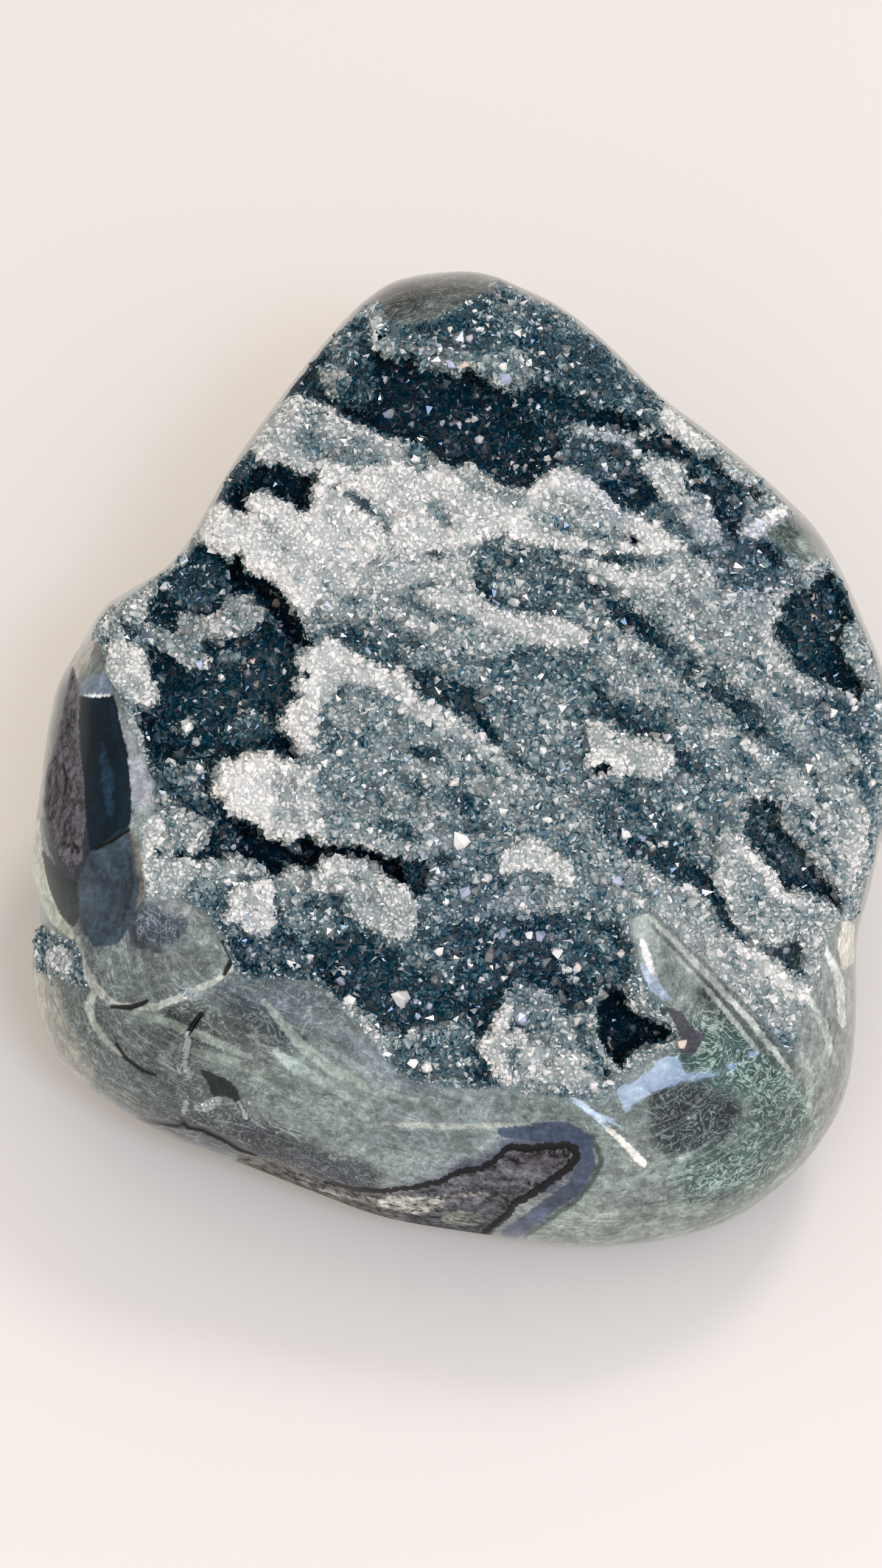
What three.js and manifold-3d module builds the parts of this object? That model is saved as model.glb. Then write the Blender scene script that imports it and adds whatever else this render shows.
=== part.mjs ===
// Druzy agate: one tumbled, polished free-form stone whose upper face opens into a wide druse.
// The druse is a crust of quartz crystals over shelves, ridges and deep hollows.
// Millimetres, +Z up. The origin is under the middle of the stone, on the flat that it rests on.
//
// The stone is drawn in the sight frame: a runs right, b runs up and w runs out, for an eye in front
// of the stone and EYE_ELEVATION above it, where the druse shows nearly face on.
import * as THREE from 'three';
import { mergeVertices } from 'three/addons/utils/BufferGeometryUtils.js';
import Module from 'manifold-3d';

const wasm = await Module();
wasm.setup();

// Driving dimensions
const EYE_ELEVATION = THREE.MathUtils.degToRad(55);
const EYE_DISTANCE = 600;
const HUB = { a: 2, b: 0 };
const REST_DEPTH = 54;
const SHIFT = { x: 3, y: 19.9 };

const FACE_TILT = 0.3;
const FACE_DOME = 0.0012;
const BACK_BULGE = 44;
const BACK_CENTRE = -22;
const BACK_LEAN = 0.42;
const BACK_ROUND = 1.4;

const COLUMNS = 84;
const SHOULDER_RINGS = 5;
const FACE_RINGS = 3;
const BACK_RINGS = 7;

const CRYSTAL_PITCH = 4.1;
const CRYSTAL_RISE = { least: 0.5, most: 1.7 };
const CRYSTAL_JITTER = 0.45;
const EDGE_INSET = 1.3;
const RIM_LEAST = 2;
const WALL_LEAST = 2.4;
const CRUST_THICKNESS = 2;
const CRUST_GAP = 0.3;
const BED_PITCH = 5;
const BED_REACH = 6.4;
const DRUSE_LEVEL = -1.2;
const RIPPLE = { height: 0.7, length: 9.5, direction: THREE.MathUtils.degToRad(55) };

// Outline of the stone, clockwise from its top.
const OUTLINE = [
  [1.8, 66.3], [6.5, 65.8], [10.4, 64.2], [15, 62], [19.8, 58.5], [24.6, 54], [28.6, 50], [34, 46],
  [39, 42], [44, 37.6], [48.5, 33], [52, 27.2], [54.8, 20.8], [57.2, 14.5], [58.8, 6], [58.5, -2],
  [56.6, -8.5], [55.4, -14], [53.8, -20], [53.7, -28], [53.4, -34], [52.2, -40.5], [49, -46.5],
  [44.5, -51.3], [38.5, -55.8], [31.5, -58.4], [22, -59.8], [13.8, -59.4], [5.2, -58.2], [-7, -56.1],
  [-16.3, -52.8], [-26.2, -48.9], [-35.5, -45.4], [-43, -41], [-48.8, -36.2], [-52, -29.5],
  [-52.9, -22.5], [-51.7, -16.8], [-53, -10], [-52, -2], [-51.2, 4.5], [-49.8, 12], [-47.2, 17],
  [-45.2, 20.4], [-43.2, 23.2], [-40.6, 24.9], [-38, 26.4], [-35.2, 28.3], [-33, 31], [-31, 34.2],
  [-27.8, 40], [-24.2, 45.3], [-20, 51], [-15.2, 57], [-10.5, 62], [-5.5, 65.2],
];

// Edge of the druse, where the polished skin ends.
const BORDER = [
  [-10.4, 60.4], [-8.6, 61.4], [-6.6, 60.2], [-3, 59.6], [0.6, 61.2], [2.6, 62.3], [4.6, 63], [7, 63.5],
  [9.2, 63], [11.2, 62.2], [13.4, 61.2], [15.6, 59.8], [17.6, 58.4], [19.6, 56.8], [22, 54.6],
  [24, 52.6], [26, 50.8], [28, 49], [30.4, 47.2], [33.4, 45], [36, 43], [38.6, 40.8], [41.2, 38.6],
  [43.6, 36.6], [43.4, 33.6], [42, 32.2], [43.6, 30.5], [46, 29], [48.5, 28.4], [50.2, 27.6], [52, 25],
  [53.4, 22], [54.6, 18.6], [55.8, 14.6], [56.8, 10], [57.4, 5], [57.2, -1], [56, -5.6], [54.8, -10],
  [53.8, -14], [52.6, -17], [52.4, -20], [52, -24], [51.5, -28], [50.5, -31], [48, -32], [46.8, -33.5],
  [45.6, -35], [42.6, -32.2], [40.6, -29.8], [38, -27], [35, -24], [32, -21], [29.6, -18.8], [27.6, -17],
  [24.3, -17.6], [25.2, -22], [25.6, -24.5], [27, -26.8], [29, -28.8], [30.2, -31], [30.8, -33.2],
  [28.6, -34.8], [27, -35.8], [25.6, -37], [24.2, -38.2], [23.4, -40.5], [24.6, -42.6], [27, -44.6],
  [25.4, -45.6], [22.8, -44], [20, -42.4], [17.5, -41], [15, -40.8], [12, -40.4], [9, -39.2], [5, -38.9],
  [0, -38.8], [-3.5, -38], [-5.5, -37], [-7.5, -35.4], [-9, -33], [-10.4, -31.2], [-12.6, -30.2],
  [-14.8, -28.8], [-17.4, -27.4], [-20.5, -28], [-23.5, -27.4], [-26.5, -28.2], [-29.6, -27.6],
  [-28.4, -25.4], [-27.4, -22.8], [-28.2, -20], [-30.2, -17.2], [-33.5, -15.8], [-37.6, -14.9],
  [-39, -12], [-39.4, -8], [-40.2, -4], [-40.9, 0], [-41.6, 4], [-42.2, 8], [-42.8, 11], [-43.4, 14.4],
  [-43.8, 17.4], [-43.8, 20], [-42.4, 22], [-40.4, 23.6], [-38.4, 24.6], [-36.4, 26], [-34.6, 27.2],
  [-32.6, 29.6], [-30.8, 32], [-29.6, 34.4], [-28.2, 36.8], [-26.4, 39.6], [-24.6, 42.4], [-22.6, 45.4],
  [-20.4, 48.4], [-18.2, 51.2], [-16, 54], [-13.8, 56.8], [-12, 58.8],
];

// Round of the stone's shoulder by direction: [degrees, width seen from the front, drop to the rim].
const SHOULDER = [
  [0, 3, 18], [45, 2.6, 18], [70, 4, 17], [90, 7, 16], [108, 4.5, 17], [130, 2.6, 18], [150, 3, 18],
  [163, 7, 20], [180, 12, 22], [225, 24, 26], [270, 28, 26], [300, 24, 25], [322, 13, 24],
  [342, 5, 20], [360, 3, 18],
];

// Forms of the druse, each over those before it: level, width of its wall, and its outline, or the points
// of its middle line with half widths.
const FORMS = {
  northEastSlope: [-0.6, 4, [
    [-5.5, 59.5], [0, 61.5], [7, 64], [14, 62], [20, 58], [26, 52], [31, 48], [36, 44], [42, 39],
    [46, 36], [50, 28], [46, 26.5], [41, 25.4], [37, 26.4], [34, 29], [28, 33], [20, 38], [17, 42],
    [16, 47], [10, 51], [0, 53.5], [-4, 56]]],
  eastSlope: [-0.4, 4, [
    [47.4, 12.8], [50, 11.6], [53, 13], [57, 12.6], [58, 7], [57, 2], [52, 3.4], [48, 4.4], [45.6, 7],
    [44.6, 10]]],
  northWestSlope: [-2.6, 3, [
    [-20, 50.4], [-15, 57], [-10.6, 61], [-9.2, 58], [-8.4, 55], [-8, 52], [-8.6, 49], [-12.5, 48.8],
    [-16, 50.2]]],
  northLedge: [1.4, 1.6, [
    [-9, 61], [-6, 58.6], [-3.5, 57.6], [-1, 56.6], [1.5, 56], [3.6, 55.2], [6, 55.4], [8.5, 56],
    [10.5, 55.2], [11.5, 53], [10, 51], [8, 51.4], [6.3, 52], [4, 53], [2, 52.8], [0, 53.4], [-2, 53.6],
    [-3.8, 55.2], [-6.4, 54.4], [-7.4, 55.8], [-8.8, 57.2], [-9.2, 59.4]]],
  north: [-10, 2.2, [
    [-8.2, 55.2], [-6.8, 54.4], [-3.6, 55], [-1.8, 53.3], [0.4, 53], [4.2, 52.8], [6, 52], [9.2, 50.8],
    [12, 49], [14, 48], [16, 47.4], [17, 46], [16.6, 43.6], [16.2, 41.2], [14.2, 40.2], [12.4, 38.8],
    [8.6, 38.2], [7, 39], [5.6, 40.2], [4, 41.1], [1.8, 40.8], [0, 41.6], [-1.2, 42.6], [-4.6, 44.2],
    [-6.6, 44.8], [-8.2, 45.6], [-9.8, 46.3], [-13.4, 48.6], [-9.4, 48.8], [-8.4, 52]]],
  northShade: [-4, 2.6, [
    [15.4, 47.6], [20, 49.5], [24, 49], [27.6, 47], [29, 45], [31, 43.8], [34, 42.2], [36.4, 39.4],
    [38.6, 36], [39.4, 33.4], [40.6, 31], [37, 31.4], [36.4, 33.6], [35, 36.4], [32.6, 37.2],
    [31.6, 41.2], [27, 42.2], [24.6, 44.2], [22, 45], [18.5, 46.5]]],
  slateSlope: [-3, 2.6, [
    [16.4, 45.6], [19, 45], [22, 44.6], [24.6, 43.6], [25, 41.2], [27.4, 39], [27.8, 36], [27, 34.4],
    [24.4, 34.8], [22.2, 36], [20.4, 37.8], [18.4, 39.4], [16.6, 41.2]]],
  rimLump: [1.6, 1.4, [
    [28.4, 48], [31.4, 46.8], [33.2, 45.4], [35.4, 43.6], [33.5, 43], [30.8, 44.2], [29, 46]]],
  northEastKnob: [1.8, 1.5, [
    [24.6, 40.3], [26.5, 41.4], [30, 41.3], [31, 40], [31.2, 37.3], [29, 36.5], [27.8, 38.6]]],
  northEastFoot: [1.2, 1.5, [
    [32.2, 35], [33, 36.5], [34.6, 35.8], [36, 33.4], [35.6, 31.5], [32.6, 30.2], [31.6, 31.8],
    [30.6, 33.4]]],
  eastKnob: [1.6, 1.4, [
    [39, 33], [40.5, 34], [42, 35], [43.4, 36.4], [44, 34.2], [42, 32.4], [40.5, 31.2]]],
  slateBand: [-0.8, 3, [
    [33, 30], [36.6, 30.8], [40, 31], [43, 31], [46, 29], [49, 27.6], [47, 26], [44.6, 24.4], [41, 25],
    [37, 26], [34, 28]]],
  firstShelf: [2.6, 1.6, [
    [-20.8, 49.4], [-18.4, 49.8], [-15, 48.4], [-13.2, 47.4], [-10, 46], [-8, 45.2], [-6.5, 44.4],
    [-4.6, 43.8], [-1.4, 42.8], [0, 41.6], [-2, 40.8], [-6, 40.8], [-9.8, 40.6], [-12.4, 41], [-16, 41],
    [-17.6, 40], [-20, 41.4], [-23, 41.2], [-24, 44.2], [-23, 46.4]]],
  whiteShelf: [3.4, 2, [
    [-30.6, 35.6], [-28.6, 36], [-26, 35.3], [-25.1, 37], [-22.5, 37.7], [-20.4, 36.4], [-18.4, 35.4],
    [-16.8, 38.4], [-15.4, 41], [-13, 41.2], [-9.6, 40.6], [-7, 41.2], [-4.4, 41], [-2, 41], [0.4, 40.6],
    [2.4, 41], [5.6, 40], [7, 38.9], [8.8, 38.2], [11, 37.9], [12.4, 38.7], [14, 39.9], [16.6, 40.8],
    [18.2, 39.4], [20, 37.9], [21.6, 36.8], [24, 34.9], [25.4, 34], [28.2, 32.8], [30.8, 32],
    [31.6, 30.4], [31, 28.6], [28, 28.6], [24, 29.4], [20, 29], [16, 28.4], [12, 28.8], [8, 29], [4, 28],
    [0, 28.2], [-4, 27.4], [-8, 26.4], [-12, 25], [-15, 22.6], [-17.4, 20.2], [-19, 22.8], [-20.3, 24.8],
    [-21.5, 25.9], [-24.7, 27.2], [-26, 28.4], [-28.6, 29.8], [-31, 31.4], [-31.4, 33.6]]],
  shelfFoot: [2.2, 4, [
    [-15, 29], [-8, 30], [0, 30], [5, 29.6], [8, 27], [2, 26], [-6, 25], [-12, 24.4], [-15, 22.6],
    [-16.6, 21.4], [-16.4, 24]]],
  upperBand: [2, 3, [
    [5, 35], [12, 35.6], [18, 35.4], [22, 35], [26, 33], [31.6, 31], [34, 28.6], [36.4, 25.6],
    [40, 24.4], [44, 23.4], [43, 20], [44, 17.4], [45.6, 14.4], [48, 12.4], [51, 8], [54, 3], [50, 0],
    [44, 4], [40, 9], [36, 13], [31, 17], [26, 21.5], [20, 25], [12, 28.4], [6, 30.6]]],
  firstValley: [-3, 2.8, [
    [9.6, 30.6, 0.4], [13, 28.6, 1.1], [17, 26.4, 1.5], [21, 24, 1.8], [25, 21.4, 1.8], [28, 19, 1.6],
    [31, 16.6, 1.4], [34, 13.6, 1.5], [37.4, 11, 1.5], [40, 8.4, 1.7], [42, 5.6, 1.5], [40.6, 2.6, 1]]],
  centralRidge: [1.4, 1.3, [
    [-16, 25.6], [-12, 26.2], [-8, 26.6], [-3, 26.6], [1, 26.8], [3.6, 26.4], [4.4, 24.8], [6.4, 23.5],
    [9, 22.3], [14, 21.2], [17, 20.5], [18.6, 19.4], [19.4, 17.4], [20, 14], [14, 14], [4, 14.6],
    [-4, 15], [-10, 17], [-14, 19], [-17, 21]]],
  centralRidgeMiddle: [0.6, 1.5, [
    [19, 17.6], [21.4, 16.6], [23.6, 17.6], [26, 18], [27.6, 17], [28.6, 15.4], [31, 14.6], [33, 12.4],
    [35.6, 10.6], [38, 8], [39.6, 5.6], [41, 3.4], [38, -2], [32, 0], [28, 6], [24, 9], [19, 12]]],
  centralRidgeEast: [0.8, 1.6, [
    [39.4, 5.8], [42, 4.2], [45, 3.6], [48, 2.4], [51, 1.4], [54, -0.6], [56, -5], [54.4, -10],
    [53.4, -14], [51, -15], [49.4, -11.2], [47.6, -8.4], [45.6, -5.6], [43.4, -3.2], [40, -2.4],
    [37, 0.6]]],
  secondValley: [-1.4, 2.8, [
    [2, 17, 0.8], [8, 16.6, 1.1], [13.6, 15.6, 1.3], [18, 14, 1.4], [21, 11.6, 1.5], [25, 9, 1.2],
    [29, 7, 1.2], [31.4, 4, 1.2], [34.6, 0, 1]]],
  thirdValley: [-3, 3, [
    [-14.4, 20.8, 0.6], [-10, 18.4, 1.2], [-6, 16.4, 1.6], [-2, 14.8, 2.1], [2, 12.8, 2.4],
    [5, 10.2, 2.3], [7.6, 7.4, 2], [10, 4.6, 1.6], [13, 2, 1.3], [17, -0.8, 1.2], [20.6, -3.6, 1.3],
    [24.4, -6.8, 1.7], [28, -9.8, 2.3], [31.4, -12.4, 1.9], [35, -15, 1.3], [37, -17.6, 0.7]]],
  slab: [0.8, 1.4, [
    [-18.8, 15.6], [-17.4, 17], [-14, 16.9], [-10, 16], [-7.6, 14.9], [-5.4, 14.4], [-3.4, 12.4],
    [-1, 11], [1.6, 9.4], [3.6, 7.6], [5.4, 5.6], [7.6, 3.6], [10, 1.4], [13, -0.6], [16, -2.6],
    [19, -5.4], [21.4, -8], [24, -10.4], [27, -12.6], [30, -14.4], [33.6, -16], [36.6, -18.6], [34, -20],
    [30, -18.6], [26, -17], [20, -16.6], [12, -16.4], [4, -16], [-2, -14], [-4, -10], [-8, -9.4],
    [-12, -8], [-14, -3], [-18, 2], [-18.8, 4.4], [-19.8, 6.8], [-20.3, 9], [-19.5, 11], [-18.9, 13]]],
  slabCrest: [1.8, 1.6, [
    [-4, 12.2, 1], [0, 9.4, 1.2], [3, 6.8, 1.1], [5.6, 4.2, 1], [8.4, 1.6, 0.8], [12, -1, 0.8],
    [16, -3.6, 0.8]]],
  slabGully: [-0.8, 3, [
    [-11, 6.4, 1], [-6, 4, 1.4], [0, 0.6, 1.4], [5, -3, 1.6], [9, -5.6, 1]]],
  westKnob: [3.6, 1.6, [
    [-30.2, -1], [-29.4, 0.8], [-28, 3], [-26, 3.9], [-22, 3.4], [-18.6, 3], [-16.6, 2], [-14.8, 0],
    [-14, -2.4], [-13.4, -4.6], [-14.5, -7.6], [-16.8, -6.5], [-20, -7.7], [-21.5, -7], [-23, -6],
    [-24.2, -4.7], [-26.5, -3.6], [-28.5, -2.4]]],
  westKnobRight: [2.6, 2.6, [
    [-19, 1.8], [-16.6, 2], [-14.8, 0], [-13, -3], [-8, -3.4], [-3, -4.4], [-1, -6.6], [-2.4, -9],
    [-6, -9.2], [-10, -8.2], [-13.8, -7.4], [-17, -4.4], [-19.6, -2]]],
  westFringe: [2, 1.8, [
    [-43.6, 18], [-41, 18.6], [-38.8, 16.2], [-38, 14.4], [-36.7, 11.8], [-39, 9.4], [-41.2, 11.4],
    [-42.6, 12.4], [-43.3, 15]]],
  westFringeTop: [0.8, 2, [
    [-44.2, 21.4], [-42.6, 23], [-41, 24], [-38.6, 24.8], [-38, 21.6], [-39.4, 19.6], [-42.6, 18.6],
    [-44, 19.6]]],
  westFringeLower: [1, 2.4, [
    [-42.4, 9.4], [-39.8, 9.2], [-38, 8.4], [-38.4, 3], [-38.4, -1.6], [-36, -2.6], [-31, -3.4],
    [-29.6, -5.6], [-30.4, -8], [-34.4, -9], [-36, -9.6], [-39.4, -10], [-40.4, -5], [-41.2, 0], [-42, 5]]],
  westFringeFoot: [2, 1.6, [
    [-39.5, -4.6], [-38, -3.9], [-36, -4], [-35.5, -6], [-35.6, -8], [-37, -9.6], [-38.8, -9],
    [-39.4, -6.4]]],
  frostedCorner: [1, 2.4, [
    [-39.4, -10], [-36, -9.8], [-34.4, -9.8], [-32.6, -10.6], [-31.2, -12], [-32.2, -13.8], [-34, -15],
    [-38.2, -15]]],
  lowerGround: [-0.4, 3, [
    [-34, -15], [-31, -11], [-27, -10], [-21, -11.4], [-16, -11.6], [-9, -11.6], [-4, -13.4], [0, -10],
    [6, -8], [10, -11], [8, -15], [2, -17.4], [-6, -19.6], [-14, -20.2], [-22, -20.4], [-28, -20]]],
  lowerKnobLeft: [2.8, 1.6, [
    [-26, -12.6], [-22.5, -11.9], [-21.5, -15], [-21.7, -17.5], [-23.5, -19.5], [-25, -18.6],
    [-27.4, -18], [-26.2, -14.5]]],
  lowerKnobRight: [2.4, 1.8, [
    [-16.5, -11.5], [-15, -9.9], [-13, -9.5], [-9.5, -10.1], [-9, -11.8], [-5.8, -13], [-4.3, -14.5],
    [-4, -17], [-6, -18], [-8.5, -18.4], [-11, -18.7], [-12, -17], [-13, -15], [-14.8, -13.8]]],
  centreKnob: [2.4, 1.8, [
    [9.5, -7.5], [11, -6.8], [13, -8], [14.5, -9.2], [16, -10.2], [17, -11.5], [15, -12], [12, -11],
    [10, -10.5], [8, -10.8], [9, -8.5]]],
  ledge: [2, 1.4, [
    [19, 8.6], [22.5, 7], [24, 6], [26.2, 5.8], [28, 5.1], [30, 4], [28, 1.6], [25, 1.8], [22.4, 2.2],
    [21, 3.4], [20, 5]]],
  southEastShelf: [1.6, 1.8, [
    [36.4, -7], [38, -6.4], [39.4, -7.6], [41, -8.6], [42.2, -10.2], [43.4, -11.4], [44.2, -13.8],
    [46, -14.6], [48.4, -14.6], [50, -15.4], [51.6, -16.6], [52.4, -19], [52, -22], [50.8, -24.6],
    [48.6, -25.2], [47.2, -24], [46, -21.8], [44, -20.4], [41.6, -20.4], [39, -18.6], [37, -15.6],
    [35, -12], [35, -9]]],
  southEastSlope: [0, 2.6, [
    [27, -14.6], [31, -15], [34, -17], [37, -19], [40, -20.8], [42.6, -23], [44, -25], [47, -26],
    [50, -26.6], [51.4, -30], [47, -32], [44, -33], [40, -29], [36, -25], [32, -21], [28, -17]]],
  lowerBasin: [-4, 4, [
    [-28, -21], [-22, -20.5], [-18, -20.3], [-14, -19.8], [-10, -19.6], [-6, -19], [-3, -17.5],
    [0, -16.5], [4, -15.8], [8, -17], [13, -17.6], [18, -17.8], [22, -18.5], [23.8, -21], [24, -24],
    [23, -26.4], [20, -27], [19, -29.5], [16, -30.2], [12, -30.4], [9.6, -29.6], [7.4, -30], [5.6, -32],
    [4, -31.4], [1, -31], [-2, -31.2], [-4.6, -31.8], [-8, -31.4], [-11, -30], [-14, -28], [-17, -26.6],
    [-21, -27], [-27, -26]]],
  basinShore: [-1.4, 2.4, [
    [-4.8, -32.6], [0, -31.6], [4, -31.8], [5.4, -33.4], [6, -36], [6.6, -38.6], [0, -39], [-4.6, -38],
    [-6.6, -36], [-8.4, -34]]],
  southKnob: [3.2, 1.8, [
    [6, -32], [8, -30.3], [11, -31], [11, -33.5], [13, -35], [15, -36.4], [17, -38.4], [15, -40],
    [12, -40.2], [9, -38.5], [7, -38], [6, -35]]],
  southSlope: [0.4, 3, [
    [11, -31.4], [15, -31], [18.6, -31], [19.8, -33], [21, -36], [22.6, -38], [22.4, -41.4], [19, -41.4],
    [16.6, -39.4], [14, -36.2], [11.4, -34]]],
  west: [-7, 2.4, [
    [-37.5, 23.5], [-36, 26], [-34.2, 27.6], [-32.4, 29.8], [-31.3, 31], [-29.8, 30.2], [-28, 29],
    [-26.2, 26.4], [-24.6, 24.8], [-23, 23.2], [-21.6, 21], [-19.5, 19.2], [-17.8, 17.3], [-18.8, 15.6],
    [-18.9, 13], [-18, 11.5], [-20.3, 9], [-21.2, 7.6], [-19.8, 6.6], [-18.8, 4.4], [-24, 4.2],
    [-28.4, 3.2], [-29.4, 1], [-30.4, -1], [-31, -3], [-34, -2.4], [-37.8, -1.5], [-38.4, 2], [-37.8, 6],
    [-37.6, 9.6], [-36.6, 11.4], [-37.2, 13.6], [-38.2, 15], [-38.8, 17], [-38, 19.6], [-37, 21.4]]],
  westSlope: [-3.6, 3, [
    [-37.6, 23.6], [-36, 26], [-34.2, 27.6], [-32.4, 29.8], [-31.3, 31], [-29, 29.4], [-28.2, 26.4],
    [-29, 23.4], [-32, 22.2], [-35, 22]]],
  cavityLump: [-2.6, 1.8, [
    [-29, 19.8], [-29.4, 22], [-28, 23], [-26.2, 24], [-24.2, 23.4], [-22.6, 22], [-22.8, 19.8],
    [-25, 19], [-27.2, 18.8]]],
  cavityCrest: [-3, 1.6, [
    [-39.4, 21.2], [-36.6, 19.4], [-34.6, 21.6], [-32.6, 22], [-31, 21], [-30, 19.4], [-32.4, 17.4],
    [-31.8, 15.6], [-29.4, 14.8], [-32.6, 14], [-35, 15.8], [-37.4, 17.2], [-39.8, 18.8]]],
  cavityBoss: [-3.6, 2, [
    [-28, 4.6], [-28.4, 7], [-27.4, 8.8], [-25, 9.8], [-22.6, 9], [-21, 7], [-21.8, 4.8]]],
  cavityApron: [-2.6, 2.4, [
    [-38, 2.8], [-36, 2.2], [-32, 2.4], [-29.6, 1], [-30.6, -2.6], [-34, -2.8], [-38, -1.8]]],
  leftCleft: [-12, 1.4, [
    [-27.9, 29.3], [-25.8, 28], [-24.5, 27], [-23, 26.1], [-20.3, 24.8], [-18.8, 22.8], [-17.8, 21.5],
    [-17.2, 19], [-16, 17.6], [-18, 17.2], [-20, 19.5], [-21.5, 20.5], [-23.5, 23.7], [-26, 24.6],
    [-27.3, 25.6]]],
  upperLeft: [-8, 1.4, [
    [-28.6, 36.6], [-26, 35.4], [-25.1, 37], [-22.5, 37.7], [-20.5, 36.4], [-18.5, 35.4], [-16.8, 37],
    [-16.1, 39.6], [-18.5, 40.5], [-20, 41.3], [-23, 41], [-24, 43.4], [-25.2, 42], [-27, 39.4]]],
  knobCleft: [-12, 1.6, [
    [-34.5, -9.5], [-31, -9], [-29.8, -6], [-28.5, -5], [-24.5, -5], [-23, -6.3], [-21, -7.4],
    [-17, -6.8], [-14.5, -8], [-10.5, -8.2], [-8, -9.6], [-5, -9.8], [-3, -9.5], [-2, -10.8],
    [-4, -11.5], [-5.4, -12.5], [-8, -10.8], [-9.2, -9.5], [-11, -9], [-15, -9], [-16, -10.6],
    [-19, -10.5], [-21.3, -11.7], [-23, -9.8], [-25, -9.6], [-28.5, -9.8], [-30, -9], [-32, -9.6]]],
  pit: [-12, 1.6, [
    [19.8, -26.8], [23, -26.5], [24, -27.8], [26, -29.8], [27.5, -30.8], [30, -32], [29, -33.8],
    [26.5, -33.8], [25, -34.8], [23, -36], [21, -35], [20.2, -33], [19.5, -30.5]]],
  east: [-7, 2, [
    [44.2, 23.5], [46.5, 25], [48, 26], [49.5, 27], [52.2, 24.6], [53, 22.5], [53, 20], [52.3, 18.5],
    [53, 15], [52.5, 13], [50, 12.3], [48, 13], [46, 14], [45, 16], [44.2, 17.5], [43.2, 19], [44, 21]]],
  southEast: [-7, 1.8, [
    [39.5, -6.2], [40, -3.8], [41.5, -2.5], [44.5, -5], [46, -7.5], [48, -9.5], [49, -11], [50, -13],
    [51, -15.5], [48.5, -14.6], [46, -14.4], [44, -12.5], [43, -11.2], [40.8, -8.5], [39.5, -7.5]]],
  ledgeHollow: [-4, 1.6, [
    [19.6, 9.3], [22, 9.8], [25, 9], [27, 8.5], [29, 7.4], [30.6, 5.6], [28.5, 5], [26, 6], [24, 6.2],
    [22.5, 7.2], [20.5, 8.2]]],
};

// Small numeric helpers

function smooth(t) {
  const x = THREE.MathUtils.clamp(t, 0, 1);
  return x * x * (3 - 2 * x);
}

// A repeatable number from 0 to 1 for each pair of whole numbers.
function scatter(i, j) {
  const s = Math.sin(i * 127.1 + j * 311.7) * 43758.5453;
  return s - Math.floor(s);
}

function segmentDistance(a, b, [a0, b0, r0 = 0], [a1, b1, r1 = 0]) {
  const da = a1 - a0;
  const db = b1 - b0;
  const span = da * da + db * db;
  const t = span ? THREE.MathUtils.clamp(((a - a0) * da + (b - b0) * db) / span, 0, 1) : 0;
  const radius = r0 + t * (r1 - r0);
  return { radius, distance: Math.hypot(a - a0 - t * da, b - b0 - t * db) };
}

function inside(a, b, outline) {
  let odd = false;
  outline.forEach(([a0, b0], i) => {
    const [a1, b1] = outline[(i + 1) % outline.length];
    if (b0 > b !== b1 > b && a < ((a1 - a0) * (b - b0)) / (b1 - b0) + a0) odd = !odd;
  });
  return odd;
}

// Distance to an outline, below zero inside it.
function outlineDistance(a, b, outline) {
  let least = Infinity;
  outline.forEach((point, i) => {
    const next = outline[(i + 1) % outline.length];
    least = Math.min(least, segmentDistance(a, b, point, next).distance);
  });
  return inside(a, b, outline) ? -least : least;
}

// Form of the stone

const rim = new THREE.CatmullRomCurve3(
  OUTLINE.map(([a, b]) => new THREE.Vector3(a, b, 0)), true, 'catmullrom', 0.5);
const rimPolar = rim.getPoints(720).slice(1)
  .map((p) => ({ angle: Math.atan2(p.y - HUB.b, p.x - HUB.a), radius: Math.hypot(p.x - HUB.a, p.y - HUB.b) }))
  .sort((p, q) => p.angle - q.angle);

// Distance from the hub to the outline in one direction.
function rimRadius(angle) {
  const turn = 2 * Math.PI;
  const last = rimPolar.length - 1;
  const after = rimPolar.findIndex((p) => p.angle > angle);
  const high = after < 0 ? { ...rimPolar[0], angle: rimPolar[0].angle + turn } : rimPolar[after];
  const before = after <= 0 ? last : after - 1;
  const low = after === 0
    ? { ...rimPolar[last], angle: rimPolar[last].angle - turn } : rimPolar[before];
  return THREE.MathUtils.mapLinear(angle, low.angle, high.angle, low.radius, high.radius);
}

function shoulder(angle) {
  const degrees = (THREE.MathUtils.radToDeg(angle) + 360) % 360;
  const next = SHOULDER.findIndex(([limit]) => limit > degrees);
  const [d0, w0, h0] = SHOULDER[next - 1];
  const [d1, w1, h1] = SHOULDER[next];
  const t = smooth((degrees - d0) / (d1 - d0));
  return { width: w0 + t * (w1 - w0), drop: h0 + t * (h1 - h0) };
}

function plateau(a, b) {
  return -FACE_TILT * b - FACE_DOME * (a * a + b * b);
}

// Middle depth of the back, which leans so that the stone lies on a broad underside.
function backCentre(b) {
  return BACK_CENTRE - BACK_LEAN * b;
}

// A point of the druse's edge, drawn in where the polished rim would be thinner than RIM_LEAST.
function drawnIn([a, b]) {
  const angle = Math.atan2(b - HUB.b, a - HUB.a);
  const reach = Math.min(Math.hypot(a - HUB.a, b - HUB.b), rimRadius(angle) - RIM_LEAST);
  return [HUB.a + reach * Math.cos(angle), HUB.b + reach * Math.sin(angle)];
}

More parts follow.
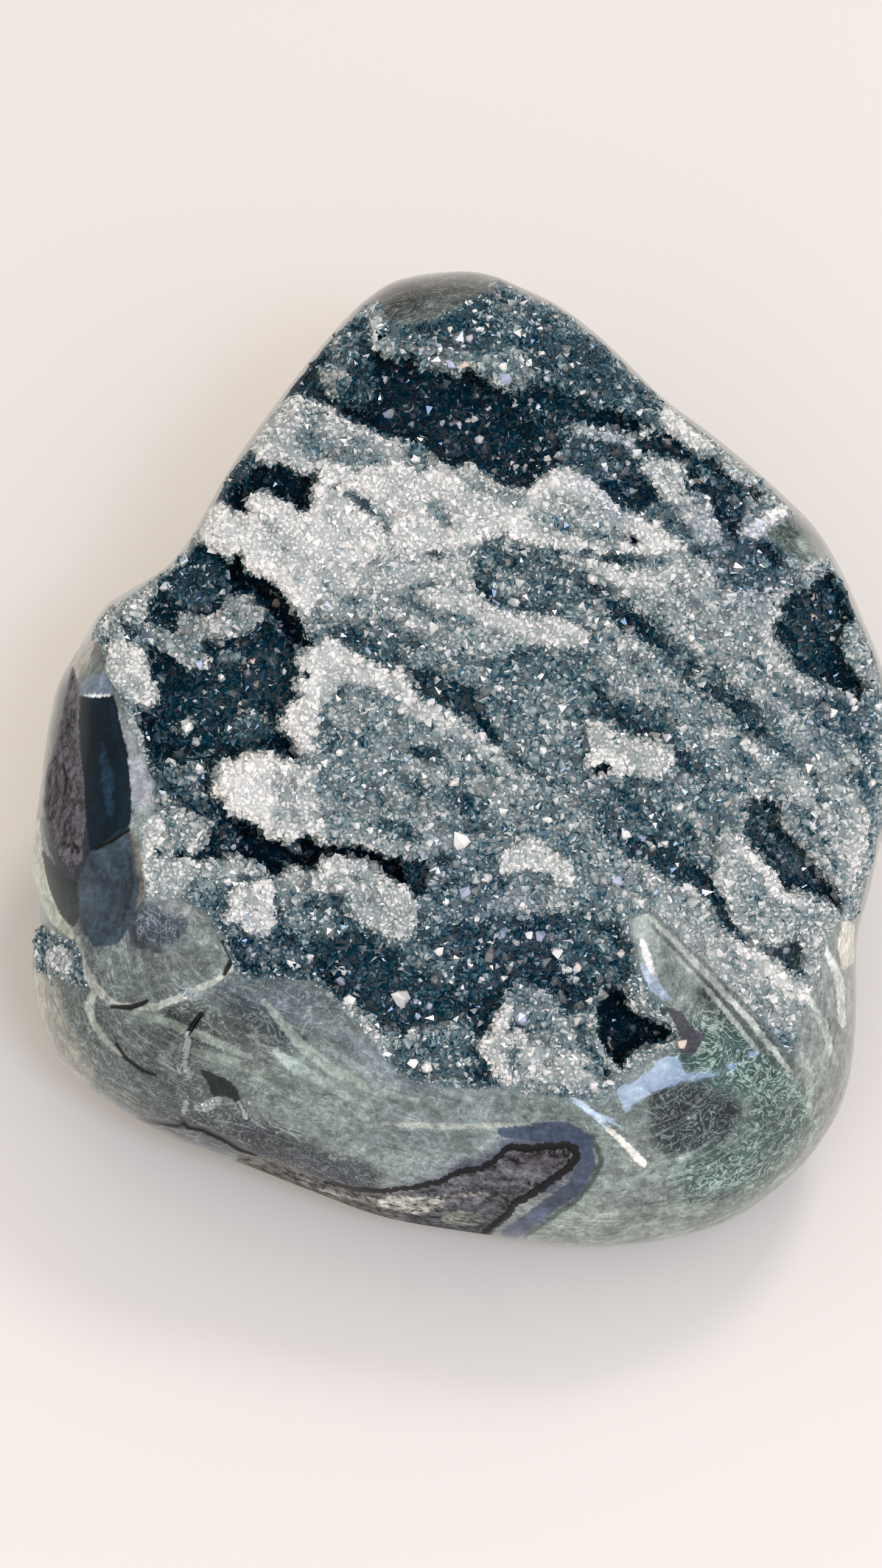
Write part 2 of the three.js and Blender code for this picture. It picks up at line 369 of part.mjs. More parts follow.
// Height of the polished front at a point, never nearer the rim than inset.
function front(a, b, inset = 0) {
  const angle = Math.atan2(b - HUB.b, a - HUB.a);
  const { width, drop } = shoulder(angle);
  const depth = Math.max(inset, rimRadius(angle) - Math.hypot(a - HUB.a, b - HUB.b));
  const t = THREE.MathUtils.clamp(1 - depth / width, 0, 1);
  return plateau(a, b) - drop * (1 - Math.sqrt(1 - t * t));
}

// One column of the stone's skin from the middle of the face over the rim to the middle of the back.
function column(angle) {
  const radius = rimRadius(angle);
  const { width, drop } = shoulder(angle);
  const point = (r, w) => [HUB.a + r * Math.cos(angle), HUB.b + r * Math.sin(angle), w];
  const points = [];
  for (let i = 1; i < FACE_RINGS; i++) {
    const [a, b] = point(((radius - width) * i) / FACE_RINGS, 0);
    points.push([a, b, plateau(a, b)]);
  }
  for (let i = SHOULDER_RINGS; i >= 0; i--) {
    const tau = (Math.PI / 2) * (i / SHOULDER_RINGS);
    const [a, b] = point(radius - width * (1 - Math.cos(tau)), 0);
    points.push([a, b, plateau(a, b) - drop * (1 - Math.sin(tau))]);
  }
  const rimDepth = points.at(-1)[2];
  for (let i = 1; i < BACK_RINGS; i++) {
    const tau = (Math.PI / 2) * (i / BACK_RINGS);
    const share = Math.cos(tau);
    const [a, b] = point(radius * share, 0);
    const middle = THREE.MathUtils.lerp(backCentre(b), rimDepth, share * share);
    points.push([a, b, middle - BACK_BULGE * Math.sin(tau) ** BACK_ROUND]);
  }
  return points;
}

// Form of the druse

const DRUSE_EDGE = BORDER.map(drawnIn);

// Distance to a form's outline, or to its middle line less the half width; below zero inside it.
function formGap(a, b, points) {
  if (points[0].length === 2) return outlineDistance(a, b, points);
  const gaps = points.slice(1).map((point, i) => {
    const { radius, distance } = segmentDistance(a, b, points[i], point);
    return distance - radius;
  });
  return Math.min(...gaps);
}

function relief(a, b) {
  const across = a * Math.cos(RIPPLE.direction) + b * Math.sin(RIPPLE.direction);
  const ripple = (RIPPLE.height / 2) * Math.sin((2 * Math.PI * across) / RIPPLE.length);
  let level = ripple;
  for (const [formLevel, wall, points] of Object.values(FORMS)) {
    const cover = smooth(0.5 - formGap(a, b, points) / Math.max(wall, WALL_LEAST));
    level = THREE.MathUtils.lerp(level, formLevel + 0.3 * ripple, cover);
  }
  return DRUSE_LEVEL + level;
}

function druseTop(a, b) {
  return front(a, b, EDGE_INSET) + relief(a, b);
}

// The lowest druse around a point, less the crust's thickness.
function bedHeight(a, b) {
  let least = druseTop(a, b);
  for (const reach of [BED_REACH / 3, (2 * BED_REACH) / 3, BED_REACH]) {
    for (let i = 0; i < 12; i++) {
      const turn = (i * Math.PI) / 6;
      const near = [a + reach * Math.cos(turn), b + reach * Math.sin(turn)];
      if (inside(...near, DRUSE_EDGE)) least = Math.min(least, druseTop(...near));
    }
  }
  return least - CRUST_THICKNESS;
}

// Solids

function solidOf(positions, triangles) {
  const geometry = new THREE.BufferGeometry();
  geometry.setAttribute('position', new THREE.Float32BufferAttribute(positions.flat(), 3));
  geometry.setIndex(triangles.flat());
  return solidFrom(geometry);
}

function solidFrom(geometry) {
  const bare = geometry.clone();
  bare.deleteAttribute('normal');
  bare.deleteAttribute('uv');
  const merged = mergeVertices(bare, 1e-5);
  return new wasm.Manifold(new wasm.Mesh({
    numProp: 3,
    vertProperties: new Float32Array(merged.attributes.position.array),
    triVerts: new Uint32Array(merged.index.array),
  }));
}

// Closes a sheet of height points down to a flat floor far behind it.
function standOn(positions, triangles, floor) {
  const count = positions.length;
  const under = positions.map(([a, b]) => [a, b, floor]);
  const edges = new Map();
  for (const [p, q, r] of triangles) {
    for (const [from, to] of [[p, q], [q, r], [r, p]]) {
      const back = `${to}_${from}`;
      if (edges.has(back)) edges.delete(back);
      else edges.set(`${from}_${to}`, [from, to]);
    }
  }
  const walls = [...edges.values()].flatMap(([from, to]) => [
    [from, from + count, to + count], [from, to + count, to]]);
  const below = triangles.map(([p, q, r]) => [p + count, r + count, q + count]);
  return solidOf([...positions, ...under], [...triangles, ...below, ...walls]);
}

function stoneSolid() {
  const columns = [];
  for (let i = 0; i < COLUMNS; i++) {
    columns.push(column(-Math.PI + (2 * Math.PI * (i + 0.5)) / COLUMNS));
  }
  const rings = columns[0].length;
  const positions = [
    ...columns.flat(),
    [HUB.a, HUB.b, plateau(HUB.a, HUB.b)],
    [HUB.a, HUB.b, backCentre(HUB.b) - BACK_BULGE],
  ];
  const top = COLUMNS * rings;
  const triangles = [];
  for (let i = 0; i < COLUMNS; i++) {
    const here = i * rings;
    const next = ((i + 1) % COLUMNS) * rings;
    triangles.push([top, here, next], [top + 1, next + rings - 1, here + rings - 1]);
    for (let j = 0; j < rings - 1; j++) {
      triangles.push([here + j, here + j + 1, next + j + 1], [here + j, next + j + 1, next + j]);
    }
  }
  return solidOf(positions, triangles);
}

// A straight block with the given outline, through the whole stone.
function blockOf(outline) {
  const shape = new THREE.Shape(outline.map(([a, b]) => new THREE.Vector2(a, b)));
  const block = new THREE.ExtrudeGeometry(shape, { depth: 240, bevelEnabled: false });
  return solidFrom(block.translate(0, 0, -120));
}

function grown(outline, distance) {
  return outline.map(([a, b], i) => {
    const [pa, pb] = outline[(i + outline.length - 1) % outline.length];
    const [na, nb] = outline[(i + 1) % outline.length];
    const before = new THREE.Vector2(a - pa, b - pb).normalize();
    const after = new THREE.Vector2(na - a, nb - b).normalize();
    const along = before.clone().add(after).normalize();
    const reach = distance / Math.max(0.5, along.dot(after));
    return [a - along.y * reach, b + along.x * reach];
  });
}

// A crystal with six flat faces on each cell of a honeycomb, over the relief of the druse.
function crystalSolid() {
  const rowStep = (CRYSTAL_PITCH * Math.sqrt(3)) / 2;
  const corner = CRYSTAL_PITCH / Math.sqrt(3);
  const positions = [];
  const triangles = [];
  const known = new Map();
  const lowest = -52;
  const vertex = (a, b, rise) => {
    const key = `${Math.round(a * 100)}_${Math.round(b * 100)}`;
    if (!known.has(key)) {
      const seed = [Math.round(a * 10), Math.round(b * 10)];
      const shifted = [
        a + CRYSTAL_JITTER * (scatter(seed[0], seed[1]) * 2 - 1),
        b + CRYSTAL_JITTER * (scatter(seed[1] + 7, seed[0]) * 2 - 1),
      ];
      known.set(key, positions.length);
      positions.push([...shifted, druseTop(...shifted) + rise]);
    }
    return known.get(key);
  };
  for (let row = 0; row * rowStep + lowest < 68; row++) {
    for (let cell = 0; cell * CRYSTAL_PITCH - 48 < 62; cell++) {
      const a = -48 + (cell + (row % 2) / 2) * CRYSTAL_PITCH;
      const b = lowest + row * rowStep;
      if (outlineDistance(a, b, DRUSE_EDGE) > 1.3 * CRYSTAL_PITCH) continue;
      const rise = THREE.MathUtils.lerp(CRYSTAL_RISE.least, CRYSTAL_RISE.most, scatter(row, cell));
      const tip = vertex(a, b, rise);
      const ring = [0, 1, 2, 3, 4, 5].map((i) => {
        const turn = Math.PI / 6 + (i * Math.PI) / 3;
        return vertex(a + corner * Math.cos(turn), b + corner * Math.sin(turn), 0);
      });
      ring.forEach((foot, i) => triangles.push([tip, foot, ring[(i + 1) % 6]]));
    }
  }
  return standOn(positions, triangles, -110);
}

// Everything below the bed that the crust lies on.
function bedSolid(lift) {
  const positions = [];
  const triangles = [];
  const across = 25;
  const up = 26;
  for (let j = 0; j <= up; j++) {
    for (let i = 0; i <= across; i++) {
      const a = -54 + i * BED_PITCH;
      const b = -56 + j * BED_PITCH;
      positions.push([a, b, bedHeight(a, b) + lift]);
    }
  }
  for (let j = 0; j < up; j++) {
    for (let i = 0; i < across; i++) {
      const p = j * (across + 1) + i;
      const q = p + across + 1;
      triangles.push([p, p + 1, q + 1], [p, q + 1, q]);
    }
  }
  return standOn(positions, triangles, -140);
}

// Sets a solid from the sight frame into the world, as the eye sees it from EYE_DISTANCE.
function intoWorld(solid) {
  const { vertProperties, triVerts, numProp } = solid.getMesh();
  const rise = Math.sin(EYE_ELEVATION);
  const lean = Math.cos(EYE_ELEVATION);
  const positions = [];
  for (let i = 0; i < vertProperties.length; i += numProp) {
    const [a, b, w] = vertProperties.slice(i, i + 3);
    const spread = 1 - w / EYE_DISTANCE;
    positions.push([
      a * spread - SHIFT.x,
      b * spread * rise - w * lean - SHIFT.y,
      b * spread * lean + w * rise + REST_DEPTH,
    ]);
  }
  return solidOf(positions, [...triVerts]);
}

function groundSolid() {
  return solidFrom(new THREE.BoxGeometry(300, 300, 100).translate(0, 0, -50));
}

function meshOf(name, solid, material) {
  const { vertProperties, triVerts } = solid.getMesh();
  const geometry = new THREE.BufferGeometry();
  geometry.setAttribute('position', new THREE.Float32BufferAttribute(vertProperties, 3));
  geometry.setIndex(new THREE.Uint32BufferAttribute(triVerts, 1));
  geometry.computeVertexNormals();
  const mesh = new THREE.Mesh(geometry, material);
  mesh.name = name;
  return mesh;
}

const polishedAgate = new THREE.MeshStandardMaterial({
  color: '#6f7873', roughness: 0.15, metalness: 0, flatShading: true,
});
const druzyQuartz = new THREE.MeshStandardMaterial({
  color: '#8e9a9b', roughness: 0.3, metalness: 0, flatShading: true,
});

const border = blockOf(DRUSE_EDGE);
const pocket = blockOf(grown(DRUSE_EDGE, CRUST_GAP)).subtract(bedSolid(-CRUST_GAP));
const stone = intoWorld(stoneSolid().subtract(pocket)).subtract(groundSolid());
const crust = intoWorld(crystalSolid().intersect(border).subtract(bedSolid(0)));

const group = new THREE.Group();
group.add(meshOf('agate', stone, polishedAgate));
group.add(meshOf('druzy_crust', crust, druzyQuartz));

export default group;
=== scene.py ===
# Druzy agate: a tumbled, polished free-form stone with a wide open druse of quartz crystals.
# Sizes are in millimetres in the sight frame (a right, b up, w towards the eye) until world() sets them
# in the part's own frame, in metres.
import math
import bmesh
import bpy
import numpy as np
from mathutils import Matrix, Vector

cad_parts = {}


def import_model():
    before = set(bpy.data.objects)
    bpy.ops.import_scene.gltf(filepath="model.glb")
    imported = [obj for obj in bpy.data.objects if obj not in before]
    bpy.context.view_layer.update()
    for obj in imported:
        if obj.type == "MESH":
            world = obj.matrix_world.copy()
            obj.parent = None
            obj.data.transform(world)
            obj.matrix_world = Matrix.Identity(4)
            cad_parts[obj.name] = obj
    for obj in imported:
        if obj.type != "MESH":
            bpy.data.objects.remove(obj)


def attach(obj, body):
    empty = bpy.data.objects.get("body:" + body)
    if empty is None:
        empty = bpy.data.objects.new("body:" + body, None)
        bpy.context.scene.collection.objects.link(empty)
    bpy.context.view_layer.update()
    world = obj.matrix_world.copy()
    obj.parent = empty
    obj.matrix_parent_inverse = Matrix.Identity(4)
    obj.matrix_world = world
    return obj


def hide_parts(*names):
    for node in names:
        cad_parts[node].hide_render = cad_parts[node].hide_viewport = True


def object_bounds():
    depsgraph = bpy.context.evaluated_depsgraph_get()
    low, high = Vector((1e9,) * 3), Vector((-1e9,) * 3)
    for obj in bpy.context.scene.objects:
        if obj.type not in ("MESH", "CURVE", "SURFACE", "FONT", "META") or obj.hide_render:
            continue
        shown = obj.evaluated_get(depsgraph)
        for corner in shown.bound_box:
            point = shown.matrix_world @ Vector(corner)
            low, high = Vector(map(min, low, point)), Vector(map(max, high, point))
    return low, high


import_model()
cad_low, cad_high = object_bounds()
MM = 0.001

# The eye, and how the stone lies under it
EYE_ELEVATION = math.radians(55)
RISE, LEAN = math.sin(EYE_ELEVATION), math.cos(EYE_ELEVATION)
EYE_DISTANCE = 600.0
EYE_LENS = 106.5
EYE_SENSOR = 36.0
HUB_A, HUB_B = 2.0, 0.0
REST_DEPTH = 54.0
SHIFT_X, SHIFT_Y = 3.0, 19.9

# Softboxes: place, width and height in metres, power in watts and colour.
LAMPS = {
    "key": ((0.35, 0.45, 1.0), (0.24, 0.24), 2.5, "#fff6ec"),
    "ceiling": ((0.0, -0.3, 1.4), (2.4, 2.0), 3.0, "#fffaf4"),
    "front": ((0.1, -1.2, 0.85), (2.6, 1.8), 14.0, "#fff8f2"),
    "window": ((0.23, -0.565, 0.86), (0.16, 0.16), 2.2, "#b4cdff"),
}
LAMPS_AIM = (0.0, 0.0, 0.04)
ROOM_COLOUR, ROOM_LIGHT = "#f5f2ef", 0.62
FLOOR_COLOUR, FLOOR_HALF_WIDTH = "#efe8e1", 4.0

# The stone's face, and the shell behind its rim
FACE_TILT = 0.3
FACE_DOME = 0.0012
BACK_BULGE = 44.0
BACK_CENTRE = -22.0
BACK_LEAN = 0.42
BACK_ROUND = 1.4

# The bed of the druse: depth under the face, run down from the skin, ripples, and tone from 0, dark, to 1
DRUSE_LEVEL = -1.2
EDGE_INSET = 1.3
EDGE_SLOPE = 1.4
RIM_WIDTH = 0.5
RIPPLE_HEIGHT = 0.7
RIPPLE_LENGTH = 9.5
RIPPLE_DIRECTION = math.radians(55)
BASE_TONE = 0.45
TONE_SOFTNESS = 0.1
STEEP_SLOPE = 2.2

# The crystals: spacing, usual radii, shares of the larger points and of faces that carry a painted glint,
# and the space that they fill, in columns and then in pieces
CRYSTAL_PITCH = 0.66
SMALL_RADIUS, BRIGHT_RADIUS, CLEAR_RADIUS = 0.44, 0.38, 0.55
BRIGHT_SHARE, CLEAR_SHARE = 0.02, 0.023
PAINTED_GLINT_SHARE = 0.05
DRUSE_LEFT, DRUSE_RIGHT, DRUSE_FOOT, DRUSE_HEAD = -54, 60, -54, 66
DRUSE_COLUMN = 25
DRUSE_PIECES = 4

# How far the crystals lean, how much of a radius is sunk, the share turned to flash, and whether they
# stand on a prism
SMALL_HABIT = {"lean": 0.42, "sink": 0.25, "flash": 0.03, "prism": False}
BRIGHT_HABIT = {"lean": 0.4, "sink": 0.3, "flash": 0.3, "prism": True}
CLEAR_HABIT = {"lean": 0.4, "sink": 0.5, "flash": 0.45, "prism": True}

# The skin: its own colour, the softness under which a mark is drawn crisp, and the inclusion's halo
SKIN_GROUND = "#697370"
CRISP = 1.0
HALO_WIDTH = 2.4
HALO_RIGHT, HALO_FOOT = 18, -53


def area(*numbers):
    """A closed outline, from the a and b of each of its points."""
    return list(zip(numbers[::2], numbers[1::2]))


def line(*numbers):
    """A line of some width, from the a, b and half width of each of its points."""
    return list(zip(numbers[::3], numbers[1::3], numbers[2::3]))


# Outline of the stone, clockwise from its top.
OUTLINE = area(
    1.8, 66.3, 6.5, 65.8, 10.4, 64.2, 15, 62, 19.8, 58.5, 24.6, 54, 28.6, 50, 34, 46, 39, 42, 44, 37.6,
    48.5, 33, 52, 27.2, 54.8, 20.8, 57.2, 14.5, 58.8, 6, 58.5, -2, 56.6, -8.5, 55.4, -14, 53.8, -20,
    53.7, -28, 53.4, -34, 52.2, -40.5, 49, -46.5, 44.5, -51.3, 38.5, -55.8, 31.5, -58.4, 22, -59.8,
    13.8, -59.4, 5.2, -58.2, -7, -56.1, -16.3, -52.8, -26.2, -48.9, -35.5, -45.4, -43, -41, -48.8, -36.2,
    -52, -29.5, -52.9, -22.5, -51.7, -16.8, -53, -10, -52, -2, -51.2, 4.5, -49.8, 12, -47.2, 17, -45.2, 20.4,
    -43.2, 23.2, -40.6, 24.9, -38, 26.4, -35.2, 28.3, -33, 31, -31, 34.2, -27.8, 40, -24.2, 45.3, -20, 51,
    -15.2, 57, -10.5, 62, -5.5, 65.2)

# Edge of the druse, where the polished skin ends.
BORDER = area(
    -10.4, 60.4, -8.6, 61.4, -6.6, 60.2, -5.4, 59.3, -3, 59.6, -1, 60, 0.6, 61.2, 2.6, 62.3, 4.6, 63,
    7, 63.5, 9.2, 63, 11.2, 62.2, 13.4, 61.2, 15.6, 59.8, 17.6, 58.4, 19.6, 56.8, 22, 54.6, 24, 52.6,
    26, 50.8, 28, 49, 30.4, 47.2, 33.4, 45, 36, 43, 38.6, 40.8, 41.2, 38.6, 43.6, 36.6, 44.6, 35.2,
    43.4, 33.6, 42, 32.2, 43.6, 30.5, 46, 29, 48.5, 28.4, 50.2, 27.6, 52, 25, 53.4, 22, 54.6, 18.6,
    55.8, 14.6, 56.8, 10, 57.4, 5, 57.2, -1, 56, -5.6, 54.8, -10, 53.8, -14, 52.6, -16.6, 50.6, -19,
    49.6, -22, 48.4, -26, 47.2, -29.4, 46.4, -31.6, 46, -33.5, 45.6, -35, 44.4, -34.4, 42.6, -32.2,
    40.6, -29.8, 38, -27, 35, -24, 32, -21, 29.6, -18.8, 27.6, -17, 26, -16.6, 24.3, -17.6, 24.4, -19.5,
    25.2, -22, 25.6, -24.5, 27, -26.8, 29, -28.8, 30.2, -31, 30.8, -33.2, 30.2, -34.6, 28.6, -34.8,
    27, -35.8, 25.6, -37, 24.2, -38.2, 22.6, -40, 20.4, -41.4, 17.5, -40.6, 15, -40.4, 12, -40.2, 9, -39.6,
    5, -39.4, 0, -39.2, -3, -38.6, -5.5, -37.6, -7.2, -36, -8.6, -33.4, -10.4, -31.2, -12.4, -29.5,
    -14, -27.8, -15.2, -26.4, -18, -25.4, -22, -25.1, -25.6, -25.2, -27, -23.2, -28.2, -20, -30.2, -17.2,
    -33.4, -14.9, -38, -15.2, -38.6, -12, -38.4, -8, -38.6, -5.4, -37, -4, -37.4, 0, -39, 4, -40.2, 8,
    -41.6, 11.4, -43.4, 14.4, -43.8, 17.4, -43.8, 20, -42.4, 22, -40.4, 23.6, -38.4, 24.6, -36.4, 26,
    -34.6, 27.2, -32.6, 29.6, -30.8, 32, -29.6, 34.4, -28.2, 36.8, -26.4, 39.6, -24.6, 42.4, -22.6, 45.4,
    -20.4, 48.4, -18.2, 51.2, -16, 54, -13.8, 56.8, -12, 58.8)

# A small open vug at the left side, with crystals of its own.
VUG = area(
    -52.4, -18.8, -51.4, -18, -50, -19.4, -47.4, -20.3, -46.3, -22.4, -46.4, -24.8, -44.9, -27, -46.2, -26.8,
    -48, -25.6, -49.6, -24.6, -51.6, -24.6, -52.4, -24.8, -52.7, -22)

# Seams and spots of tiny crystals in the polished skin: points with half widths.
SPOTS = [
    line(-33.1, -26.9, 0.6, -31.8, -27.6, 0.8, -31, -27.2, 0.4),
    line(-33, -32, 0.25, -32.8, -33.8, 0.45, -33.2, -36.4, 0.35, -32.6, -37.8, 0.3),
    line(-32.7, -40, 0.15, -33.2, -42.4, 0.3),
    line(-31.6, -41.8, 0.4, -30.2, -41.8, 0.7, -29, -41, 0.6),
    line(-26, -41.2, 0.3, -25.2, -43.2, 0.35),
    line(-50.8, -24.6, 0.3, -50.2, -26, 0.2),
]

# Round of the stone's shoulder by direction: degrees, width seen from the front, drop to the rim.
SHOULDER = [
    (0, 3, 18), (45, 2.6, 18), (70, 4, 17), (90, 7, 16), (108, 4.5, 17), (130, 2.6, 18), (150, 3, 18),
    (163, 7, 20), (180, 12, 22), (225, 24, 26), (270, 28, 26), (300, 24, 25), (322, 13, 24), (342, 5, 20),
    (360, 3, 18),
]
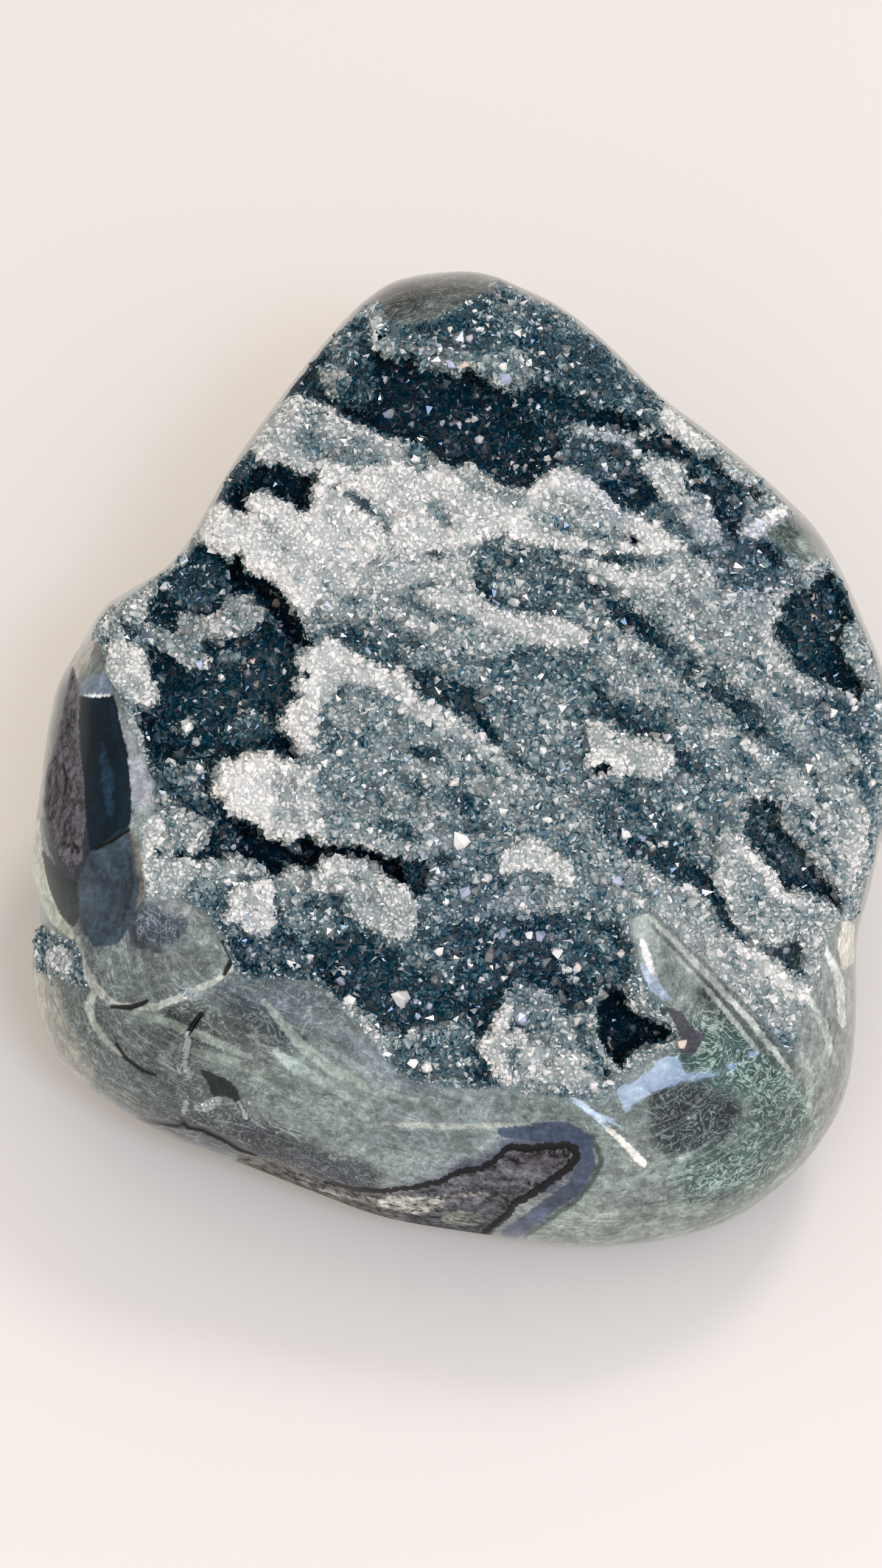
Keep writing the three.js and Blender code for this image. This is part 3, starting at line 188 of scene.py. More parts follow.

# Forms of the druse, each over those before it: level in mm, tone from dark to white, width of its wall
# in mm, and its outline, or the points of its middle line with half widths.
# Deep hollows, clefts and holes take the darkest tones: partly the quartz's own dark teal, partly painted
# shade.
FORMS = {
    "north east slope": (-0.8, 0.24, 4, area(
        -5.5, 60, 0, 61.5, 7, 64, 14, 62, 20, 58, 26, 52, 30, 48.8, 28.4, 46.6, 25, 46.6, 20, 47.4, 16, 48.4,
        13, 51, 10, 54, 4, 54.6, 0, 56, -4, 57.4)),
    "north east lump": (0.6, 0.36, 2.6, area(
        7, 55.6, 10, 56.4, 11.6, 59, 10, 62, 6.4, 62.6, 5, 60.6, 7.2, 59, 6.4, 57)),
    "rim slope": (-0.6, 0.15, 3, line(13, 60, 1, 20, 55, 1.4, 26, 49.6, 1.2)),
    "north west slope": (-2.4, 0.14, 2.6, area(
        -15.6, 53.4, -14.6, 57, -10.8, 61, -9, 60, -8.8, 56, -7.6, 53, -8.4, 49.6, -10.4, 48, -12.4, 49.4,
        -14.8, 50.6)),
    "north west lump": (-1, 0.5, 1.8, area(
        -15.8, 53.6, -14.6, 54.4, -13, 54.2, -11.8, 52.8, -12.4, 51.4, -14.2, 50.8, -15.4, 51.8)),
    "north west lobe": (-1.2, 0.28, 2, area(
        -14.2, 56.8, -12.4, 58.8, -10.8, 58.2, -11, 55.6, -12.6, 54.8, -14.2, 55.2)),
    "north west gap": (-4.5, 0.06, 2, area(
        -20.6, 50.2, -19, 52.6, -17, 55, -15, 57.2, -14.8, 55.2, -15.9, 53.4, -15.6, 51.6, -14.4, 50.4,
        -12.4, 49.2, -10.6, 47.4, -9, 46.6, -9.6, 45.8, -12, 47.2, -15, 48.8, -18, 49.8)),
    "north ledge": (1.4, 0.36, 1.6, area(
        -9, 61, -7.6, 60.2, -6, 58.8, -3.5, 58.2, -1, 57, 1.5, 56.2, 3.6, 56, 6, 55.8, 8.5, 56.4, 10.5, 55.4,
        11.4, 53.6, 10.4, 52, 9.4, 51, 8, 51, 6.6, 51.6, 5.6, 52.6, 4, 53.3, 2.4, 52.6, 1, 53.2, -0.6, 53.3,
        -2.2, 53.4, -3.4, 54.2, -4.2, 55.3, -5.6, 54.9, -6.6, 55.2, -7.6, 55.6, -8.8, 56.6, -9.2, 59.4)),
    "north ledge corner": (1.9, 0.5, 1.4, area(
        -9, 61.4, -7.8, 61, -7, 59.4, -6.8, 58, -5.6, 57, -5.8, 55.8, -6.8, 55.6, -7.6, 56.2, -8.9, 57)),
    "north": (-10, 0.02, 1.6, area(
        -8.9, 56.2, -7.6, 55.5, -6.6, 55.1, -5.8, 54.6, -5, 55.2, -4.2, 55.4, -3.4, 54.2, -2.6, 53.4,
        -1, 53.3, 0.4, 53.4, 1.4, 53.1, 2.2, 52.4, 3.4, 53.3, 5, 52.8, 6, 52.4, 6.6, 51.6, 8, 51, 9.4, 50.8,
        11, 50.6, 13, 49.4, 15, 48, 16.6, 46.8, 17, 45, 16.6, 43.6, 16, 41.4, 14.2, 40.2, 12.6, 39.2,
        11.6, 38.1, 10, 37.9, 8.6, 38.1, 7, 39.1, 5.6, 40.2, 4, 41.2, 2.4, 41, 0.8, 40.7, -0.2, 41.5,
        -1.2, 42.7, -2.6, 43.5, -4.4, 44, -6.6, 44.7, -8.4, 45.3, -10, 46.1, -11.6, 46.9, -13.4, 48.3,
        -11.4, 48.6, -9.6, 48.6, -8.4, 50, -8.2, 52, -9, 54)),
    "north wall": (-7, 0.1, 2.4, area(
        9, 51, 13, 52, 16, 50, 20, 48.6, 24, 47.6, 27, 46.4, 25, 45.4, 22, 45.6, 18, 46.4, 17, 44.6,
        15.6, 42, 13.4, 40.6, 12, 43, 12.6, 46, 10.4, 48.4)),
    "slate slope": (-3, 0.27, 2.2, area(
        15.2, 46.2, 18, 46, 20, 45, 23, 44, 25, 42, 25.6, 40.8, 27, 39.6, 28.2, 38, 28, 36.6, 26.4, 35.2,
        24.4, 34.9, 22.8, 35.8, 21.4, 37, 20.2, 38.6, 18.4, 40.2, 16.4, 40.9, 14.6, 40.2, 15.4, 43)),
    "slate foot": (-4, 0.16, 2.4, line(21, 38.4, 0.8, 24, 36.4, 1, 26.6, 37, 0.8)),
    "cream edge": (-1.4, 0.6, 1, area(
        15.8, 46.2, 17.4, 46.8, 19, 46.4, 20.4, 45.6, 22.6, 45.2, 24.2, 45, 25.2, 43.4, 25.8, 42.4, 25, 42,
        24, 43.6, 22.2, 44.4, 20.2, 44.6, 18.2, 45.4)),
    "rim lump": (1.6, 0.82, 1.2, area(
        28.4, 47, 28.6, 48.6, 29.6, 48.8, 31, 47.2, 33, 45.6, 35.2, 44.2, 35.2, 43.2, 34, 43, 32.6, 43.3,
        31.2, 44.4, 30, 45.2, 29.2, 46)),
    "north east gap": (-4.5, 0.18, 1.6, area(
        24.8, 44.6, 26.4, 44.8, 28, 45.8, 29.4, 45.4, 30.6, 44.2, 31.8, 43.2, 33.6, 42.4, 35.4, 42.2,
        37, 40.4, 39, 39, 40.6, 38.4, 41.8, 37.4, 41.2, 36, 39.8, 36.6, 38.8, 35, 38.2, 33.6, 38.4, 32,
        37.4, 31.9, 36.2, 33, 35.2, 34.6, 34.8, 36, 33.8, 37.6, 32.2, 37.6, 31.6, 38.8, 31.4, 40.6, 31, 41.7,
        29.6, 42.2, 27.8, 42.1, 26.2, 43.2)),
    "gap lump": (-2.4, 0.2, 1.8, area(36, 37.6, 37.6, 37.6, 39.6, 37.4, 39.4, 35.4, 38, 34.4, 36.6, 34.8)),
    "gap crystals": (-1.6, 0.28, 1.4, area(
        33.4, 41.6, 35, 39.9, 36.6, 39.6, 38.2, 38.6, 39.8, 37.6, 39, 37.2, 37.2, 38.4, 35.2, 38.8,
        33.6, 39.4, 32.4, 40.6)),
    "north east knob": (1.8, 0.7, 1.3, area(
        25, 40.4, 26.4, 41.4, 27.8, 41.9, 29, 41.3, 30.4, 41.5, 31.2, 40.4, 31.4, 38.4, 31.2, 37.2, 32.6, 37,
        32.6, 36.2, 30.6, 35.8, 28.8, 36.6, 28, 38.2, 26.6, 39.4)),
    "north east foot": (1.2, 0.7, 1.3, area(
        30.6, 35, 32.4, 36, 34.6, 35.8, 35.2, 34.4, 36.1, 33, 35.8, 31.8, 34, 31.2, 32.6, 30.4, 31.8, 31.2,
        32.8, 32.6, 31.8, 33.6, 30.8, 33.6)),
    "foot gap": (-0.8, 0.42, 2, area(
        27, 36.2, 29.6, 35.6, 30.4, 34.4, 31.6, 33.4, 31, 31.8, 29.6, 32.8, 27.8, 33.6, 26.6, 34.4)),
    "east knob": (1.6, 0.86, 1.2, area(
        38.6, 32.6, 39.8, 33.6, 41.4, 34.4, 42.6, 35.6, 43.6, 36.4, 44.8, 35.9, 44.4, 34.9, 42.8, 33.6,
        41.4, 32.2, 40.2, 31.2, 39.2, 31.4)),
    "east smear": (0.2, 0.58, 1.4, area(
        44.4, 30.4, 46, 29.9, 48, 30.4, 50, 30.2, 49.4, 28.8, 48, 27.8, 46.6, 27.6, 45, 28.6)),
    "slate band": (-1, 0.36, 2.8, area(
        31.8, 31, 33, 30.5, 36, 31.5, 38, 31.6, 40.6, 31, 42, 31, 43.6, 30.4, 44.6, 28.8, 46.2, 27.2, 47, 26,
        45.6, 25, 44, 25.4, 41, 25.2, 38, 25, 36.2, 25.4, 35.8, 27, 34.2, 29, 33, 29.2)),
    "slate band deep": (-2, 0.12, 2, line(41.4, 30.6, 0.6, 43, 29.6, 1, 43.6, 28.4, 0.5)),
    "slate band shade": (-1.6, 0.5, 2.4, line(33, 30, 0.5, 35, 29.8, 0.8, 37, 30.6, 0.5)),
    "first shelf": (2.6, 0.6, 1.4, area(
        -24.6, 44, -24.4, 45.8, -23, 47.6, -21, 49.4, -19, 50.1, -17.6, 49.9, -15.6, 49, -13.4, 48.1,
        -11.6, 46.8, -10, 46, -8.4, 45.2, -6.6, 44.6, -4.4, 44, -3, 43.6, -1.4, 42.7, -0.2, 41.5, 0.6, 40.6,
        -2, 40.4, -6, 40.8, -9.8, 40.4, -12.4, 40.8, -15, 41.4, -16.2, 40, -17.2, 40.1, -18.6, 40.1,
        -20, 40.9, -21, 41.5, -22.4, 41.3, -23.4, 42)),
    "first shelf middle": (2.2, 0.5, 2.2, area(
        -19.5, 46.8, -16.6, 46.8, -14.6, 46, -12.6, 45.2, -9, 43.8, -7, 42.6, -8.6, 41.6, -13, 41.8,
        -16, 42.4, -18.4, 43, -19.8, 44.8)),
    "first shelf end": (1.6, 0.34, 1.6, area(
        -5.2, 43.8, -3.2, 43.7, -1.6, 42.8, -0.6, 41.6, -1.8, 41, -4, 41.2, -5.4, 42)),
    "white shelf": (3.4, 0.83, 1.8, area(
        -31, 31.6, -31.4, 33.8, -30.6, 35.2, -29.4, 36.2, -28.4, 36.5, -27.4, 36, -26.6, 35.2, -25.1, 35.1,
        -25.2, 36.8, -24.4, 37.7, -22.4, 37.8, -21, 37, -19.6, 36.4, -18.6, 35.5, -17, 35.3, -16.6, 38,
        -16, 40, -15, 41.4, -13.4, 41.7, -12.4, 40.9, -11, 40.4, -9, 40.8, -7, 41.8, -4.6, 41.2, -2, 40.6,
        0.6, 40.5, 2.4, 41, 4, 41.2, 5.6, 40.1, 7, 39.1, 8.6, 38.1, 10, 37.9, 11.6, 38.1, 12.6, 39.2,
        14.2, 40.2, 16.4, 40.9, 18.4, 40.1, 20.2, 38.5, 21.4, 37, 22.8, 35.8, 24.4, 34.9, 26, 34.3,
        27.6, 33.6, 29.4, 32.8, 31, 31.8, 31.8, 30.6, 30, 28.8, 27, 29, 23, 30, 19, 30.4, 15, 30.4, 12, 31,
        8, 32, 4, 30.6, 0, 30, -4, 29.4, -8, 29, -12, 27.4, -15, 25, -17, 22, -18.4, 22, -19.6, 23.4,
        -20.8, 25, -22, 26.3, -23.6, 26.8, -24.8, 27.3, -25.8, 28.6, -26.1, 29.7, -26.8, 29.5, -27.4, 28.5,
        -28.4, 29.8, -30, 30.6)),
    "white shelf blue end": (2.8, 0.5, 2.4, area(
        1, 40.2, 4, 40.8, 7, 38.8, 9, 37.6, 11.6, 37.6, 11, 36, 8, 36.4, 4, 37.8)),
    "white shelf grey end": (2.6, 0.7, 3, area(
        13, 37.6, 17, 37.4, 21, 35.6, 24, 33.8, 27, 32, 24, 30.6, 19, 31, 14, 32.4, 11, 34)),
    "white shelf dip": (2, 0.42, 1.4, area(
        -14, 38.6, -12.6, 38, -10.8, 37.4, -9, 36.4, -8, 35.2, -6.8, 34.6, -6.5, 32.4, -7.4, 32.3,
        -8.2, 33.4, -9.8, 35.2, -11.8, 36.6, -13.8, 37.8)),
    "white shelf gap": (2.2, 0.56, 1.4, area(
        -2.4, 36.6, -0.4, 36, 1.6, 35, 1.8, 33.2, 0.6, 32.6, -0.4, 34, -2, 35.2)),
    "shelf streak": (2.2, 0.54, 1.8, line(13, 34.6, 0.5, 17, 33, 0.8, 20.6, 31.8, 0.8, 22.8, 30.4, 0.4)),
    "shelf foot": (2, 0.7, 3.6, area(
        -16, 27, -12, 28.4, -8, 29.6, 0, 30.4, 4, 30.6, 4.6, 27.4, 3.6, 26.4, -1, 26.2, -6, 24.8, -11, 23.6,
        -15, 21.4, -16.6, 23)),
    "shelf foot light": (2.2, 0.76, 2.4, line(-17, 26.6, 0.8, -14.6, 27.4, 1.2, -12.6, 26.4, 0.8)),
    "shelf foot blue": (1.2, 0.5, 3, area(-14.6, 21, -13, 24.4, -9, 25, -6, 24, -7, 21.6, -10, 20.4)),
    "first valley": (-1.6, 0.4, 2.4, area(
        4.5, 28.8, 8, 30, 11, 30.6, 13.4, 29.6, 16, 28.4, 19.6, 26.8, 22, 25.4, 24.4, 23.6, 26.6, 22,
        29, 20.4, 31.6, 18.2, 34, 16.4, 36.4, 14, 38.4, 12, 41, 10.6, 41.6, 8, 40.6, 5.6, 39.4, 5.4, 38, 8.6,
        35, 10.6, 32, 12.4, 30, 13.4, 28.6, 15.4, 28, 17.4, 26, 18.4, 22, 20, 21, 22.6, 16, 22.2, 12, 21.8,
        9, 22.4, 6, 23.4, 4.8, 24.6)),
    "first valley deep": (-2.8, 0.14, 2.2, area(
        17, 26.6, 20, 25.6, 22, 24.4, 23.6, 22.6, 25.4, 21.4, 27.6, 20.4, 29.4, 18.6, 30.6, 16.6, 29.6, 16.2,
        28.4, 17.6, 26.4, 18.4, 25, 19.2, 23.4, 19.8, 22.2, 20.8, 22, 22.6, 20.6, 24.2, 18, 24.8)),
    "first valley tail": (-2, 0.27, 2.2, area(
        31, 15.8, 33, 15.8, 34.6, 13.6, 36, 12.6, 37.6, 11.8, 39.6, 10.8, 41, 9, 42, 7, 41, 5.6, 39.7, 5.4,
        39, 7.4, 37.6, 9, 36, 10.4, 34, 11, 32, 12.8)),
    "first valley rise": (-0.4, 0.32, 2, line(33.4, 13.6, 0.9, 36.2, 15, 1.4, 38, 13.4, 0.8)),
    "ridge pocket": (-2, 0.22, 1.6, area(
        4.6, 26.6, 5.6, 25.6, 6.6, 24, 7.4, 23.4, 6.4, 23, 5.2, 23.8, 4.4, 24.8)),
    "ridge gap": (-1.2, 0.28, 1.6, line(10, 22.6, 0.4, 12, 23.2, 0.8, 14.6, 23, 0.8)),
    "valley floor": (0, 0.52, 2, line(8, 26, 1.4, 10.6, 25.4, 0.9)),
    "upper band": (2.2, 0.58, 2.4, area(
        13.6, 30.4, 18, 29.4, 22, 28, 27, 29.4, 31, 30.8, 33, 29, 35, 28, 36, 25.6, 38, 24.8, 42, 25,
        44.6, 24.6, 44.4, 22.6, 42.8, 21, 42.4, 19.4, 43.6, 17.6, 45, 15.4, 47.6, 13.4, 50, 12.2, 52, 9,
        54, 3, 50, 0, 46, 4.6, 42.4, 10, 39, 12.4, 36.6, 15, 33, 17, 29.6, 19.8, 26, 22.4, 22, 25.6,
        18, 27.8)),
    "upper band line": (1.6, 0.5, 1.6, line(29.6, 27, 0.2, 31, 25, 0.5, 34, 22, 0.6)),
    "upper band blue": (1.4, 0.54, 2.6, line(31, 19.8, 0.8, 35, 18, 1.6, 38, 16.6, 1, 40.6, 19, 0.8)),
    "upper band light": (2.6, 0.76, 2.2, line(19, 28.6, 0.5, 23, 26.6, 0.9, 28, 26.4, 1.4, 31, 27.6, 0.8)),
    "upper band grey": (1.2, 0.46, 3, line(45, 11.6, 1, 49, 8.4, 1.6, 51, 5, 1)),
    "east slope": (-0.4, 0.32, 3, area(
        51, 11.8, 54, 11.4, 57, 12, 58, 7, 57.4, 2, 56.8, -4, 55.4, -4.4, 54.6, -1, 53.4, 2.6, 54.6, 5,
        52, 6, 49.6, 8.4, 48.4, 11)),
    "central ridge": (1.6, 0.75, 1.4, area(
        -3.6, 24, -1.4, 25.6, 1, 26.4, 3.6, 26.6, 4.5, 25, 5.4, 23.7, 7, 22.8, 9, 21.7, 11, 21.7, 13.6, 21.6,
        16.4, 20.8, 18.4, 19.9, 19.2, 18.6, 18.4, 17.5, 16, 17.5, 13, 17.8, 10.6, 18.4, 8, 19.4, 5, 20.6,
        2, 21.6, 0, 22.4)),
    "central ridge west": (1, 0.56, 2.6, area(
        -7.6, 24.4, -4, 24.4, 0, 22.4, 4, 21, 8, 19.4, 10, 18, 10, 16, 6, 16, 2, 17.4, -2, 19, -5, 20.4,
        -8, 22)),
    "central ridge line": (0.4, 0.4, 1.4, line(-4.8, 23.8, 0.3, -2.6, 22.6, 0.4, -0.8, 21.6, 0.3)),
    "second valley": (-1, 0.36, 2.6, area(
        10, 17.8, 14, 17.6, 18, 17.2, 19.4, 16.4, 20.6, 14, 21.4, 11.6, 24, 11, 28, 9.4, 30.6, 7.4, 31.4, 5,
        33.2, 3.4, 35, 0.4, 33.6, -0.4, 31.6, 1, 30.4, 3.4, 28.6, 5.4, 25, 6.1, 23, 6.9, 20.8, 8.3, 19, 8.8,
        17, 9.6, 12, 11, 8, 12, 4, 14, 6, 16)),
    "second valley deep": (-2.6, 0.24, 1.8, area(
        19.4, 12.6, 21.4, 12, 22.6, 10.4, 25, 9.4, 27, 8.4, 28.8, 6.8, 29.8, 5.4, 28.4, 5.5, 25, 6.2,
        23.4, 6.8, 21.4, 8, 19.4, 8.8)),
    "second valley crumbs": (-0.6, 0.26, 1.6, line(23.4, 10, 0.4, 27.4, 7.6, 0.5)),
    "ridge east": (0.4, 0.52, 2.6, area(
        19.6, 18, 22, 21, 25, 18.4, 28, 16, 30, 13.2, 33, 11.6, 37, 9, 39, 5, 43.6, 4.6, 47, 2, 46, -2,
        42, -0.6, 38, 2.6, 34, 4.6, 31.4, 7.8, 27, 10.8, 22.4, 12.6, 20.4, 15.4)),
    "ridge east grey": (-0.2, 0.4, 2, line(25.4, 16, 0.8, 27.4, 14.6, 0.6)),
    "ridge east light": (1.2, 0.66, 2, area(
        33.4, 6.6, 37, 5.4, 40, 3.2, 43, 1.4, 45.6, -1.4, 48.4, -4.6, 51, -8.4, 53.6, -12.4, 55, -9,
        55.4, -5, 53.4, -1.4, 50, 2, 47.4, 4, 46, 2.4, 43.6, 1.6, 41, 5, 37.6, 7)),
    "ridge east line": (0.2, 0.5, 1.4, line(46.4, 3, 0.4, 48.4, 0.8, 0.5, 49.4, -3, 0.4)),
    "third valley": (-0.8, 0.42, 3.4, area(
        -15, 21, -11, 21, -7, 20.6, -3, 19, 0, 17.4, 4, 15.6, 8, 15.4, 14, 14, 19, 11.4, 19, 8.6, 17, 7,
        19, 3, 23, 0.6, 30, 0.6, 34, -1, 38, -3, 39.6, -6, 38, -6.4, 36, -7.8, 35, -11, 36, -14, 33, -16,
        28, -13.4, 22, -9.6, 16, -4, 10, 0.6, 4, 6, -4, 11, -10, 15, -16, 18.4)),
    "third valley upper": (-1.6, 0.28, 2.4, area(
        -14.6, 20.6, -12, 20.6, -8.4, 19.4, -5.6, 18.8, -5, 17, -4.4, 15.4, -7, 15.2, -9, 16.8, -11.6, 18,
        -14, 19.4)),
    "third valley spots": (-2, 0.18, 1.4, line(-4.4, 18.3, 0.4, -2.8, 18.1, 0.4)),
    "third valley deep": (-3.4, 0.13, 2, area(
        -4.8, 15, -2, 14.8, 0, 14.2, 2, 13.7, 4, 12.6, 5.6, 11.2, 6.2, 9, 6.8, 7, 7.6, 5, 6.4, 5.2, 5, 6.4,
        3.6, 7.8, 1.6, 9.3, 0, 10.1, -1.4, 10.4, -2.6, 11, -3.8, 12.2, -4.8, 13.8)),
    "third valley haze": (-1.2, 0.34, 3, line(5, 13, 0.8, 8.4, 9.4, 1.2, 10.4, 6.8, 1)),
    "third valley line": (-1.4, 0.26, 1.6, line(9.6, 3, 0.4, 12, 1.6, 0.5, 14.6, 0.2, 0.4)),
    "lower valley": (-1.8, 0.3, 2.4, area(
        18, -1.4, 22, -0.6, 26, -1.8, 30, -3.4, 33, -6, 34.6, -9, 36, -11.4, 37, -14, 39, -17, 38.2, -19.2,
        36.6, -18.6, 35.2, -17, 33.8, -15, 33, -13.4, 30.4, -12.9, 28.4, -12, 26.8, -10.6, 25, -9.6,
        23, -8.4, 21, -7.4, 20, -4)),
    "lower valley deep": (-3.6, 0.18, 1.8, area(
        24, -9.4, 24.4, -7.4, 26, -6.2, 28, -6.6, 30, -7.6, 31.4, -9.4, 33, -10.6, 34.6, -12, 35.4, -14,
        34.4, -14.6, 33, -13.3, 30.6, -12.8, 28.6, -12.1, 27, -10.7, 25.6, -9.8)),
    "lower valley tail": (-2.4, 0.3, 1.8, line(35.4, -15, 0.4, 36.8, -17, 0.9, 38, -18.6, 0.3)),
    "lower valley rise": (-0.4, 0.55, 1.8, line(32.8, -9.2, 0.4, 34.4, -8.4, 0.8, 33.6, -5.4, 0.6)),
    "slab": (0.9, 0.5, 1.6, area(
        -18.9, 16.2, -17.4, 17.4, -15, 18.6, -13, 17.6, -10, 16.4, -7.6, 15, -6.6, 14.4, -5.4, 15,
        -4.6, 13.6, -3.6, 12, -2.4, 10.9, -1, 10.3, 1.4, 9.1, 3.4, 7.7, 5, 6.2, 6.6, 5.1, 8.6, 3.4, 10.4, 2,
        12.6, 0.6, 15, -1, 17.4, -2.6, 19.6, -5, 21.6, -7.6, 24, -9.6, 26, -10, 28, -11.9, 30, -12.9,
        33, -13.5, 34.4, -15.6, 36.4, -18.6, 34, -20, 30, -18.6, 26, -17, 20, -16.6, 12, -16.4, 4, -16,
        -2, -14, -4, -10, -8, -9.4, -12, -8, -14, -3, -18, 2, -18.6, 4.6, -19.4, 5.8, -20.2, 6.8, -21.3, 7.4,
        -20.4, 8.6, -19.4, 10.4, -18.1, 11.4, -19, 12.6, -18.4, 14)),
    "slab fringe": (1.9, 0.85, 1.8, area(
        -18.9, 16.2, -17.4, 17.4, -15, 18.6, -13, 17.6, -10, 16.4, -7.6, 15, -6.6, 14.4, -5.4, 15,
        -4.6, 13.6, -3.6, 12, -2.4, 10.9, -4, 10.4, -6, 11.4, -9, 12.6, -12, 12.8, -14.4, 11.8, -15.6, 9.4,
        -16.2, 6.6, -17, 4, -18.6, 4.6, -19.4, 5.8, -20.2, 6.8, -21.3, 7.4, -20.4, 8.6, -19.4, 10.4,
        -18.1, 11.4, -19, 12.6, -18.4, 14)),
    "slab crest": (1.6, 0.7, 2.2, line(
        -5, 11, 1, -3, 9.4, 1.1, 0, 8.4, 1.2, 2.6, 6.6, 1.1, 5.2, 4.6, 0.9, 8.4, 2.4, 0.6)),
    "slab dark one": (0, 0.36, 1.8, line(-14.6, 7.8, 0.6, -13.8, 6, 0.9, -14.2, 4.8, 0.4)),
    "slab dark two": (-0.4, 0.26, 1.8, line(-4, 5, 0.5, -3, 4, 0.7, -1, 4.4, 0.6)),
    "slab dark three": (-0.2, 0.32, 2.4, line(
        -6, 1.6, 0.8, -4, 0.4, 1, 0, -1.6, 1.4, 4, -3, 1.4, 4.6, -5.6, 1)),
    "slab dark four": (0, 0.46, 2.4, line(-9, -1, 1, -6, -3, 1.4, -4.6, -4.6, 0.8)),
    "slab haze": (0.6, 0.48, 3, line(10, -2.6, 1, 12.4, -3.6, 1.4, 18, -7.6, 1.4, 20.6, -10, 1)),
    "slab light": (1.2, 0.6, 2, line(6.8, -2, 0.6, 8.6, -4, 0.8)),
    "slate patch": (-1.6, 0.24, 1.8, area(
        -0.6, -9.8, 1, -9.4, 2, -10.6, 4, -11.4, 5, -13, 6.4, -14.4, 5, -15.6, 3, -14.6, 1, -15.6,
        -0.6, -14)),
    "slab south": (0.6, 0.52, 2.6, area(
        7, -12.6, 10, -12, 14, -13.4, 18, -13.4, 22, -12, 27, -13.6, 31, -15.6, 34, -17.4, 33, -20, 28, -18,
        24, -16.4, 20, -16, 14, -16, 8, -16)),
    "west knob": (3.6, 0.95, 1.4, area(
        -29.9, -1.1, -29.4, 0.4, -28.7, 1.4, -28.5, 3, -27.4, 3.5, -26.2, 3.7, -25, 4.3, -23.4, 4.1,
        -22, 3.9, -21, 3.2, -20.4, 2.2, -19.6, 0.6, -20, -2, -21, -4.6, -21.6, -6.4, -22.4, -6.4,
        -23.2, -5.4, -24.6, -4.8, -25.6, -4.4, -26.6, -4, -27.6, -3.3, -28.4, -2.2, -29.4, -1.8)),
    "west knob middle": (3, 0.72, 2, area(
        -21.4, 3.4, -19.6, 2.6, -17.6, 2.4, -16, 1.6, -14.6, -0.4, -14, -3, -14, -5.6, -14.6, -8, -16, -7.8,
        -17, -6.8, -18, -7, -19.6, -8, -20.8, -7.4, -22.4, -6.9, -22.4, -5, -21.4, -2)),
    "west knob right": (2, 0.5, 2.4, area(
        -16, 1.6, -14.6, 0, -12, -2.4, -8, -3.4, -3, -4.4, -0.6, -6.6, -2, -9.2, -5.2, -9.4, -7, -9.5,
        -8.6, -8.8, -10, -8.2, -11.4, -8, -13, -8.4, -14.6, -8, -15.4, -4.4)),
    "knob right crumbs": (1.2, 0.22, 1.8, line(-7.4, -5, 0.6, -5, -6, 1, -3, -7.4, 0.6)),
    "west fringe": (2.2, 0.77, 1.6, area(
        -43.6, 15, -43, 17.8, -41.6, 18.8, -39.8, 18.4, -38.4, 17.4, -38, 15.6, -37, 13.4, -36.6, 11,
        -37, 9.9, -38.4, 10.2, -40, 11, -41.4, 11.8, -42.6, 12)),
    "west fringe top": (0.8, 0.46, 1.8, area(
        -44.2, 20.6, -43, 22.6, -41, 24, -39.4, 25.2, -37.6, 26, -37.3, 24.6, -38, 23, -38.4, 21.4,
        -39.4, 20.4, -40.6, 19.4, -42.6, 18.8, -44, 19.4)),
    "west fringe lower": (1.2, 0.52, 2.2, area(
        -42.4, 9.4, -40.4, 10.2, -38.8, 9.4, -38.5, 7, -38, 4, -37.6, 1, -36.6, 0.2, -35, -1, -32, -2.4,
        -29.6, -4.4, -29.9, -6, -30.6, -7.8, -31.6, -9.2, -34.4, -9.4, -36, -9.6, -37, -9.6, -39.6, -10,
        -40.4, -5, -41.2, 0, -42, 5)),
    "west fringe gap": (-1.4, 0.35, 1.4, line(-37.2, -0.8, 0.3, -36.6, -2.4, 0.6, -35.4, -3, 0.3)),
    "west fringe foot": (2, 0.9, 1.4, area(
        -39.6, -4.6, -38, -3.9, -36.2, -4, -35.8, -6, -36, -8, -37, -9, -38.4, -9.4, -39.4, -8)),
    "frosted corner": (1.2, 0.66, 2.2, area(
        -39.6, -9, -36, -9.8, -32, -9.8, -31, -10.8, -32.8, -12.2, -33.2, -14.4, -35, -15.6, -38.6, -15.8,
        -39.8, -13)),
    "lower ground": (-0.2, 0.38, 2.8, area(
        -33, -15.4, -31, -11, -27, -9.8, -24, -10.4, -21.6, -11.9, -19, -10.4, -16, -11.6, -9, -11.6,
        -4, -13.4, -1.2, -12, 0, -10, 6, -8, 10, -11, 8, -15, 2, -17.4, -4, -19.6, -10, -20.2, -16, -19.8,
        -22, -20, -28, -19.6)),
    "lower ground left": (0.4, 0.56, 2, area(
        -31, -10.4, -28, -9.9, -25, -10, -23, -10.8, -23.6, -12.4, -26.4, -12.4, -28.4, -13.6, -31, -13)),
    "lower west": (-0.6, 0.38, 2.6, area(
        -33.4, -14.6, -30, -13.4, -27.6, -14.6, -27.8, -17.6, -26, -18.4, -24.4, -19, -24, -21, -25, -23.4,
        -27, -25, -27.4, -22, -28.4, -20, -31, -17)),
    "lower knob left": (2.8, 0.8, 1.3, area(
        -27.2, -14.2, -26, -12.7, -24, -12.4, -22.6, -12.1, -21.6, -13.4, -21.8, -15, -21.4, -17, -22, -18.6,
        -22, -19.5, -23.4, -19.9, -24, -18.7, -25, -19, -26, -18, -27.8, -17.7, -27, -16.2, -27.5, -15)),
    "knob tail": (1, 0.7, 1.3, line(-23.6, -20, 0.4, -23.9, -21.6, 0.4, -24.3, -22.9, 0.8)),
    "lower middle lump": (0.8, 0.5, 2, area(
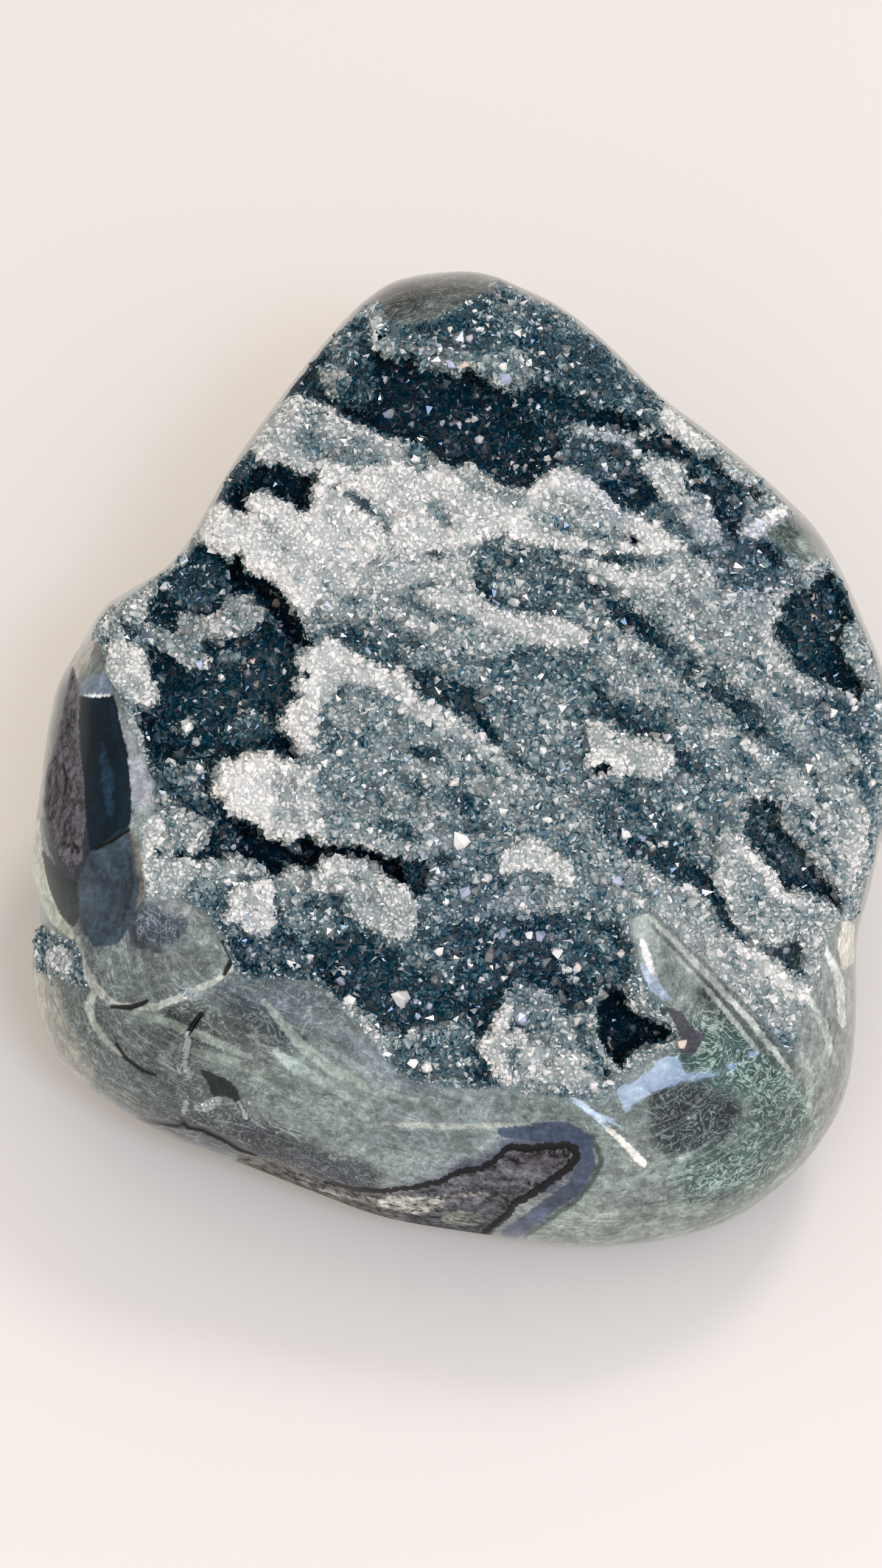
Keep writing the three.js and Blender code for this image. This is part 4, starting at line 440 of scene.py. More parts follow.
        -21.2, -10.8, -19, -10.3, -17.4, -11.2, -17, -13.6, -18, -16, -17.8, -18.4, -19.6, -19, -20.8, -17,
        -21.4, -14)),
    "lower knob right": (2.4, 0.6, 1.4, area(
        -16.8, -13.4, -16.4, -11.4, -15.6, -9.7, -14, -9.2, -12, -9.2, -10.4, -9.8, -9.4, -10.6, -8.4, -11.2,
        -6.8, -11.8, -5.4, -13, -4, -14.6, -3.1, -15.5, -3.3, -17, -3.2, -18.6, -4.4, -20, -6, -20.2,
        -7.6, -19.6, -9.4, -18.8, -11, -17.8, -12, -16.4, -12.8, -15.2, -13.6, -13.9, -15, -14.2)),
    "knob right blue": (1.8, 0.7, 2.2, line(-12, -13.4, 1, -10.4, -15, 1.2, -7, -17.4, 1)),
    "centre knob": (2.4, 0.8, 1.4, area(
        8.8, -8.6, 10, -7.5, 11.4, -6.9, 12.8, -7, 13.8, -7.8, 14.6, -8.8, 16.4, -9.8, 17.2, -11.2,
        16.8, -12.8, 15.4, -12.8, 13.4, -11.8, 11.2, -11, 9.6, -11.2, 8, -11.4, 7.6, -10)),
    "ledge": (2.1, 0.74, 1.3, area(
        18.8, 8.4, 20.6, 8.2, 22.6, 7, 24.4, 6.2, 26.4, 5.9, 28.4, 5.4, 29.6, 4.4, 30.2, 3, 29.4, 1.4,
        27, 0.6, 24, 1.2, 22, 1.4, 20, 0.8, 18.6, 2.6, 19.4, 5)),
    "ledge light": (2.4, 0.88, 1.6, line(19.8, 3.4, 0.8, 22, 3.4, 1, 23.4, 2.2, 0.5)),
    "ledge pit": (-2, 0.02, 1, area(19.4, 2, 20.4, 2.7, 21.8, 2.3, 21.2, 1.3, 20, 1.3)),
    "ledge east gap": (-1.4, 0.26, 1.6, area(
        30.5, 5, 31.4, 4.4, 32.2, 3, 33.2, 2.4, 33.4, 1.2, 32.2, 0.8, 31, 1.8, 30.4, 3.4)),
    "south east shelf": (1.6, 0.58, 1.6, area(
        36, -7, 37.4, -6.4, 38.8, -6.6, 39.7, -8, 41, -9, 42, -10.2, 43.4, -11.6, 44, -13, 44.9, -14,
        46, -13.5, 47.2, -14.3, 49.2, -14.9, 50.8, -15.6, 51.8, -17, 52.4, -19, 52, -22, 50.8, -24.6,
        48.6, -25.2, 47.2, -24, 46, -20.6, 44, -20.8, 42, -21.2, 40, -20, 38.4, -18.8, 37, -15.6, 35.6, -12,
        35.4, -9)),
    "south east crest": (2, 0.84, 1.6, line(
        39, -8.4, 0.4, 41.6, -11, 0.7, 43, -13.4, 1, 45.6, -15, 0.6, 49, -16, 0.6)),
    "south east slope": (0.2, 0.62, 2.4, area(
        27, -14.6, 31, -15, 34, -17, 37, -19, 40, -20.4, 42.4, -22, 43.6, -24, 46, -25, 50, -25, 51.4, -30,
        47, -32, 44, -33, 40, -29, 36, -25, 32, -21, 28, -17)),
    "south east light": (0.8, 0.86, 1.8, line(
        38, -20.6, 0.5, 41, -22.6, 0.9, 44.6, -25.8, 0.9, 48, -28, 0.6)),
    "slope crumbs": (-0.2, 0.64, 2, line(34.6, -19, 0.6, 38.4, -24, 0.9, 43, -29.6, 1.2)),
    "lower basin": (-3.4, 0.24, 3, area(
        -27, -20.6, -24, -20.4, -22, -19.8, -18, -20.2, -14, -19.4, -12, -18.4, -9, -19.6, -6, -20.8,
        -3, -19.4, 0, -18.6, 4, -17.6, 8, -17, 13, -17, 18, -16.6, 22, -18, 24.4, -20.4, 24.6, -24,
        23.6, -26.4, 20.6, -27, 19.8, -29.5, 18.6, -30.4, 16, -30.2, 13, -27.4, 10, -25.8, 8.6, -28, 7, -31,
        5, -33.4, 2, -31.4, -2, -31.6, -5, -32.8, -8, -31.6, -11, -29, -14, -27.6, -15.4, -25.8, -19, -25,
        -23, -24.8, -27.4, -24.6)),
    "basin west": (-2.4, 0.36, 2.6, area(
        -27.4, -21, -24, -20.6, -21, -20.4, -17, -21.6, -16, -24, -19, -25, -23, -25, -27.4, -24.8)),
    "basin floor": (-5, 0.14, 2.6, area(
        -16, -23.4, -12, -21.6, -9, -21, -6, -22, -4.6, -23.8, -2, -24, 0, -26, 2, -28.4, 5, -28, 8, -26.6,
        7.4, -29.4, 6.4, -31.4, 4, -30.8, 1, -31, -2, -31.6, -5, -32.4, -8, -31.2, -11, -28.8, -14, -27.4)),
    "basin middle": (-4.4, 0.17, 2.6, area(
        2, -21.4, 7, -20.4, 12, -20.6, 15, -22, 18, -24.6, 21, -25, 23.6, -25, 23.4, -27, 20.4, -27, 19, -29,
        16, -29.4, 14, -26.4, 10, -25.4, 6, -25, 3, -24)),
    "basin lump": (-2, 0.4, 2, area(-4.8, -20.6, -1.8, -20.2, -1.2, -22.4, -2.8, -23.6, -4.6, -23)),
    "basin swirl": (-3, 0.2, 2, line(9.6, -23.4, 0.3, 11.4, -22.4, 0.6, 13, -23.6, 0.3)),
    "basin crumbs": (-2.6, 0.38, 1.8, line(15.4, -23.8, 0.4, 16.6, -24.4, 0.6, 17.6, -26, 0.4)),
    "basin rise": (-2.2, 0.36, 2.4, line(18, -18.6, 1, 21, -20.6, 1.2, 22, -22.4, 0.8)),
    "basin shore": (-1.4, 0.38, 2, area(
        -4.8, -33.4, -2.4, -32.8, -1.4, -31.8, 1, -31.2, 4, -31.8, 5, -33.2, 5.4, -35, 6.6, -37.4,
        5.6, -38.6, 0, -39, -4.6, -38, -6.6, -36, -6, -34)),
    "shore slope": (0, 0.52, 1.8, area(
        -14.8, -28.4, -12.4, -28.6, -10.4, -29.4, -8.8, -30.4, -8.2, -31.8, -6.6, -33.2, -6.8, -35.6,
        -5.4, -37.4, -8, -37, -10, -34, -12, -31.6, -15, -30)),
    "shore lump": (-0.4, 0.26, 1.6, line(-1.2, -33.4, 0.8, 1, -33.2, 1.4, 2.6, -34, 0.6)),
    "shore gap": (-2.4, 0.06, 1.4, line(3.8, -37.8, 0.3, 5.2, -37.6, 0.5, 6.8, -37, 0.2)),
    "south slope": (0.6, 0.5, 2.4, area(
        8.6, -27, 10, -25.6, 11.4, -26.4, 13.4, -27, 15, -28.6, 16, -30.4, 17.4, -31, 18.8, -30.6, 19.6, -32,
        20.2, -33.6, 21.2, -34.8, 22, -37, 22.6, -40, 22, -42.4, 19, -41.6, 16.6, -39.8, 14, -39.6,
        11, -39.8, 9, -38.8, 8, -33)),
    "south light": (1, 0.68, 2.2, area(
        9.6, -33, 12, -33.6, 14, -34.4, 17, -34.2, 19.4, -35.4, 19.2, -37.8, 16, -38.4, 13, -38.4,
        10.4, -38)),
    "south knob": (3.2, 0.79, 1.5, area(
        8.4, -28.2, 7.6, -29.6, 6.9, -30.7, 5.9, -31.9, 5, -33.2, 5.2, -34.6, 6, -36, 7, -37.6, 8.4, -38.9,
        9.2, -38, 8.6, -36, 8.4, -34.4, 9.6, -33.4, 11, -33.2, 10.6, -32, 8.8, -32.2, 8.8, -30.4, 9.4, -29)),
    "south hole": (0, 0.02, 0.9, line(9.3, -31.4, 0.4, 9.7, -31.2, 0.3)),
    "pit rim": (0.4, 0.4, 1.6, area(
        24.2, -26, 25, -24.6, 26.6, -25, 28, -27.6, 29.8, -29.6, 31, -32, 31.2, -34.6, 29, -35.2,
        26.6, -36.2, 24.4, -37.4, 22.4, -37.6, 21, -36.4, 23.4, -36.6, 25, -34.6, 28, -33.4, 30, -32.6,
        28.4, -31, 26, -29.6, 24.2, -28.4)),
    "vug": (-1.8, 0.36, 1.2, VUG),
    "vug crystals": (-0.4, 0.66, 0.9, area(
        -51, -21.6, -49, -20.9, -47.8, -22, -47.4, -23.8, -48.8, -24.4, -50.6, -23.8, -51.4, -22.8)),
    "seam crystals": (0, 0.64, 1.2, line(
        -32, -26.6, 1.4, -33, -31.4, 0.8, -33, -37.8, 1, -33, -43, 1, -29, -41.2, 1.4, -25.4, -42.6, 1)),
    "west": (-7, 0.07, 1.8, area(
        -37.4, 24, -36.4, 26.2, -34.4, 28, -32.6, 30.2, -31.4, 31.2, -29.8, 30.4, -28, 29, -26.2, 26.4,
        -24.6, 24.8, -23, 23.2, -21.6, 21, -19.5, 19.2, -18, 17.4, -18.9, 16, -18.5, 14, -19.1, 12.6,
        -18.2, 11.4, -19.5, 10.6, -20.5, 8.6, -21.3, 7.4, -20.2, 6.7, -19.4, 5.7, -18.7, 4.4, -19.2, 3.2,
        -20.6, 3.6, -22, 4.2, -23.4, 4.3, -25, 4.5, -26.4, 3.8, -28, 3.6, -28.8, 2.6, -29.4, 0.8, -30, -1.1,
        -28.6, -2.4, -27.8, -3.8, -30, -4.6, -33, -3, -36, -0.8, -37.8, 1, -38.4, 4, -38.6, 7, -38.8, 9.2,
        -36.8, 10, -36.5, 11.2, -37, 13.6, -37.9, 15.6, -38.3, 17.4, -39, 19, -38.4, 21.2, -38, 23)),
    "west top": (-3.8, 0.13, 2.4, area(
        -36.2, 26, -34.4, 28, -32.6, 30.2, -31.4, 31.2, -29.6, 30.2, -28, 29, -27.6, 26.6, -26.8, 25,
        -28.4, 23.6, -30, 22.4, -32, 22.2, -34, 22.6, -36, 23.6)),
    "west rim": (-0.6, 0.42, 1.4, line(-35.4, 27.6, 0.3, -33.6, 29.4, 0.6, -31.8, 31, 0.3)),
    "west back": (-5.4, 0.08, 2.4, area(
        -30, 18.4, -26, 18.8, -22, 20, -20, 18, -19.4, 14, -20, 11, -23, 10.4, -26, 12, -28.6, 13.6,
        -30, 15.6)),
    "west back lump": (-4, 0.3, 1.8, line(-28.6, 16.6, 0.6, -26.6, 16.4, 0.9)),
    "cavity lump": (-2.4, 0.5, 1.5, area(
        -34, 21.8, -33, 22.1, -31.4, 21.6, -30, 22, -29.2, 21.8, -28.6, 23, -27.4, 24.2, -25.6, 24.7,
        -24.6, 24.4, -23.8, 23, -22.4, 22.4, -22.6, 21, -24, 20, -25.6, 19.4, -27.4, 19.2, -29, 18.5,
        -30.4, 18.8, -32, 18, -33.6, 18.8, -34.3, 20.4)),
    "cavity crest": (-2.8, 0.5, 1.5, area(
        -40.6, 20.6, -38, 20.8, -36.2, 20.3, -34.6, 19.2, -32.2, 19, -31, 17.6, -29.8, 16, -30.4, 14.8,
        -32.6, 15.1, -34, 15.8, -36, 17.2, -38.4, 17.8, -40.4, 18.6)),
    "crest light": (-2, 0.46, 1.2, line(-34.2, 16.9, 0.4, -31.6, 15.7, 0.7)),
    "crest pocket": (-7, 0, 1, area(
        -36.8, 21, -35.8, 21.6, -34.6, 22.4, -34, 21.4, -34.4, 19.9, -35.6, 20.5)),
    "cavity boss": (-3.6, 0.2, 1.6, area(
        -28.6, 5.4, -28.5, 7.6, -27.2, 8.7, -26, 9, -24.8, 10.3, -24, 9.5, -22.4, 8.7, -21, 7.8, -20.5, 6.6,
        -21.6, 5.4, -23.4, 4.9, -25.6, 4.6, -27.4, 4.8)),
    "cavity apron": (-2.4, 0.32, 2, area(
        -38, 2.8, -36, 2.8, -33.6, 2.8, -31.6, 3.6, -30.4, 3, -29.6, 1, -30.6, -0.6, -29.4, -2, -28.2, -3.6,
        -30, -4.4, -33, -3, -36, -1, -37.6, 0.6)),
    "cavity stone": (-4.4, 0.52, 1, area(-33.9, 6.4, -32.4, 6.6, -31.6, 8, -32.6, 8.5, -33.7, 8)),
    "cavity slot": (-9, 0, 1.2, area(-36.8, 5.2, -35, 5.2, -34, 3.6, -34.4, 2.9, -36, 3, -37.2, 4)),
    "knob slot": (-9, 0.02, 1, area(-20.4, 5.4, -19.6, 5.2, -18.6, 4.2, -18.7, 3.2, -19.8, 3.5)),
    "left cleft": (-12, 0, 1.2, area(
        -28.2, 29.4, -27.4, 28.5, -26.8, 29.6, -26, 29.7, -25.8, 28.6, -24.8, 27.3, -23.6, 26.8, -22, 26.4,
        -20.8, 25, -19.6, 23.3, -18.3, 21.9, -17.8, 20.4, -17, 19.1, -16.6, 18, -17.6, 17.5, -19, 17.7,
        -20.4, 19, -21.2, 20.8, -22, 22, -23.2, 23.4, -24, 24.2, -25, 24.8, -27, 25, -27.7, 26.6)),
    "upper left slope": (-2.6, 0.1, 1.8, area(
        -30.2, 36.8, -29, 36.4, -27.4, 37.4, -25.6, 38.2, -24.4, 40, -23.8, 42, -24.6, 43.8, -27, 41.4,
        -29, 38.6)),
    "upper left": (-8, 0.02, 1.2, area(
        -28.4, 36.6, -27.4, 36, -26.6, 35.3, -25.2, 35.2, -25.2, 36.9, -24.4, 37.7, -22.4, 37.8, -21, 37,
        -19.6, 36.4, -18.6, 35.4, -17.1, 35.3, -16.8, 37, -16.3, 39.7, -17.2, 40, -18.6, 40.1, -20, 40.9,
        -21, 41.5, -22.4, 41.3, -23.5, 42, -24.2, 40.6, -25.2, 39, -27, 38)),
    "knob cleft": (-12, 0.02, 1.3, area(
        -30, -9.6, -29.6, -7.6, -29, -5, -27.7, -3.7, -26.6, -4.2, -25, -4.9, -23.4, -5.6, -22.4, -7,
        -20.8, -7.4, -19.6, -8.1, -18, -7, -17, -6.8, -16, -7.8, -14.4, -8.2, -13, -8.4, -11.4, -8,
        -10, -8.2, -8.6, -8.8, -7, -9.6, -5.2, -9.6, -4.6, -11, -4.4, -12.8, -5.4, -12.8, -6.6, -11.7,
        -8.2, -10.6, -9.4, -9.7, -11, -9.1, -13, -8.9, -14.4, -9, -15.5, -9.3, -16.4, -10.8, -17.2, -11,
        -19, -10.2, -20, -10.6, -21, -11.9, -22, -11.4, -23.4, -10.2, -25, -9.8, -26.6, -9, -28, -9.5)),
    "knob cleft west": (-5, 0.2, 1.4, area(
        -32, -9.4, -31, -8.2, -30, -6.4, -29.2, -4.6, -27.8, -3.8, -26.4, -5, -25.8, -7.4, -26.6, -8.8,
        -28.4, -9.4, -30, -9.7)),
    "knob cleft east": (-4, 0.28, 1.6, area(
        -5, -9.6, -3.4, -9.2, -2, -10, -1.2, -12, -2, -13.8, -3.4, -14.6, -4.4, -13.2, -4.4, -11.2)),
    "left pits": (-1, 0.06, 0.8, line(-36.7, -8.4, 0.3, -36.5, -8.9, 0.3)),
    "left pit": (-1, 0.06, 0.8, line(-34.2, -9.4, 0.2, -33.5, -9, 0.4)),
    "fringe pits": (-1, 0.08, 0.8, line(-41.2, 21, 0.5, -40.7, 19.6, 0.3, -40.6, 18.8, 0.5)),
    "pit": (-12, 0, 1.4, area(
        20.2, -28.6, 20, -30, 20, -31.4, 20.4, -33, 21.4, -35, 22.6, -36.2, 23.6, -36.4, 24.4, -35,
        26, -33.8, 28, -33.6, 29.4, -33.2, 30, -32.6, 29, -31.4, 27.6, -31, 26.4, -30, 25, -29.4,
        24.2, -28.6, 24, -27, 22.6, -26.6, 21, -27)),
    "pit shore": (-1.6, 0.32, 1.6, area(
        16.6, -31, 18.4, -30.4, 19.6, -31.6, 20.2, -33.6, 21.4, -35.6, 20.4, -36.6, 18.6, -35, 17.4, -33.4)),
    "pit gap": (-2, 0.1, 1.2, line(20.6, -36.8, 0.4, 21.4, -37.6, 0.5)),
    "east": (-7, 0.13, 1.6, area(
        43.8, 23, 45, 24.4, 46.4, 24.9, 47.6, 25.8, 48.6, 26.8, 50.4, 27.8, 52, 26.4, 53.4, 24.4, 53.9, 22.6,
        53.4, 21, 52.3, 20.2, 51.7, 18.8, 52, 17, 53, 15.4, 54.4, 14, 55.4, 12.6, 54, 11.2, 51.6, 12,
        50, 12.6, 48, 13.3, 46.4, 14, 45.4, 15.6, 44.6, 17, 43.4, 18.2, 42.7, 19.4, 43.4, 20.6, 44.7, 21.3)),
    "east lump": (0.6, 0.4, 1.4, area(
        52.5, 20.2, 54.4, 20, 55.6, 18.4, 57, 16.2, 57, 13.6, 55.8, 12.7, 54.6, 13.3, 53.4, 14.8, 52.5, 16,
        52, 17.4, 52, 19)),
    "south east": (-7, 0.32, 1.5, area(
        38.8, -3, 40, -2.2, 41.5, -1.6, 43.4, -2.5, 44.2, -5, 45.6, -7, 47.4, -9, 48.6, -10.6, 50, -12.5,
        51.4, -14.5, 51.6, -16.4, 50.6, -15.5, 49, -14.8, 47.2, -14.2, 46, -13.4, 44.8, -14, 44, -13,
        43.4, -11.6, 42, -10.2, 41, -9, 39.8, -8, 39.3, -6.6, 40, -4.8)),
    "south east dent": (-4, 0.42, 1.3, area(
        42.3, -21.4, 44, -21, 45.6, -20.3, 46.9, -21.8, 46.7, -23.6, 45.4, -24.3, 44.2, -23.7, 43.5, -22.5)),
    "shelf hole": (-1, 0.04, 0.9, line(24.7, 31.6, 0.4, 25.1, 31.3, 0.3)),
    "slab hole": (-1, 0.04, 0.9, line(-17.5, 14.6, 0.3, -17.3, 13.9, 0.3)),
    "slab ring": (0.4, 0.2, 0.8, line(-12.9, 12.2, 0.4, -12.7, 11.8, 0.3)),
    "slab speck": (0.4, 0.2, 0.8, line(-10.2, 5.4, 0.4, -10.3, 4.9, 0.3)),
}

# Warmer and bluer quartz: share of the tint, softness, middle line with half widths.
WARM = [
    (0.25, 6, line(-33, 26, 3, -27, 21, 4, -24, 7, 3)),
    (0.4, 4, line(-15, 54, 2, -11, 50, 2)),
    (0.45, 3, line(-26, 40, 1)),
    (0.35, 5, line(-34, 1, 3)),
    (0.25, 4, line(-3, 57, 2, 2, 55, 1)),
    (0.2, 4, line(22, 7, 2, 27, 4, 1)),
    (0.15, 5, line(26, -30, 3, 10, -34, 3)),
]
SLATE = [
    (0.5, 5, line(20, 42, 2, 24, 38, 2)),
    (0.5, 5, line(36, 35, 2, 40, 28, 3)),
    (0.35, 6, line(50, 9, 4)),
    (0.45, 6, line(2, -12, 3, 10, -22, 5)),
    (0.4, 5, line(-24, -22, 3)),
]

